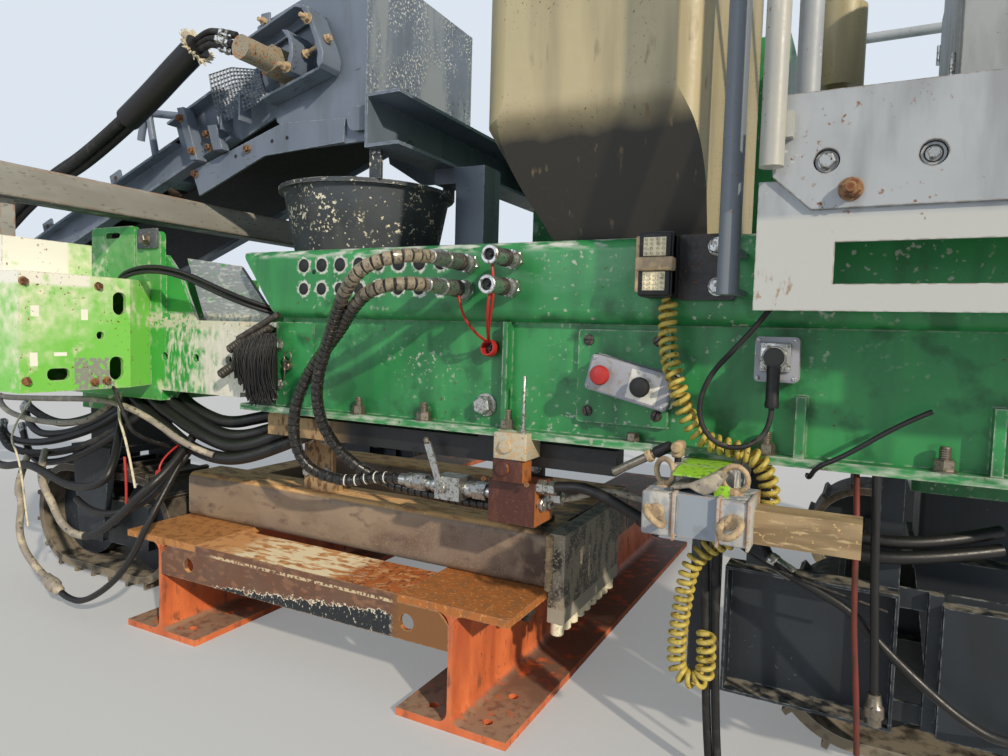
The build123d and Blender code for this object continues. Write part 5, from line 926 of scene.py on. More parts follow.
class PaverStage(bpy.types.PropertyGroup):
    """Colours of the studio."""

    floor_colour: bpy.props.FloatVectorProperty(
        name="Floor", description="Colour of the floor", subtype="COLOR", size=3, default=linear("C9CBCB")[:3],
    )
    sky_colour: bpy.props.FloatVectorProperty(
        name="Backdrop", description="Colour behind the paver", subtype="COLOR", size=3, default=linear("DDE6F0")[:3],
    )


UP = (0, 0, 1)
LEFT = (0, 1, 0)
RIGHT = (0, -1, 0)
FORWARD = (1, 0, 0)
REARWARD = (-1, 0, 0)


def bolt(flats, washer=True, tip=0.0):
    """A hexagon bolt head along Z with its chamfer, washer and the thread that stands past a nut."""
    corner = flats / math.sqrt(3)
    head = flats * 0.62
    base = 0.003 if washer else 0.0
    parts = [turned([(base, corner), (base + head * 0.86, corner), (base + head, corner * 0.86)], sides=6, smooth=20)]
    if washer:
        parts.append(turned([(0, corner * 1.22), (0.0022, corner * 1.24), (0.003, corner * 1.18)], sides=24))
    if tip:
        thread = flats * 0.31
        rings = [(base + head - 0.002, thread)]
        for turn in range(int(tip / 0.004)):
            low = base + head + turn * 0.004
            rings += [(low + 0.001, thread), (low + 0.002, thread * 0.88), (low + 0.003, thread)]
        rings.append((base + head + tip, thread * 0.8))
        parts.append(turned(rings, sides=16, smooth=20))
    return join(parts)


def slotted_screw(radius):
    """A slotted pan head screw along Z, the slot as two raised halves."""
    halves = []
    for side in (1, -1):
        half = turned([(0.0, radius), (radius * 0.28, radius * 0.96), (radius * 0.42, radius * 0.72)], sides=28)
        take(half)
        bpy.ops.object.mode_set(mode="EDIT")
        bpy.ops.mesh.select_all(action="SELECT")
        cut = {"plane_co": (0, side * radius * 0.09, 0), "plane_no": (0, side, 0)}
        bpy.ops.mesh.bisect(**cut, use_fill=True, clear_inner=True)
        bpy.ops.object.mode_set(mode="OBJECT")
        halves.append(half)
    halves.append(turned([(0.0, radius * 0.98), (radius * 0.1, radius * 0.98)], sides=28))
    return join(halves)


def mirrored(places):
    """The same places on both sides of the machine."""
    return list(places) + [(x, -y, z) for x, y, z in places]


class PAVER_OT_dress_frame(bpy.types.Operator):
    """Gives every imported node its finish"""

    bl_idname = "paver.dress_frame"
    bl_label = "Dress the frame"

    def execute(self, context):
        make_finishes()
        for name, obj in NODES.items():
            wear = [finish_name for start, finish_name in NODE_FINISHES if name.startswith(start)]
            if not wear and name not in ("guarded_hoses", "curly_cable", "socket_cable"):
                raise RuntimeError(f"no finish for {name}")
            obj.data.materials.clear()
            obj.data.materials.append(MATERIALS[wear[0] if wear else "black_rubber"])
        return {"FINISHED"}


class PAVER_OT_beam_plugs(bpy.types.Operator):
    """Domed plugs in the two rows of holes on each beam"""

    bl_idname = "paver.beam_plugs"
    bl_label = "Beam plugs"

    def execute(self, context):
        radius = context.scene.paver_hardware.plug_radius
        dome = turned(
            [(0, radius), (0.0012, radius), (0.0026, radius * 0.9), (0.0042, radius * 0.6), (0.0048, radius * 0.15)],
            sides=28,
        )
        places = []
        for row, (z, hole) in enumerate(PLUG_ROWS):
            for column in range(PLUG_COUNT):
                x = PLUG_FIRST_X - column * PLUG_PITCH
                places.append(towards((x, 1.0, z), LEFT, 20 * column, hole / 0.0155))
                places.append(towards((x, -1.0, z), RIGHT, 20 * column, hole / 0.0155))
        places.append(towards((-0.505, 1.0, 1.078), LEFT, 0, 0.36))
        put(dome, places, "beam_plugs", "black_plastic", "black_plastic")
        return {"FINISHED"}


class PAVER_OT_frame_bolts(bpy.types.Operator):
    """Hexagon bolts, nuts and studs of the frame"""

    bl_idname = "paver.frame_bolts"
    bl_label = "Frame bolts"

    def execute(self, context):
        flats = context.scene.paver_hardware.bolt_flats
        studs = [(x, 0.989, 0.715) for x in (-0.65, -0.85, -1.08, -1.638, -1.93, -2.25, -2.6)]
        put(
            bolt(flats, tip=0.022), [towards(p, UP, 13 * i) for i, p in enumerate(mirrored(studs))], "flange_studs",
            "bare_spring_steel", "bright_steel",
        )
        low_nuts = [towards(p, UP, 25, 0.8) for p in mirrored([(-1.375, 0.989, 0.715)])]
        put(bolt(flats), low_nuts, "flange_nuts", "bare_spring_steel", "bright_steel")
        heads = [(-0.358, 0.976, 0.882), (-0.359, 0.976, 0.774)]
        places = [towards((-1.012, 0.97, 0.763), LEFT, 8, 1.3)] + [
            towards(p, LEFT, 17 * i, 0.8)
            for i, p in enumerate(heads)
        ]
        places += [
            towards((x, 0.8157, z), LEFT, 9, 0.8)
            for x in (-1.075, -1.005, -0.395, -0.325) for z in (0.5, 0.6)
        ]
        put(bolt(flats), places, "web_bolts", "zinc_plate", "bright_steel")
        rust = [(0.1, 1.389, 1.03), (0.1, 1.194, 1.03), (0.1, 1.385, 0.775), (0.1, 1.208, 0.765), (0.1, 1.173, 0.767)]
        places = [towards(p, REARWARD, 11 * i, 0.55) for i, p in enumerate(rust)]
        places += [towards((0.102, -y, z), REARWARD, 5, 0.55) for _, y, z in rust]
        places += [
            towards((x, 1.0, z), LEFT, 7, 0.7)
            for x in (0.2, 0.4, 0.56, 0.7) for z in (1.045, 0.74) if x > 0.5
        ]
        put(bolt(flats), places, "rusted_bolts", "rusted_plate", "rusty_steel")
        grey = rounded_box((0.107, 1.0003, 1.158), (0.2, 1.008, 1.217), 0.002)
        piece(grey, "lug_plate", "grey_paint", "grey_paint")
        put(
            bolt(flats * 0.9), [towards((0.154, 1.008, 1.183), LEFT, 20)], "lug_bolt", "bare_spring_steel",
            "bright_steel",
        )
        pin = turned([(0, 0.012), (0.014, 0.012), (0.016, 0.0105)], sides=24)
        loop = ring(0.013, 0.0022)
        places = [towards((-0.399, 0.9765, 0.826), LEFT)]
        put(pin, places, "web_pin", "bare_spring_steel", "bright_steel")
        clip = spread(loop, [towards((-0.409, 0.994, 0.852), LEFT)])
        piece(clip, "spring_clip", "bare_spring_steel", "bright_steel")
        legs = [(-0.402, 0.992, 0.842), (-0.394, 0.994, 0.826), (-0.4, 0.993, 0.808), (-0.389, 0.989, 0.786)]
        hose("spring_clip_leg", legs, 0.002, "bare_spring_steel", "bright_steel")
        return {"FINISHED"}


class PAVER_OT_side_plate_bolts(bpy.types.Operator):
    """Sunk bolts and a rusted nut in the deck's side plates"""

    bl_idname = "paver.side_plate_bolts"
    bl_label = "Side plate bolts"

    def execute(self, context):
        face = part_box("side_plates")[1][1]
        holes = [(-1.729, 1.213), (-1.871, 1.213)]
        # The black cups are painted shade in the bolt recesses.
        cup = turned([(0, 0.0186), (0.004, 0.0186), (0.005, 0.0168), (0.0012, 0.016), (0.001, 0.003)], sides=32)
        places = [towards((x, side * (face - 0.012), z), (0, side, 0)) for x, z in holes for side in (1, -1)]
        put(cup, places, "side_plate_cups", "black_paint", "black_paint")
        places = [
            towards((x, side * (face - 0.0105), z), (0, side, 0), 20, size)
            for (x, z), size in zip(holes, (0.72, 0.52)) for side in (1, -1)
        ]
        put(bolt(0.03), places, "side_plate_bolts", "zinc_plate", "bright_steel")
        places = [towards((-1.765, side * face, 1.167), (0, side, 0), 12, 0.85) for side in (1, -1)]
        put(bolt(0.03, tip=0.008), places, "side_plate_nuts", "rusted_plate", "rusty_steel")
        return {"FINISHED"}


class PAVER_OT_console_controls(bpy.types.Operator):
    """Dials, levers and buttons on the console's sloping desk, and its cabinet door"""

    bl_idname = "paver.console_controls"
    bl_label = "Console controls"

    def execute(self, context):
        high, low = (Vector((-2.04, 0.07, 2.1)), Vector((-2.33, 0.07, 1.96)))
        down = (low - high).normalized()
        across = Vector((0, -1, 0))
        desk = Matrix((down, across, down.cross(across))).transposed().to_4x4()
        desk.translation = (high + low) / 2
        panel = rounded_box((-0.13, -0.32, -0.001), (0.13, 0.32, 0.003), 0.002)
        put(panel, [desk], "console_panel", "black_paint", "black_paint")
        rim = turned(
            [(0.003, 0.034), (0.01, 0.034), (0.012, 0.032), (0.012, 0.028), (0.008, 0.027), (0.0075, 0.004)], sides=36,
        )
        put(
            rim, [desk @ Matrix.Translation((-0.078, 0.095 * k, 0)) for k in (-2.6, -1.3, 0, 1.3, 2.6)],
            "console_dials", "zinc_plate", "bright_steel",
        )
        button = turned([(0.003, 0.013), (0.007, 0.013), (0.008, 0.009), (0.013, 0.009), (0.014, 0.007)], sides=22)
        put(
            button, [desk @ Matrix.Translation((-0.01, 0.046 * k, 0)) for k in range(-6, 7) if k], "console_buttons",
            "black_plastic", "black_plastic",
        )
        stop = turned(
            [(0.003, 0.014), (0.014, 0.014), (0.016, 0.021), (0.024, 0.021), (0.028, 0.015), (0.029, 0.003)], sides=30,
        )
        put(stop, [desk @ Matrix.Translation((0.07, 0, 0))], "console_stop", "red_plastic", "rubber")
        boot = turned(
            [
                (0.003, 0.03), (0.006, 0.03), (0.012, 0.022), (0.016, 0.025), (0.022, 0.016), (0.026, 0.018),
                (0.032, 0.01), (0.036, 0.006),
            ],
            sides=30,
        )
        sticks = [desk @ Matrix.Translation((0.07, 0.105 * k, 0)) for k in (-2.5, -1.2, 1.2, 2.5)]
        put(boot, sticks, "lever_boots", "worn_rubber", "rubber")
        stick = turned(
            [(0.03, 0.0055), (0.085, 0.0055), (0.088, 0.011), (0.1, 0.016), (0.114, 0.015), (0.12, 0.008)], sides=24,
        )
        put(stick, sticks, "console_levers", "black_plastic", "black_plastic")
        door = rounded_box((-1.962, -0.24, 1.23), (-1.954, 0.38, 1.96), 0.003)
        piece(door, "console_door", "light_grey_paint", "light_grey_paint")
        latch = rounded_box((-1.954, 0.325, 1.56), (-1.942, 0.35, 1.65), 0.004)
        hinge = turned([(-0.03, 0.007), (0.03, 0.007)], sides=16)
        piece(
            join([latch, spread(hinge, [towards((-1.952, -0.246, z), UP) for z in (1.34, 1.85)])]), "console_latch",
            "zinc_plate", "bright_steel",
        )
        return {"FINISHED"}


class PAVER_OT_bay_details(bpy.types.Operator):
    """Louvres and latches of the engine door, and the tank's filler cap"""

    bl_idname = "paver.bay_details"
    bl_label = "Bay details"

    def execute(self, context):
        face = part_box("engine_door")[0][1]
        slat = plate(
            [(face + 0.001, 0.0), (face - 0.008, -0.004), (face - 0.008, -0.007), (face + 0.001, -0.016)], 0.3, "X",
            0.15, 0.0006,
        )
        places = [Matrix.Translation((x, 0, 1.66 - 0.03 * row)) for x in (-1.32, -0.9) for row in range(11)]
        put(slat, places, "door_louvres", "green_enamel", "green_paint", "engine_door")
        dish = turned([(0, 0.03), (0.004, 0.03), (0.006, 0.027), (0.002, 0.024), (0.002, 0.004)], sides=32)
        tee = rounded_box((-0.004, -0.022, 0.002), (0.004, 0.022, 0.008), 0.002)
        latches = [towards((-1.495, face, z), RIGHT) for z in (1.3, 1.76)]
        piece(
            join([spread(dish, latches), spread(tee, latches)]), "door_latches", "zinc_plate", "bright_steel",
            "engine_door",
        )
        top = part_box("water_tank")[1][2]
        cap = turned(
            [
                (0, 0.085), (0.012, 0.085), (0.014, 0.076), (0.032, 0.076), (0.036, 0.07), (0.036, 0.02),
                (0.044, 0.018), (0.046, 0.01),
            ],
            sides=40,
        )
        put(cap, [towards((-1.34, 0.72, top), UP)], "tank_cap", "black_plastic", "black_plastic")
        return {"FINISHED"}


class PAVER_OT_coupler_rings(bpy.types.Operator):
    """Sleeves and rings of the quick couplers, with the dust cap on its strings"""

    bl_idname = "paver.coupler_rings"
    bl_label = "Coupler rings"

    def execute(self, context):
        free = ((-1.092, 1.096), (-1.087, 1.034))
        held = ((-0.979, 1.089), (-0.971, 1.03))
        knurl = turned(
            [
                (0, 0.017), (0.004, 0.0195), (0.007, 0.018), (0.01, 0.0195), (0.013, 0.018), (0.016, 0.0195),
                (0.02, 0.017),
            ],
            sides=28,
        )
        places = [towards((x, 1.04, z), LEFT) for x, z in free + held]
        put(knurl, places, "coupler_sleeves", "dull_fitting", "bright_steel")
        lip = turned(
            [
                (0, 0.0195), (0.006, 0.0205), (0.012, 0.0205), (0.014, 0.0185), (0.014, 0.013), (0.004, 0.012),
                (0.003, 0.006),
            ],
            sides=32,
        )
        places = [towards((x, 1.106, z), LEFT) for x, z in free]
        put(lip, places, "coupler_lips", "zinc_plate", "bright_steel")
        # The black bores are painted shade inside the open couplers.
        bore = turned(
            [
                (0, 0.0126), (0.008, 0.0126), (0.0085, 0.011), (0.006, 0.0105), (0.0055, 0.0045), (0.01, 0.004),
                (0.011, 0.003),
            ],
            sides=28,
        )
        put(bore, [towards((x, 1.107, z), LEFT) for x, z in free], "coupler_bores", "black_plastic", "black_plastic")
        collar = turned([(0, 0.021), (0.002, 0.0235), (0.01, 0.0235), (0.012, 0.021)], sides=6, smooth=15)
        places = [towards((x, 1.0003, z), LEFT, 12) for x, z in free + held]
        put(collar, places, "coupler_hexagons", "zinc_plate", "bright_steel")
        tail = turned(
            [(0, 0.015), (0.008, 0.0172), (0.034, 0.0172), (0.04, 0.0156), (0.06, 0.0156), (0.062, 0.014)], sides=24,
        )
        places = [towards((x, 1.109, z), LEFT) for x, z in held]
        put(tail, places, "hose_ferrules", "zinc_plate", "bright_steel")
        cap = turned(
            [
                (0, 0.0165), (0.004, 0.0195), (0.02, 0.02), (0.024, 0.0185), (0.024, 0.015), (0.006, 0.014),
                (0.005, 0.004),
            ],
            sides=30,
        )
        core = turned([(0.005, 0.0138), (0.0065, 0.0138), (0.007, 0.006), (0.014, 0.0055), (0.015, 0.004)], sides=24)
        put(core, [towards((-1.027, 0.972, 0.895), (0.1, 1, 0.15))], "dust_cap_core", "dull_fitting", "black_plastic")
        put(cap, [towards((-1.027, 0.972, 0.895), (0.1, 1, 0.15))], "dust_cap", "red_plastic", "rubber")
        hose(
            "cap_string_a",
            [(-1.088, 1.098, 1.076), (-1.1, 1.105, 1.02), (-1.06, 1.06, 0.935), (-1.03, 0.996, 0.912)], 0.0032,
            "red_plastic",
        )
        hose(
            "cap_string_b",
            [(-0.985, 1.06, 1.012), (-0.995, 1.07, 0.98), (-1.015, 1.04, 0.93), (-1.024, 0.996, 0.912)], 0.0032,
            "red_plastic",
        )
        hose(
            "cap_string_c",
            [(-1.085, 1.1, 1.015), (-1.082, 1.105, 0.985), (-1.055, 1.05, 0.93), (-1.028, 0.996, 0.912)], 0.0032,
            "red_plastic",
        )
        return {"FINISHED"}


class PAVER_OT_side_boxes(bpy.types.Operator):
    """Push buttons, screws, socket and connector inserts on the left beam"""

    bl_idname = "paver.side_boxes"
    bl_label = "Side boxes"

    def execute(self, context):
        radius = context.scene.paver_hardware.screw_radius
        corners = ((-1.267, 0.923), (-1.419, 0.925), (-1.42, 0.77), (-1.268, 0.77))
        places = [towards((x, 0.9803, z), LEFT, 35 * i) for i, (x, z) in enumerate(corners)]
        put(slotted_screw(radius), places, "cover_screws", "dull_fitting", "bright_steel")
        tilt = Matrix.Translation((-1.3755, 0, 0.8405)) @ Matrix.Rotation(math.radians(-13.0), 4, "Y")
        seam = rounded_box((-0.0885, 1.018, -0.0375), (0.0885, 1.021, 0.0375), 0.0012)
        put(seam, [tilt], "button_box_seam", "black_plastic", "black_plastic")
        lid = rounded_box((-0.087, 1.021, -0.036), (0.087, 1.043, 0.036), 0.004, 3)
        put(lid, [tilt], "button_box_lid", "grey_plastic", "grey_paint")
        legend = rounded_box((-0.066, 1.043, -0.03), (-0.002, 1.0442, 0.03), 0.0005)
        put(legend, [tilt], "button_legend", "white_plastic", "grey_paint")
        mushroom = turned(
            [
                (0, 0.012), (0.01, 0.012), (0.011, 0.0195), (0.018, 0.0205), (0.023, 0.018), (0.026, 0.01),
                (0.0265, 0.002),
            ],
            sides=36,
        )
        other = mushroom.copy()
        other.data = mushroom.data.copy()
        bpy.context.collection.objects.link(other)
        put(mushroom, [tilt @ towards((0.0555, 1.043, 0.0), LEFT)], "stop_button", "red_plastic", "rubber")
        put(other, [tilt @ towards((-0.031, 1.0442, 0.0), LEFT)], "start_button", "black_plastic", "black_plastic")
        small = slotted_screw(0.004)
        places = [tilt @ towards((x, 1.043, z), LEFT, 25) for x in (-0.08, 0.08) for z in (-0.03, 0.03)]
        places += [towards((x, 1.0165, z), LEFT, 40) for x in (-1.67, -1.628) for z in (0.881, 0.923)]
        places += [towards((x, 1.0103, z), LEFT, 10) for x in (-1.683, -1.619) for z in (0.862, 0.933)]
        put(small, places, "small_screws", "zinc_plate", "bright_steel")
        flange = rounded_box((-1.676, 1.01, 0.875), (-1.622, 1.0165, 0.929), 0.002)
        collar = spread(
            turned([(0, 0.0215), (0.014, 0.0215), (0.016, 0.02), (0.016, 0.0178)], sides=32),
            [towards((-1.649, 1.0165, 0.902), LEFT)],
        )
        piece(join([flange, collar]), "socket_flange", "zinc_plate", "bright_steel")
        grips = turned([(0, 0.0172), (0.002, 0.0182), (0.004, 0.0172)], sides=24)
        put(
            grips, [towards((-1.649, y, 0.902), LEFT) for y in (1.034, 1.038)], "plug_grips", "black_plastic",
            "black_plastic",
        )
        boot = turned(
            [
                (0, 0.0112), (0.006, 0.0125), (0.02, 0.0125), (0.026, 0.0118), (0.07, 0.0118), (0.08, 0.0132),
                (0.086, 0.0118),
            ],
            sides=24,
        )
        put(boot, [towards((-1.649, 1.03, 0.894), (0, 0, -1))], "plug_boot", "black_plastic", "black_plastic")
        inserts = []
        for low, high in ((1.014, 1.068), (1.08, 1.134)):
            inserts.append(rounded_box((-1.459, 1.06, low), (-1.397, 1.072, high), 0.003))
            inserts.append(rounded_box((-1.462, 1.04, low - 0.002), (-1.456, 1.066, high + 0.002), 0.001))
        piece(join(inserts), "connector_inserts", "black_plastic", "black_plastic")
        fields = [rounded_box((-1.45, 1.07, low), (-1.406, 1.0735, low + 0.036), 0.001) for low in (1.023, 1.089)]
        pin = turned([(0, 0.003), (0.003, 0.003), (0.004, 0.0022), (0.001, 0.0016)], sides=10)
        places = [
            towards((x, 1.0735, z), LEFT)
            for x in (-1.445, -1.434, -1.422, -1.411) for z in (1.028, 1.037, 1.046, 1.054, 1.094, 1.103, 1.112, 1.12)
        ]
        piece(join([spread(pin, places)] + fields), "connector_pins", "cream_nylon", "light_grey_paint")
        latch = join([
            rounded_box((-1.466, 1.052, 1.061), (-1.392, 1.081, 1.087), 0.004, 3),
            rounded_box((-1.398, 1.01, 1.02), (-1.39, 1.07, 1.128), 0.002),
        ])
        piece(latch, "connector_latch", "slurried_casting", "bright_steel")
        big = bolt(0.026)
        put(
            big, [towards((-1.534, 1.0103, 1.111), LEFT, 10), towards((-1.537, 1.0103, 1.034), LEFT, 40)],
            "box_bolts", "zinc_plate", "bright_steel",
        )
        return {"FINISHED"}


HOSE_A = (
    (-0.979, 1.1073, 1.089), (-0.979, 1.18, 1.089), (-0.948, 1.242, 1.084), (-0.885, 1.272, 1.062),
    (-0.815, 1.243, 1.015), (-0.752, 1.198, 0.962), (-0.688, 1.15, 0.903), (-0.608, 1.105, 0.793),
    (-0.588, 1.06, 0.688), (-0.617, 1.0, 0.596), (-0.694, 0.935, 0.533), (-0.868, 0.922, 0.513),
    (-1.0407, 0.922, 0.513),
)
HOSE_B = (
    (-0.971, 1.1073, 1.03), (-0.971, 1.17, 1.03), (-0.942, 1.222, 1.03), (-0.885, 1.243, 1.018),
    (-0.808, 1.21, 0.98), (-0.723, 1.15, 0.927), (-0.589, 1.095, 0.838), (-0.516, 1.08, 0.735),
    (-0.494, 1.056, 0.625), (-0.525, 1.026, 0.556), (-0.61, 0.98, 0.53), (-0.7, 0.965, 0.556),
    (-0.7697, 0.965, 0.556),
)
CURL_ROUTE = (
    (-1.448, 1.03, 1.0107), (-1.448, 1.03, 0.955), (-1.457, 1.044, 0.898), (-1.478, 1.062, 0.846),
    (-1.5, 1.052, 0.778), (-1.528, 1.036, 0.736), (-1.58, 1.032, 0.727), (-1.632, 1.028, 0.712),
    (-1.655, 1.026, 0.66), (-1.652, 1.026, 0.602), (-1.612, 1.028, 0.558), (-1.556, 1.033, 0.537),
    (-1.514, 1.038, 0.49), (-1.507, 1.04, 0.43), (-1.5, 1.042, 0.374), (-1.497, 1.043, 0.32),
    (-1.5, 1.044, 0.266), (-1.553, 1.044, 0.262), (-1.556, 1.042, 0.315), (-1.552, 1.04, 0.366),
)
PLUG_ROUTE = (
    (-1.649, 1.03, 0.8097), (-1.649, 1.03, 0.77), (-1.618, 1.058, 0.735), (-1.568, 1.07, 0.731),
    (-1.531, 1.072, 0.765), (-1.524, 1.07, 0.815), (-1.543, 1.068, 0.868), (-1.58, 1.062, 0.912),
    (-1.616, 1.06, 0.955), (-1.648, 1.056, 1.001), (-1.648, 1.0003, 1.001),
)


class PAVER_OT_guarded_hoses(bpy.types.Operator):
    """The two hoses in spiral guards and the coiled and plugged cables"""

    bl_idname = "paver.guarded_hoses"
    bl_label = "Guarded hoses and cables"

    def execute(self, context):
        sizes = context.scene.paver_hoses
        guards = []
        for index, (name, route) in enumerate((("guarded_hose_a", HOSE_A), ("guarded_hose_b", HOSE_B))):
            path = line_of(route)
            line = hose(name, route, sizes.guard_radius - 0.0016)
            half, wall = (sizes.guard_pitch * 0.43, sizes.guard_radius)
            band = turned(
                [(-half, wall - 0.0018), (-half + 0.001, wall), (half - 0.001, wall), (half, wall - 0.0018)], sides=18,
            )
            places = []
            for step, (place, direction) in enumerate(even_steps(path, sizes.guard_pitch)[1:]):
                lean = Vector(direction) + Vector((0.0, 0.1, 0.06))
                places.append(towards(place, lean, 37 * step))
            guard = put(band, places, f"spiral_guard_{'ab'[index]}", "guard_coil", "black_plastic")
            guards.append(guard)
            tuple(route[0])
            round(length_of(path), 4)
        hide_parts("guarded_hoses")
        path = line_of(CURL_ROUTE, 24)
        per_turn = 12
        step = sizes.curl_pitch / per_turn
        helix = []
        side = Vector((0, 1, 0))
        for index, (place, direction) in enumerate(even_steps(path, step)):
            side = (side - side.dot(direction) * direction).normalized()
            across = direction.cross(side)
            angle = 2 * math.pi * index / per_turn
            fade = min(1.0, index / 5)
            helix.append(place + sizes.curl_radius * fade * (math.cos(angle) * side + math.sin(angle) * across))
        helix[0] = Vector(CURL_ROUTE[0])
        coil = hose("curled_cable", helix, sizes.wire_radius, "yellow_jacket", "yellow_jacket", steps=3, around=2)
        wire = line_of(helix, 3)
        wire_length = length_of(wire)
        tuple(CURL_ROUTE[0])
        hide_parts("curly_cable")
        lead = hose("plug_cable", PLUG_ROUTE, 0.005)
        length = length_of(line_of(PLUG_ROUTE))
        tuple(PLUG_ROUTE[0])
        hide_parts("socket_cable")
        return {"FINISHED"}


class PAVER_OT_valve_group(bpy.types.Operator):
    """Ports, plugs, lever knob and pipes of the valve block"""

    bl_idname = "paver.valve_group"
    bl_label = "Valve group"

    def execute(self, context):
        cap = rounded_box((-1.15, 0.957, 0.652), (-1.068, 1.034, 0.712), 0.003, 3)
        knob = spread(
            turned([(0, 0.015), (0.006, 0.015), (0.008, 0.0135), (0.0085, 0.004)], sides=28),
            [towards((-1.1, 1.034, 0.682), LEFT)],
        )
        corners = spread(
            slotted_screw(0.0035), [towards((x, 1.034, z), LEFT, 30) for x in (-1.143, -1.075) for z in (0.66, 0.705)],
        )
        piece(join([cap, knob, corners]), "pilot_cap", "cast_zinc", "bright_steel")
        lower = rounded_box((-1.14, 0.98, 0.6), (-1.064, 1.028, 0.654), 0.002, 2)
        plug = spread(
            turned([(0, 0.0165), (0.005, 0.0165), (0.0065, 0.015), (0.0067, 0.004)], sides=28),
            [towards((-1.09, 1.028, 0.63), LEFT)],
        )
        piece(join([lower, plug]), "pilot_body", "red_brown_paint", "red_brown_paint")
        rod = spread(
            turned([(0, 0.0065), (0.01, 0.0065), (0.011, 0.0036), (0.126, 0.0036), (0.128, 0.0025)], sides=16),
            [towards((-1.134, 1.018, 0.712), UP)],
        )
        piece(rod, "pilot_rod", "zinc_plate", "bright_steel")
        hexes = bolt(0.02, washer=False)
        places = [towards((x, 1.022, 0.6), LEFT, 11, 0.5) for x in (-1.15, -1.04)]
        put(hexes, places, "valve_bolts", "rusted_plate", "rusty_steel")
        port = turned(
            [(0, 0.0175), (0.007, 0.0175), (0.009, 0.016), (0.009, 0.0085), (0.004, 0.0085), (0.0035, 0.003)],
            sides=28,
        )
        places = [towards((-1.159, 0.965, 0.546), REARWARD), towards((-1.159, 0.922, 0.542), REARWARD)]
        put(port, places, "valve_ports", "zinc_plate", "bright_steel")
        nipple = turned(
            [
                (0, 0.0165), (0.014, 0.0165), (0.015, 0.0125), (0.026, 0.0125), (0.027, 0.0165), (0.042, 0.0165),
                (0.043, 0.011),
            ],
            sides=6, smooth=15,
        )
        places = [towards((-1.161, 0.984, 0.59), REARWARD), towards((-1.161, 0.945, 0.56), REARWARD)]
        put(nipple, places, "pipe_unions", "zinc_plate", "bright_steel")
        hose(
            "return_hose",
            [
                (-1.186, 0.984, 0.59), (-1.25, 0.985, 0.604), (-1.31, 0.988, 0.592), (-1.366, 0.985, 0.566),
                (-1.4, 0.975, 0.548),
            ],
            0.012, "worn_rubber",
        )
        hose(
            "steel_pipe",
            [
                (-1.2, 0.945, 0.56), (-1.235, 0.955, 0.566), (-1.28, 0.968, 0.588), (-1.33, 0.965, 0.6),
                (-1.42, 0.935, 0.575),
            ],
            0.0075, "beige_jacket", "grey_paint",
        )
        tip = turned([(-0.008, 0.0045), (-0.004, 0.0075), (0.004, 0.0075), (0.008, 0.0045)], sides=20)
        put(tip, [towards((-0.8655, 0.998, 0.668), (0.16, 0, 1))], "lever_tip", "bare_spring_steel", "bright_steel")
        socket = turned(
            [
                (0, 0.0135), (0.004, 0.016), (0.034, 0.016), (0.038, 0.018), (0.05, 0.018), (0.052, 0.0165),
                (0.04, 0.012), (0.039, 0.004),
            ],
            sides=26,
        )
        put(
            socket, [towards((-1.392, 0.978, 0.552), (-0.8, -0.35, -0.48))], "return_hose_end", "black_plastic",
            "black_plastic",
        )
        nut = bolt(0.017, washer=True)
        put(nut, [towards((-0.909, 0.999, 0.555), LEFT, 8)], "lever_nut", "zinc_plate", "bright_steel")
        cuff = turned([(0, 0.017), (0.004, 0.0195), (0.018, 0.0195), (0.022, 0.017)], sides=28)
        places = [towards((x, 0.965, 0.556), FORWARD) for x in (-0.984, -0.888, -0.812)]
        put(cuff, places, "valve_cuffs", "zinc_plate", "bright_steel")
        tape = turned([(-0.0018, 0.0148), (-0.001, 0.0154), (0.001, 0.0154), (0.0018, 0.0148)], sides=22)
        path = line_of(HOSE_B)
        marks = even_steps(path, 0.03)
        places = [towards(place, direction) for place, direction in marks[-6:-1]]
        put(tape, places, "hose_tape", "white_plastic", "grey_paint")
        return {"FINISHED"}


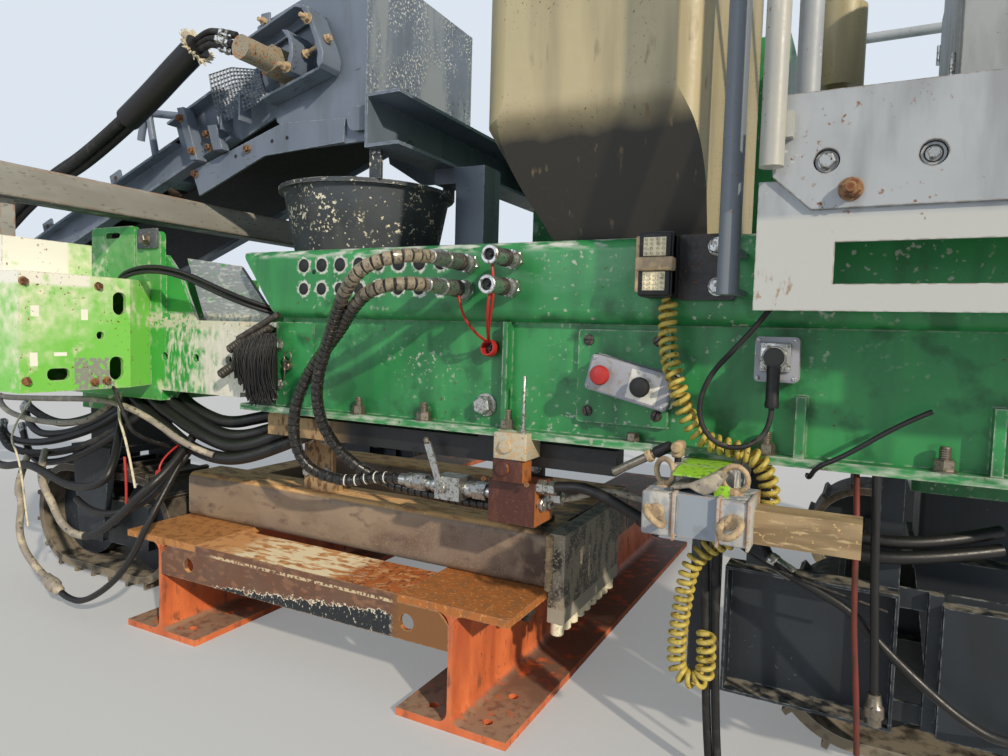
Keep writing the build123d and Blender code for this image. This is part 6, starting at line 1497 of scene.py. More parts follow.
class PAVER_OT_clamp_group(bpy.types.Operator):
    """Collars, eye nuts, lime strap, lever and rods of the clamp on the left side"""

    bl_idname = "paver.clamp_group"
    bl_label = "Clamp group"

    def execute(self, context):
        collars = [
            rounded_box((low, 1.1, 0.5775), (high, 1.1775, 0.6565), 0.005, 3)
            for low, high in ((-1.513, -1.452), (-1.639, -1.585))
        ]
        lips = [
            rounded_box((low, 1.1, 0.5735), (low + 0.005, 1.1815, 0.6605), 0.001)
            for low in (-1.513, -1.59, -1.641)
        ]
        piece(join(collars + lips), "clamp_collars", "collar_paint", "grey_paint")
        eyes = []
        for x, aim in ((-1.478, (0.55, 0.83, 0)), (-1.604, (0.15, 0.98, 0))):
            eyes.append(spread(ring(0.0228, 0.0052, 40, 14), [towards((x, 1.118, 0.6845), aim)]))
            seat = turned([(0, 0.0165), (0.01, 0.0165), (0.013, 0.013), (0.017, 0.01)], sides=6, smooth=15)
            eyes.append(spread(seat, [towards((x, 1.118, 0.649), UP, 14)]))
        for place, aim in (
            ((-1.481, 1.196, 0.617), (-0.675, -0.065, 0.736)), ((-1.611, 1.196, 0.615), (0.455, 0.577, 0.703)),
        ):
            eyes.append(spread(ring(0.0205, 0.0064, 40, 14), [towards(place, aim)]))
            eyes.append(spread(
                turned([(0, 0.014), (0.006, 0.014), (0.01, 0.01)], sides=20),
                [towards((place[0], 1.177, place[2] + 0.006), LEFT)],
            ))
        piece(join(eyes), "clamp_eyes", "slurried_casting", "rusty_steel")
        strap = [
            (1.0, 0.698), (1.06, 0.6995), (1.13, 0.696), (1.16, 0.69), (1.16, 0.6862), (1.13, 0.6922), (1.06, 0.6958),
            (1.0, 0.6945),
        ]
        band = plate(strap, 0.082, "X", -1.502, 0.0006)
        tab = rounded_box((-1.601, 1.148, 0.655), (-1.574, 1.152, 0.676), 0.001)
        piece(join([band, tab]), "lime_strap", "lime_paint", "green_paint")
        fold = [
            (-1.5, 0.668), (-1.534, 0.676), (-1.566, 0.694), (-1.58, 0.7), (-1.592, 0.688), (-1.58, 0.668),
            (-1.56, 0.657), (-1.546, 0.662), (-1.534, 0.668), (-1.5, 0.66),
        ]
        piece(plate(fold, 0.085, "Y", 1.166, 0.003), "folded_belt", "beige_jacket", "grey_paint")
        hose(
            "clamp_lever", [(-1.366, 1.08, 0.663), (-1.392, 1.08, 0.678), (-1.42, 1.08, 0.694), (-1.449, 1.08, 0.71)],
            0.0085, "bare_spring_steel", "bright_steel", around=5,
        )
        collar = turned([(-0.006, 0.011), (-0.004, 0.0125), (0.004, 0.0125), (0.006, 0.011)], sides=24)
        put(
            collar, [towards((-1.437, 1.08, 0.7035), (-0.87, 0, 0.49))], "lever_collar", "slurried_casting",
            "rusty_steel",
        )
        grip = turned([(0, 0.0085), (0.004, 0.0112), (0.034, 0.0105), (0.038, 0.0085)], sides=24)
        put(grip, [towards((-1.446, 1.08, 0.709), (-0.87, 0, 0.49))], "lever_grip", "black_plastic", "black_plastic")
        knuckle = join([
            rounded_box((-1.502, 1.066, 0.706), (-1.481, 1.094, 0.735), 0.006, 3),
            spread(
                turned([(-0.02, 0.009), (-0.017, 0.011), (0.017, 0.011), (0.02, 0.009)], sides=24),
                [towards((-1.492, 1.08, 0.727), LEFT)],
            ),
        ])
        piece(knuckle, "lever_knuckle", "slurried_casting", "rusty_steel")
        rods = [
            spread(turned([(0, 0.0065), (0.05, 0.0065)], sides=18), [towards((-1.492, 1.08, 0.66), UP)]),
            spread(
                turned([(0, 0.013), (0.01, 0.013), (0.012, 0.011)], sides=6, smooth=15),
                [towards((-1.492, 1.08, 0.68), UP)],
            ),
        ]
        piece(join(rods), "lever_rod", "black_paint", "black_paint")
        hose(
            "red_rod",
            [
                (-1.796, 0.985, 0.696), (-1.8, 1.05, 0.64), (-1.802, 1.055, 0.575), (-1.806, 1.05, 0.43),
                (-1.818, 1.05, 0.3), (-1.823, 1.05, 0.204),
            ],
            0.0052, "red_rust", "red_brown_paint",
        )
        free_hose(
            "grey_hose", [(-1.828, 1.0, 0.7), (-1.834, 1.0, 0.52), (-1.842, 1.0, 0.39), (-1.846, 1.0, 0.299)], 0.0078,
            "worn_rubber", far_end="bare",
        )
        end = turned(
            [(0, 0.011), (0.02, 0.0135), (0.024, 0.0165), (0.042, 0.0165), (0.044, 0.012), (0.058, 0.012)], sides=24,
        )
        put(end, [towards((-1.846, 1.0, 0.3), (-0.05, 0, -1))], "grey_hose_end", "bare_spring_steel", "bright_steel")
        return {"FINISHED"}


# Loose hoses and cables on the left: name, radius, finish, control points
LEFT_HOSES = (
    (
        "bundle_a", 0.019, "worn_rubber",
        (
            (0.36, 0.93, 0.71), (0.215, 0.975, 0.662), (0.118, 0.98, 0.622), (0.002, 0.98, 0.562),
            (-0.107, 0.97, 0.537), (-0.212, 0.96, 0.547), (-0.341, 0.93, 0.597), (-0.46, 0.86, 0.66),
        ),
    ),
    (
        "bundle_b", 0.019, "worn_rubber",
        (
            (0.33, 0.9, 0.73), (0.166, 0.975, 0.686), (0.061, 0.97, 0.641), (-0.052, 0.97, 0.597),
            (-0.149, 0.96, 0.574), (-0.242, 0.95, 0.59), (-0.331, 0.92, 0.632), (-0.45, 0.84, 0.68),
        ),
    ),
    (
        "bundle_c", 0.018, "worn_rubber",
        (
            (0.28, 0.88, 0.735), (0.131, 0.96, 0.7), (0.027, 0.96, 0.659), (-0.094, 0.95, 0.606),
            (-0.19, 0.94, 0.606), (-0.27, 0.9, 0.637), (-0.42, 0.82, 0.68),
        ),
    ),
    (
        "bundle_d", 0.018, "worn_rubber",
        (
            (0.22, 0.86, 0.735), (0.086, 0.94, 0.701), (-0.016, 0.94, 0.66), (-0.115, 0.93, 0.636),
            (-0.23, 0.9, 0.666), (-0.38, 0.82, 0.7),
        ),
    ),
    (
        "bundle_e", 0.017, "worn_rubber",
        (
            (0.3, 0.86, 0.7), (0.15, 0.93, 0.64), (0.0, 0.92, 0.58), (-0.15, 0.91, 0.55), (-0.3, 0.89, 0.58),
            (-0.44, 0.82, 0.66),
        ),
    ),
    (
        "bundle_f", 0.016, "worn_rubber",
        ((0.25, 0.84, 0.67), (0.1, 0.9, 0.61), (-0.05, 0.89, 0.57), (-0.2, 0.88, 0.56), (-0.36, 0.84, 0.62)),
    ),
    (
        "fan_a", 0.0125, "black_rubber",
        (
            (0.98, 1.0, 0.56), (0.89, 1.05, 0.49), (0.689, 1.05, 0.475), (0.479, 1.03, 0.512), (0.325, 1.0, 0.581),
            (0.22, 0.95, 0.66),
        ),
    ),
    (
        "fan_b", 0.0125, "worn_rubber",
        (
            (1.0, 0.98, 0.56), (0.948, 1.02, 0.508), (0.712, 1.02, 0.504), (0.458, 1.0, 0.569), (0.344, 0.97, 0.635),
            (0.27, 0.93, 0.7),
        ),
    ),
    (
        "fan_c", 0.0125, "worn_rubber",
        ((0.96, 0.93, 0.61), (0.8, 1.0, 0.535), (0.6, 1.0, 0.545), (0.42, 0.98, 0.61), (0.3, 0.94, 0.69)),
    ),
    (
        "fan_d", 0.014, "black_rubber",
        ((0.95, 0.93, 0.62), (0.74, 0.97, 0.57), (0.55, 0.97, 0.59), (0.38, 0.95, 0.66), (0.3, 0.92, 0.72)),
    ),
    (
        "fan_e", 0.0115, "worn_rubber",
        (
            (0.92, 0.96, 0.55), (0.76, 1.03, 0.44), (0.56, 1.03, 0.46), (0.38, 1.02, 0.53), (0.24, 0.98, 0.63),
            (0.2, 0.93, 0.7),
        ),
    ),
    (
        "leg_loop", 0.0125, "worn_rubber",
        (
            (0.93, 1.06, 0.44), (0.754, 1.12, 0.435), (0.604, 1.12, 0.469), (0.492, 1.12, 0.449),
            (0.359, 1.12, 0.417), (0.207, 1.12, 0.444), (0.206, 1.08, 0.508), (0.3, 1.0, 0.6), (0.33, 0.95, 0.71),
        ),
    ),
    (
        "beige_cable_a", 0.0095, "beige_jacket",
        (
            (0.98, 1.0, 0.655), (0.864, 1.06, 0.66), (0.564, 1.06, 0.676), (0.296, 1.06, 0.694), (0.149, 1.06, 0.674),
            (0.047, 1.05, 0.635), (-0.048, 1.02, 0.572), (-0.11, 0.985, 0.55),
        ),
    ),
    (
        "beige_cable_b", 0.009, "beige_jacket",
        (
            (0.95, 1.02, 0.66), (0.826, 1.08, 0.629), (0.637, 1.1, 0.606), (0.428, 1.1, 0.608), (0.275, 1.09, 0.635),
            (0.28, 1.02, 0.7),
        ),
    ),
    (
        "muddy_loop", 0.011, "beige_jacket",
        (
            (0.72, 1.05, 0.47), (0.666, 1.12, 0.378), (0.623, 1.12, 0.341), (0.655, 1.12, 0.234),
            (0.599, 1.12, 0.149), (0.501, 1.12, 0.108),
        ),
    ),
    (
        "drip_hose", 0.0095, "worn_rubber",
        (
            (0.42, 1.12, 0.075), (0.393, 1.12, 0.063), (0.301, 1.12, 0.065), (0.15, 1.12, 0.159),
            (0.055, 1.12, 0.268), (0.02, 1.12, 0.327), (0.0, 1.08, 0.42), (0.01, 0.98, 0.552),
        ),
    ),
    (
        "light_hose", 0.0115, "beige_jacket",
        (
            (0.6, 1.06, 0.5), (0.516, 1.13, 0.44), (0.449, 1.13, 0.367), (0.397, 1.13, 0.301), (0.319, 1.13, 0.273),
            (0.262, 1.13, 0.285),
        ),
    ),
    (
        "dark_hose", 0.0125, "worn_rubber",
        (
            (0.275, 1.13, 0.281), (0.218, 1.13, 0.297), (0.109, 1.13, 0.368), (0.005, 1.13, 0.45),
            (-0.02, 1.05, 0.52), (0.0, 0.96, 0.6),
        ),
    ),
    (
        "mid_link", 0.01, "worn_rubber",
        ((0.4, 1.08, 0.37), (0.3, 1.1, 0.345), (0.15, 1.1, 0.36), (0.03, 1.06, 0.43), (0.0, 0.98, 0.548)),
    ),
    (
        "slot_cable", 0.0055, "black_rubber",
        (
            (0.135, 1.15, 0.752), (0.095, 1.153, 0.75), (0.075, 1.155, 0.715), (0.055, 1.15, 0.67), (0.05, 1.12, 0.6),
            (0.06, 1.0, 0.56),
        ),
    ),
    (
        "rope_a", 0.0032, "rope_fibre",
        ((0.66, 1.068, 0.668), (0.627, 1.16, 0.572), (0.571, 1.16, 0.504), (0.546, 1.16, 0.417), (0.522, 1.16, 0.281)),
    ),
    (
        "rope_b", 0.0036, "rope_fibre",
        ((0.2, 1.06, 0.72), (0.168, 1.1, 0.672), (0.086, 1.12, 0.579), (0.053, 1.12, 0.456)),
    ),
    (
        "loop_cable_a", 0.0058, "worn_rubber",
        (
            (0.27, 1.02, 1.05), (0.231, 1.05, 1.073), (0.07, 1.08, 1.098), (-0.083, 1.08, 1.085),
            (-0.239, 1.04, 1.02), (-0.32, 0.985, 0.986), (-0.37, 0.94, 0.97),
        ),
    ),
    (
        "loop_cable_b", 0.0058, "worn_rubber",
        (
            (0.27, 1.02, 1.04), (0.231, 1.05, 1.061), (0.07, 1.08, 1.084), (-0.083, 1.08, 1.07),
            (-0.239, 1.04, 1.004), (-0.32, 0.985, 0.972), (-0.37, 0.94, 0.96),
        ),
    ),
    (
        "loop_cable_c", 0.0058, "worn_rubber",
        (
            (0.27, 1.01, 1.045), (0.231, 1.04, 1.07), (0.07, 1.067, 1.092), (-0.083, 1.068, 1.079),
            (-0.239, 1.028, 1.013), (-0.32, 0.973, 0.98), (-0.37, 0.93, 0.965),
        ),
    ),
    (
        "right_bundle_a", 0.0088, "black_rubber",
        (
            (-1.47, 0.9, 0.64), (-1.52, 0.935, 0.57), (-1.528, 0.935, 0.4), (-1.538, 0.935, 0.2),
            (-1.547, 0.935, 0.08), (-1.552, 0.925, 0.016),
        ),
    ),
    (
        "right_bundle_b", 0.0088, "black_rubber",
        (
            (-1.5, 0.9, 0.65), (-1.545, 0.935, 0.57), (-1.548, 0.935, 0.4), (-1.557, 0.935, 0.2),
            (-1.565, 0.935, 0.08), (-1.57, 0.925, 0.016),
        ),
    ),
    (
        "slack_hose", 0.0085, "worn_rubber",
        (
            (-1.64, 0.93, 0.52), (-1.658, 0.972, 0.498), (-1.716, 0.98, 0.475), (-1.799, 0.98, 0.438),
            (-1.836, 0.98, 0.399), (-1.893, 0.98, 0.347), (-1.98, 0.98, 0.279), (-2.052, 0.96, 0.243),
            (-2.1, 0.9, 0.23),
        ),
    ),
    (
        "under_hose_a", 0.012, "worn_rubber",
        ((-1.56, 0.88, 0.56), (-1.64, 0.93, 0.555), (-1.76, 0.94, 0.53), (-1.9, 0.93, 0.535), (-2.04, 0.86, 0.56)),
    ),
    (
        "under_hose_b", 0.012, "worn_rubber",
        ((-1.56, 0.86, 0.59), (-1.65, 0.91, 0.58), (-1.78, 0.92, 0.56), (-1.92, 0.91, 0.56), (-2.04, 0.84, 0.59)),
    ),
    (
        "tied_cable", 0.0045, "worn_rubber",
        (
            (-1.905, 1.018, 0.82), (-1.858, 1.025, 0.795), (-1.774, 1.03, 0.73), (-1.73, 1.03, 0.707),
            (-1.717, 1.01, 0.678), (-1.712, 0.96, 0.678),
        ),
    ),
    (
        "thin_wire_a", 0.0032, "black_rubber",
        (
            (-1.47, 0.975, 0.69), (-1.52, 1.01, 0.64), (-1.56, 1.0, 0.56), (-1.64, 0.99, 0.5), (-1.76, 0.985, 0.47),
            (-1.86, 0.96, 0.44),
        ),
    ),
)


RED_STRAPS = (
    ("red_strap_a", 0.0036, "red_plastic", ((0.086, 1.13, 0.545), (0.073, 1.132, 0.471), (0.08, 1.13, 0.4))),
    ("red_strap_b", 0.003, "red_plastic", ((0.006, 1.0, 0.578), (0.004, 1.082, 0.54), (0.001, 1.08, 0.505))),
)
# Those of the loose hoses whose far end hangs free
LOOSE_ENDS = (
    "rope_a", "rope_b", "muddy_loop", "light_hose", "slack_hose", "leg_loop",
    "beige_cable_a", "beige_cable_b", "drip_hose", "dark_hose", "mid_link", "right_bundle_a", "right_bundle_b",
    "under_hose_a", "under_hose_b", "slot_cable", "tied_cable", "thin_wire_a",
)
# Those whose held end is the last of their points
HELD_LAST = (
    "fan_a", "fan_b", "fan_c", "fan_d", "fan_e", "leg_loop", "beige_cable_a", "beige_cable_b", "drip_hose",
    "dark_hose", "mid_link", "slack_hose", "tied_cable",
)


class PAVER_OT_left_hoses(bpy.types.Operator):
    """The loose hydraulic hoses, cables and ropes along the left beam"""

    bl_idname = "paver.left_hoses"
    bl_label = "Left hoses"

    def execute(self, context):
        for name, radius, wear, points in RED_STRAPS:
            hose(name, points, radius, wear)
        for name, radius, wear, points in LEFT_HOSES:
            stiffness = "limp" if name.startswith("rope") else "medium"
            far_end = "bare" if name in LOOSE_ENDS else "object"
            free_hose(name, points, radius, wear, far_end, stiffness, -1 if name in HELD_LAST else 0)
        elbow = turned(
            [(0, 0.013), (0.004, 0.0165), (0.016, 0.0165), (0.018, 0.0145), (0.05, 0.0145), (0.054, 0.013)], sides=24,
        )
        places = [towards((-1.65, 0.955, 0.503), (-0.8, 0.25, -0.35))]
        for _, radius, _, points in LEFT_HOSES[6:11]:
            start, following = (Vector(points[0]), Vector(points[1]))
            places.append(towards(start, following - start, 0, radius / 0.0135))
        put(elbow, places, "hose_elbows", "zinc_plate", "bright_steel")
        joint = turned(
            [
                (0, 0.011), (0.006, 0.016), (0.03, 0.019), (0.04, 0.0215), (0.058, 0.0215), (0.064, 0.017),
                (0.086, 0.015), (0.094, 0.0095),
            ],
            sides=28,
        )
        put(joint, [towards((0.506, 1.12, 0.11), (-0.92, 0.0, -0.38))], "cable_joint", "beige_jacket", "grey_paint")
        loops = [
            spread(ring(0.0095, 0.0026), [towards((0.08, 1.13, 0.391), LEFT)]),
            spread(turned([(0, 0.014), (0.006, 0.014)], sides=28), [towards((0.001, 1.078, 0.495), LEFT)]),
        ]
        piece(join(loops), "red_tags", "red_plastic", "rubber")
        return {"FINISHED"}


BRUSH_HAIRS = 420
BRUSH_HAIR_RADIUS = 0.0015
# Ends that stick out of the brush: start, direction, radius, length
BRUSH_FITTINGS = (
    ((-0.284, 1.034, 0.893), (0.82, 0.1, -0.5), 0.0125, 0.056), (
        (-0.262, 1.036, 0.828), (0.82, 0.1, -0.5), 0.0135, 0.062,
    ),
    ((-0.398, 1.016, 0.966), (0.86, 0.1, -0.45), 0.009, 0.15), (
        (-0.372, 1.018, 0.93), (0.86, 0.1, -0.42), 0.011, 0.09,
    ),
)


class PAVER_OT_frayed_brush(bpy.types.Operator):
    """The black brush that hangs from the left web over its hose ends"""

    bl_idname = "paver.frayed_brush"
    bl_label = "Frayed brush"

    def execute(self, context):
        random = Random(11)
        curve = new_curve("frayed_brush")
        for _ in range(BRUSH_HAIRS):
            across = random.random()
            x = -0.268 - 0.118 * across + random.uniform(-0.006, 0.006)
            top = Vector(
                (x, 1.01 + random.uniform(0.0, 0.03), 0.893 + 0.016 * across + random.uniform(-0.008, 0.008)),
            )
            reach = (0.105 + 0.07 * min(1.0, 2.2 * across)) * random.uniform(0.8, 1.04)
            sway = random.uniform(-0.014, 0.012)
            bulge = random.uniform(0.004, 0.026)
            points = (
                top, top + Vector((0.6 * sway, bulge, -0.3 * reach)),
                top + Vector((-0.5 * sway, 0.8 * bulge, -0.68 * reach)), top + Vector((sway, 0.3 * bulge, -reach)),
            )
            smooth_line(curve, points, 4)
        curve.bevel_depth = BRUSH_HAIR_RADIUS
        curve.bevel_resolution = 1
        piece(shown(curve), "frayed_brush", "black_plastic", "black_plastic")
        heart = [(-0.272, 0.89), (-0.38, 0.902), (-0.386, 0.76), (-0.345, 0.742), (-0.31, 0.75), (-0.276, 0.8)]
        piece(plate(heart, 0.026, "Y", 1.026, 0.008), "brush_heart", "black_plastic", "black_plastic")
        ends = []
        for start, aim, radius, length in BRUSH_FITTINGS:
            stages = [(0, radius * 0.8), (0.004, radius * 0.9)]
            for turn in range(int(length / 0.01)):
                low = 0.006 + 0.01 * turn
                stages += [(low, radius), (low + 0.006, radius), (low + 0.0075, radius * 0.84)]
            stages.append((stages[-1][0] + 0.003, radius * 0.6))
            ends.append(spread(turned(stages, sides=22, smooth=30), [towards(start, aim)]))
        piece(join(ends), "brush_fittings", "dull_fitting", "black_plastic")
        return {"FINISHED"}


class PAVER_OT_mould_fittings(bpy.types.Operator):
    """Weld bead, nylon pegs and a hanging bolt at the mould's end"""

    bl_idname = "paver.mould_fittings"
    bl_label = "Mould fittings"

    def execute(self, context):
        random = Random(5)
        bead = turned([(-0.0045, 0.004), (-0.003, 0.0095), (0.001, 0.011), (0.0045, 0.006)], sides=14)
        places = [
            towards(
                (-1.1355 + random.uniform(-0.0012, 0.0012), 0.8495, 0.306 + 0.005 * i),
                (random.uniform(-0.1, 0.3), 0.15, 1),
            )
            for i in range(27)
        ]
        put(bead, places, "weld_bead", "slurried_casting", "rusty_steel")
        peg = turned([(-0.034, 0.0135), (-0.031, 0.0168), (0.001, 0.0168)], sides=24)
        put(
            peg, [towards((-1.155, 0.832 - 0.047 * i, 0.222), UP) for i in range(9)], "end_plate_pegs", "cream_nylon",
            "light_grey_paint",
        )
        hang = bolt(0.036, tip=0.016)
        put(hang, [towards((-1.103, 0.905, 0.281), (0, 0, -1), 10)], "stand_bolt", "black_paint", "black_paint")
        return {"FINISHED"}


class PAVER_OT_conveyor_fittings(bpy.types.Operator):
    """Motor guard, slide frame, strut, bolts and the sleeved hoses at the conveyor's head"""

    bl_idname = "paver.conveyor_fittings"
    bl_label = "Conveyor fittings"

    def execute(self, context):
        drop_selection()
        bpy.ops.mesh.primitive_grid_add(x_subdivisions=15, y_subdivisions=11, size=1)
        guard = context.object
        corners = [
            Vector(c)
            for c in ((0.078, 0.842, 1.712), (-0.142, 0.842, 1.7), (0.044, 0.842, 1.56), (-0.162, 0.842, 1.619))
        ]
        for vertex in guard.data.vertices:
            u, v = (vertex.co.x + 0.5, vertex.co.y + 0.5)
            top, low = (corners[0].lerp(corners[1], u), corners[2].lerp(corners[3], u))
            vertex.co = low.lerp(top, v) + Vector((0, 0.02 * min(0.0, v - 0.55), 0.016 * (1 - abs(2 * u - 0.9)) * v))
        frame_edges = guard.modifiers.new("holes", "WIREFRAME")
        frame_edges.thickness = 0.0085
        frame_edges.use_even_offset = False
        take(guard)
        bpy.ops.object.modifier_apply(modifier=frame_edges.name)
        legs = [
            rounded_box((-0.06, 0.8, 1.56), (-0.052, 0.846, 1.64), 0.001),
            rounded_box((0.02, 0.8, 1.54), (0.028, 0.846, 1.585), 0.001),
        ]
        piece(join([guard] + legs), "motor_guard", "conveyor_paint", "grey_paint", "conveyor")
        rails = [
            plate(
                [(-0.085, 1.786), (-0.285, 1.852), (-0.335, 1.836), (-0.337, 1.843), (-0.286, 1.86), (-0.086, 1.794)],
                0.07, "Y", 0.852, 0.001,
            ),
            plate([(-0.085, 1.76), (-0.285, 1.826), (-0.285, 1.858), (-0.085, 1.792)], 0.008, "Y", 0.8, 0.001),
            plate([(-0.15, 1.606), (-0.392, 1.668), (-0.392, 1.676), (-0.15, 1.614)], 0.062, "Y", 0.85, 0.001),
            plate([(-0.15, 1.612), (-0.392, 1.674), (-0.392, 1.704), (-0.15, 1.642)], 0.008, "Y", 0.8, 0.001),
            plate(
                [
                    (-0.328, 1.846), (-0.352, 1.826), (-0.372, 1.782), (-0.392, 1.742), (-0.408, 1.7),
                    (-0.404, 1.672), (-0.392, 1.66), (-0.384, 1.676), (-0.388, 1.702), (-0.374, 1.744),
                    (-0.356, 1.782), (-0.34, 1.814), (-0.322, 1.838),
                ],
                0.078, "Y", 0.868, 0.002,
            ),
            plate(
                [
                    (-0.262, 1.782), (-0.286, 1.776), (-0.304, 1.742), (-0.306, 1.7), (-0.292, 1.664),
                    (-0.272, 1.656), (-0.266, 1.664), (-0.284, 1.684), (-0.294, 1.716), (-0.288, 1.75), (-0.272, 1.77),
                ],
                0.09, "Y", 0.88, 0.002,
            ),
            plate([(0.246, 1.636), (0.214, 1.636), (0.148, 1.462), (0.18, 1.462)], 0.04, "Y", 0.832, 0.002),
            plate([(0.11, 1.566), (0.068, 1.566), (0.04, 1.486), (0.082, 1.486)], 0.03, "Y", 0.826, 0.002),
        ]
        piece(join(rails), "slide_frame", "conveyor_paint", "grey_paint", "conveyor")
        screw = spread(
            turned([(0, 0.006), (0.125, 0.006)], sides=14), [towards((-0.29, 0.835, 1.712), (-0.94, 0, 0.34))],
        )
        nuts = spread(
            bolt(0.019),
            [
                towards(p, (-0.94, 0, 0.34))
                for p in ((-0.312, 0.835, 1.72), (-0.36, 0.835, 1.737), (-0.392, 0.835, 1.749))
            ],
        )
        studs = spread(
            bolt(0.022, tip=0.016),
            [
                towards((-0.108, 0.788, 1.862), LEFT), towards((-0.352, 0.868, 1.8), LEFT),
                towards((-0.286, 0.88, 1.672), LEFT, 20),
            ],
        )
        piece(join([screw, nuts, studs]), "slide_bolts", "slurried_casting", "bright_steel", "conveyor")
        lugs = [rounded_box((-0.09, 0.786, 1.81), (-0.128, 0.794, 1.89), 0.012, 3)]
        piece(join(lugs), "hood_lug", "conveyor_paint", "grey_paint", "conveyor")
        small = [towards((x, 0.7915, z), LEFT, 20 * i) for i, (x, z) in enumerate(((-0.035, 1.487), (0.205, 1.428)))]
        small += [towards((x, 0.832, z), LEFT, 30) for x, z in ((0.226, 1.6), (0.168, 1.49))]
        small += [towards((x, 0.808, z), LEFT, 10) for x, z in ((0.128, 1.545), (0.118, 1.502))]
        put(bolt(0.018), small, "shield_bolts", "rusted_plate", "rusty_steel", "conveyor")
        # The black discs are painted shade standing for holes in the shield.
        disc = turned([(0, 0.0058), (0.0006, 0.0058)], sides=20)
        places = [towards((x, 0.7912, z), LEFT) for x, z in ((-0.138, 1.502), (-0.2, 1.506), (0.019, 1.47))]
        put(disc, places, "shield_holes", "black_plastic", "black_plastic", "conveyor")
        hose(
            "head_pipe", [(0.47, 0.8, 1.56), (0.452, 0.8, 1.652), (0.4, 0.8, 1.645), (0.225, 0.8, 1.612)], 0.0125,
            "conveyor_paint", "grey_paint", "conveyor", around=5,
        )
        hose(
            "head_post", [(0.42, 0.806, 1.65), (0.4, 0.806, 1.56), (0.384, 0.806, 1.5)], 0.012, "conveyor_paint",
            "grey_paint", "conveyor", around=5,
        )
        sleeve = [
            (-0.012, 0.958, 1.746), (0.03, 0.958, 1.722), (0.091, 0.957, 1.691), (0.207, 0.956, 1.625),
            (0.318, 0.952, 1.574),
        ]
        hose("hose_sleeve", sleeve, 0.037, "worn_rubber", "rubber", "conveyor", around=6)
        for index, (rise, out) in enumerate(((0.016, 0.0), (-0.01, 0.018), (-0.012, -0.016))):
            run = [
                (0.3, 0.953 + out, 1.583 + rise), (0.533, 0.945 + out, 1.482 + rise),
                (0.754, 0.93 + out, 1.43 + rise), (1.0, 0.89 + out, 1.37 + rise), (1.3, 0.84 + out, 1.262 + rise),
                (1.52, 0.806 + out, 1.18 + rise),
            ]
            free_hose(f"sleeved_hose_{'abc'[index]}", run, 0.015, far_end="bare", exit_at=-1, body="conveyor")
        for index, (rise, end) in enumerate(
            ((0.016, (-0.176, 0.962, 1.748)), (-0.004, (-0.172, 0.972, 1.722)), (-0.02, (-0.168, 0.95, 1.704))),
        ):
            run = [(0.01, 0.958, 1.74 + rise), (-0.05, 0.964, 1.76 + rise), (-0.105, 0.972, 1.752 + rise), end]
            hose(f"motor_hose_{'abc'[index]}", run, 0.0095, body="conveyor")
        fitting = turned(
            [
                (0, 0.0125), (0.01, 0.0125), (0.011, 0.0105), (0.022, 0.0105), (0.023, 0.0135), (0.034, 0.0135),
                (0.035, 0.01), (0.046, 0.01),
            ],
            sides=6, smooth=15,
        )
        places = [
            towards((-0.12, 0.968, 1.762), (-0.92, -0.1, -0.3)),
            towards((-0.116, 0.978, 1.742), (-0.92, -0.1, -0.36)),
            towards((-0.112, 0.962, 1.724), (-0.92, -0.1, -0.36)),
        ]
        put(fitting, places, "motor_fittings", "zinc_plate", "bright_steel", "conveyor")
        random = Random(3)
        tuft = turned([(0, 0.0045), (0.012, 0.004), (0.024, 0.0012)], sides=6)
        places = []
        for index in range(70):
            angle = 2 * math.pi * index / 35
            out = Vector((0.4 * math.sin(angle), math.cos(angle), 0.92 * math.sin(angle)))
            lean = out + Vector((-0.55, 0.0, 0.32)) * random.uniform(0.0, 1.6) + Vector(
                [random.uniform(-0.25, 0.25) for _ in range(3)]
            )
            places.append(towards(Vector((-0.004, 0.958, 1.742)) + 0.034 * out, lean, 0, random.uniform(0.7, 1.1)))
        put(tuft, places, "sleeve_fray", "rope_fibre", "light_grey_paint", "conveyor")
        return {"FINISHED"}


FLOOR_SIZE = 60
# Sunlike lamps: name, place, aim, energy, angle in degrees, colour
LAMPS = (
    ("key_lamp", (-8.5, 5.8, 5.5), (-0.7, 0.6, 0.7), 3.3, 1.5, "FFF0DA"),
    ("fill_lamp", (3.0, 9.0, 3.5), (-0.7, 0.6, 0.9), 0.45, 25.0, "F0F4FF"),
)
# The photo's camera, and its right, up and back directions
CAMERA_PLACE = (-1.8, 2.408, 0.935)
CAMERA_AXES = ((-0.88738, -0.46019, 0.02793), (0.05493, -0.04539, 0.99746), (-0.45775, 0.88666, 0.06555))


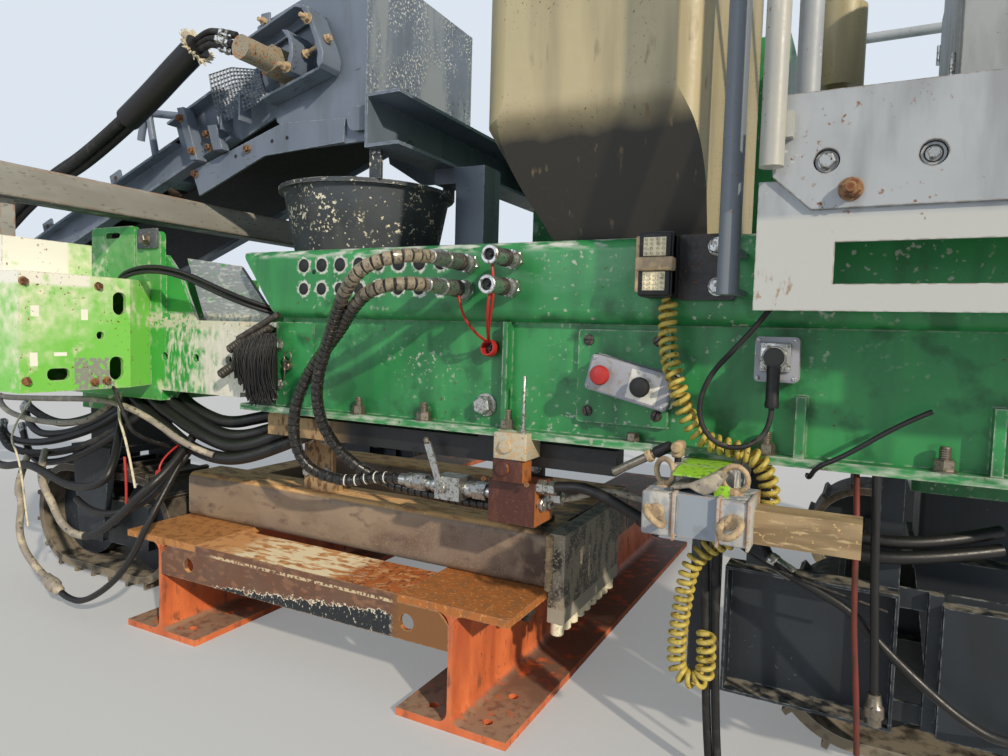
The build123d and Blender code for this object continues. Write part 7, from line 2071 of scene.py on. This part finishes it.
class PAVER_OT_stage(bpy.types.Operator):
    """Floor, backdrop, lamps and camera"""

    bl_idname = "paver.stage"
    bl_label = "Stage"

    def execute(self, context):
        sizes = context.scene.paver_stage
        floor_finish = bpy.data.materials.new("studio_floor")
        floor_finish.use_nodes = True
        tree = floor_finish.node_tree
        tree.nodes.clear()
        floor_colour = (*sizes.floor_colour, 1.0)
        shader = add(tree, "ShaderNodeBsdfPrincipled", {"Base Color": floor_colour, "Roughness": 0.9})
        seen = add(tree, "ShaderNodeLightPath")
        flat = add(tree, "ShaderNodeEmission", {"Color": floor_colour, "Strength": 1.0})
        part = add(tree, "ShaderNodeMath", {"operation": "MULTIPLY", 1: 0.35}, {0: seen.outputs["Is Camera Ray"]})
        mix = add(tree, "ShaderNodeMixShader", links={0: part.outputs[0], 1: shader.outputs[0], 2: flat.outputs[0]})
        add(tree, "ShaderNodeOutputMaterial", links={0: mix.outputs[0]})
        drop_selection()
        floor_z = CAD_BOX[0][2]
        bpy.ops.mesh.primitive_plane_add(size=FLOOR_SIZE, location=(0, 0, floor_z))
        floor = bpy.context.object
        floor.name = "studio_floor"
        floor.data.materials.append(floor_finish)
        world = bpy.data.worlds.new("studio")
        bpy.context.scene.world = world
        world.use_nodes = True
        tree = world.node_tree
        tree.nodes.clear()
        soft = add(tree, "ShaderNodeBackground", {"Color": linear("DCE6F4"), "Strength": 0.58})
        plain = add(tree, "ShaderNodeBackground", {"Color": (*sizes.sky_colour, 1.0), "Strength": 1.0})
        seen = add(tree, "ShaderNodeLightPath")
        both = add(
            tree, "ShaderNodeMath", {"operation": "MAXIMUM"},
            {0: seen.outputs["Is Camera Ray"], 1: seen.outputs["Is Transmission Ray"]},
        )
        mix = add(tree, "ShaderNodeMixShader", links={0: both.outputs[0], 1: soft.outputs[0], 2: plain.outputs[0]})
        add(tree, "ShaderNodeOutputWorld", links={0: mix.outputs[0]})
        for name, place, aim, energy, angle, colour in LAMPS:
            lamp = bpy.data.lights.new(name, "SUN")
            lamp.energy = energy
            lamp.angle = math.radians(angle)
            lamp.color = linear(colour)[:3]
            holder = bpy.data.objects.new(name, lamp)
            holder.location = place
            holder.rotation_euler = (Vector(aim) - Vector(place)).to_track_quat("-Z", "Y").to_euler()
            bpy.context.collection.objects.link(holder)
        camera = bpy.data.cameras.new("photo_view")
        camera.lens = 25.0
        camera.sensor_width = 36.0
        camera.clip_start = 0.05
        camera.clip_end = 200.0
        turn = Matrix(CAMERA_AXES).transposed().to_4x4()
        holder = bpy.data.objects.new("photo_view", camera)
        holder.matrix_world = Matrix.Translation(CAMERA_PLACE) @ turn
        bpy.context.collection.objects.link(holder)
        bpy.context.scene.camera = holder
        scene = bpy.context.scene
        scene.view_settings.view_transform = "Standard"
        return {"FINISHED"}


GROUPS = (PaverHardware, PaverHoses, PaverStage)
OPERATORS = (
    PAVER_OT_dress_frame, PAVER_OT_stage, PAVER_OT_guarded_hoses, PAVER_OT_beam_plugs, PAVER_OT_frame_bolts,
    PAVER_OT_side_plate_bolts, PAVER_OT_console_controls, PAVER_OT_bay_details, PAVER_OT_coupler_rings,
    PAVER_OT_side_boxes, PAVER_OT_valve_group, PAVER_OT_clamp_group,
    PAVER_OT_left_hoses, PAVER_OT_frayed_brush, PAVER_OT_mould_fittings, PAVER_OT_conveyor_fittings,
)


class PAVER_PT_looks(bpy.types.Panel):
    """Lists the steps that dress the paver"""

    bl_idname = "PAVER_PT_looks"
    bl_label = "Paver looks"
    bl_space_type = "VIEW_3D"
    bl_region_type = "UI"
    bl_category = "Paver"

    def draw(self, context):
        for operator in OPERATORS:
            self.layout.operator(operator.bl_idname)
        for group in (context.scene.paver_hardware, context.scene.paver_hoses, context.scene.paver_stage):
            for name in group.__annotations__:
                self.layout.prop(group, name)


def register():
    for cls in (*GROUPS, *OPERATORS, PAVER_PT_looks):
        bpy.utils.register_class(cls)
    bpy.types.Scene.paver_hardware = bpy.props.PointerProperty(type=PaverHardware)
    bpy.types.Scene.paver_hoses = bpy.props.PointerProperty(type=PaverHoses)
    bpy.types.Scene.paver_stage = bpy.props.PointerProperty(type=PaverStage)


def unregister():
    del bpy.types.Scene.paver_stage
    del bpy.types.Scene.paver_hoses
    del bpy.types.Scene.paver_hardware
    for cls in reversed((*GROUPS, *OPERATORS, PAVER_PT_looks)):
        bpy.utils.unregister_class(cls)


def main():
    """Runs every step."""
    register()
    for operator in OPERATORS:
        group, name = operator.bl_idname.split(".")
        getattr(getattr(bpy.ops, group), name)()
    bpy.context.view_layer.update()


if __name__ == "__main__":
    main()
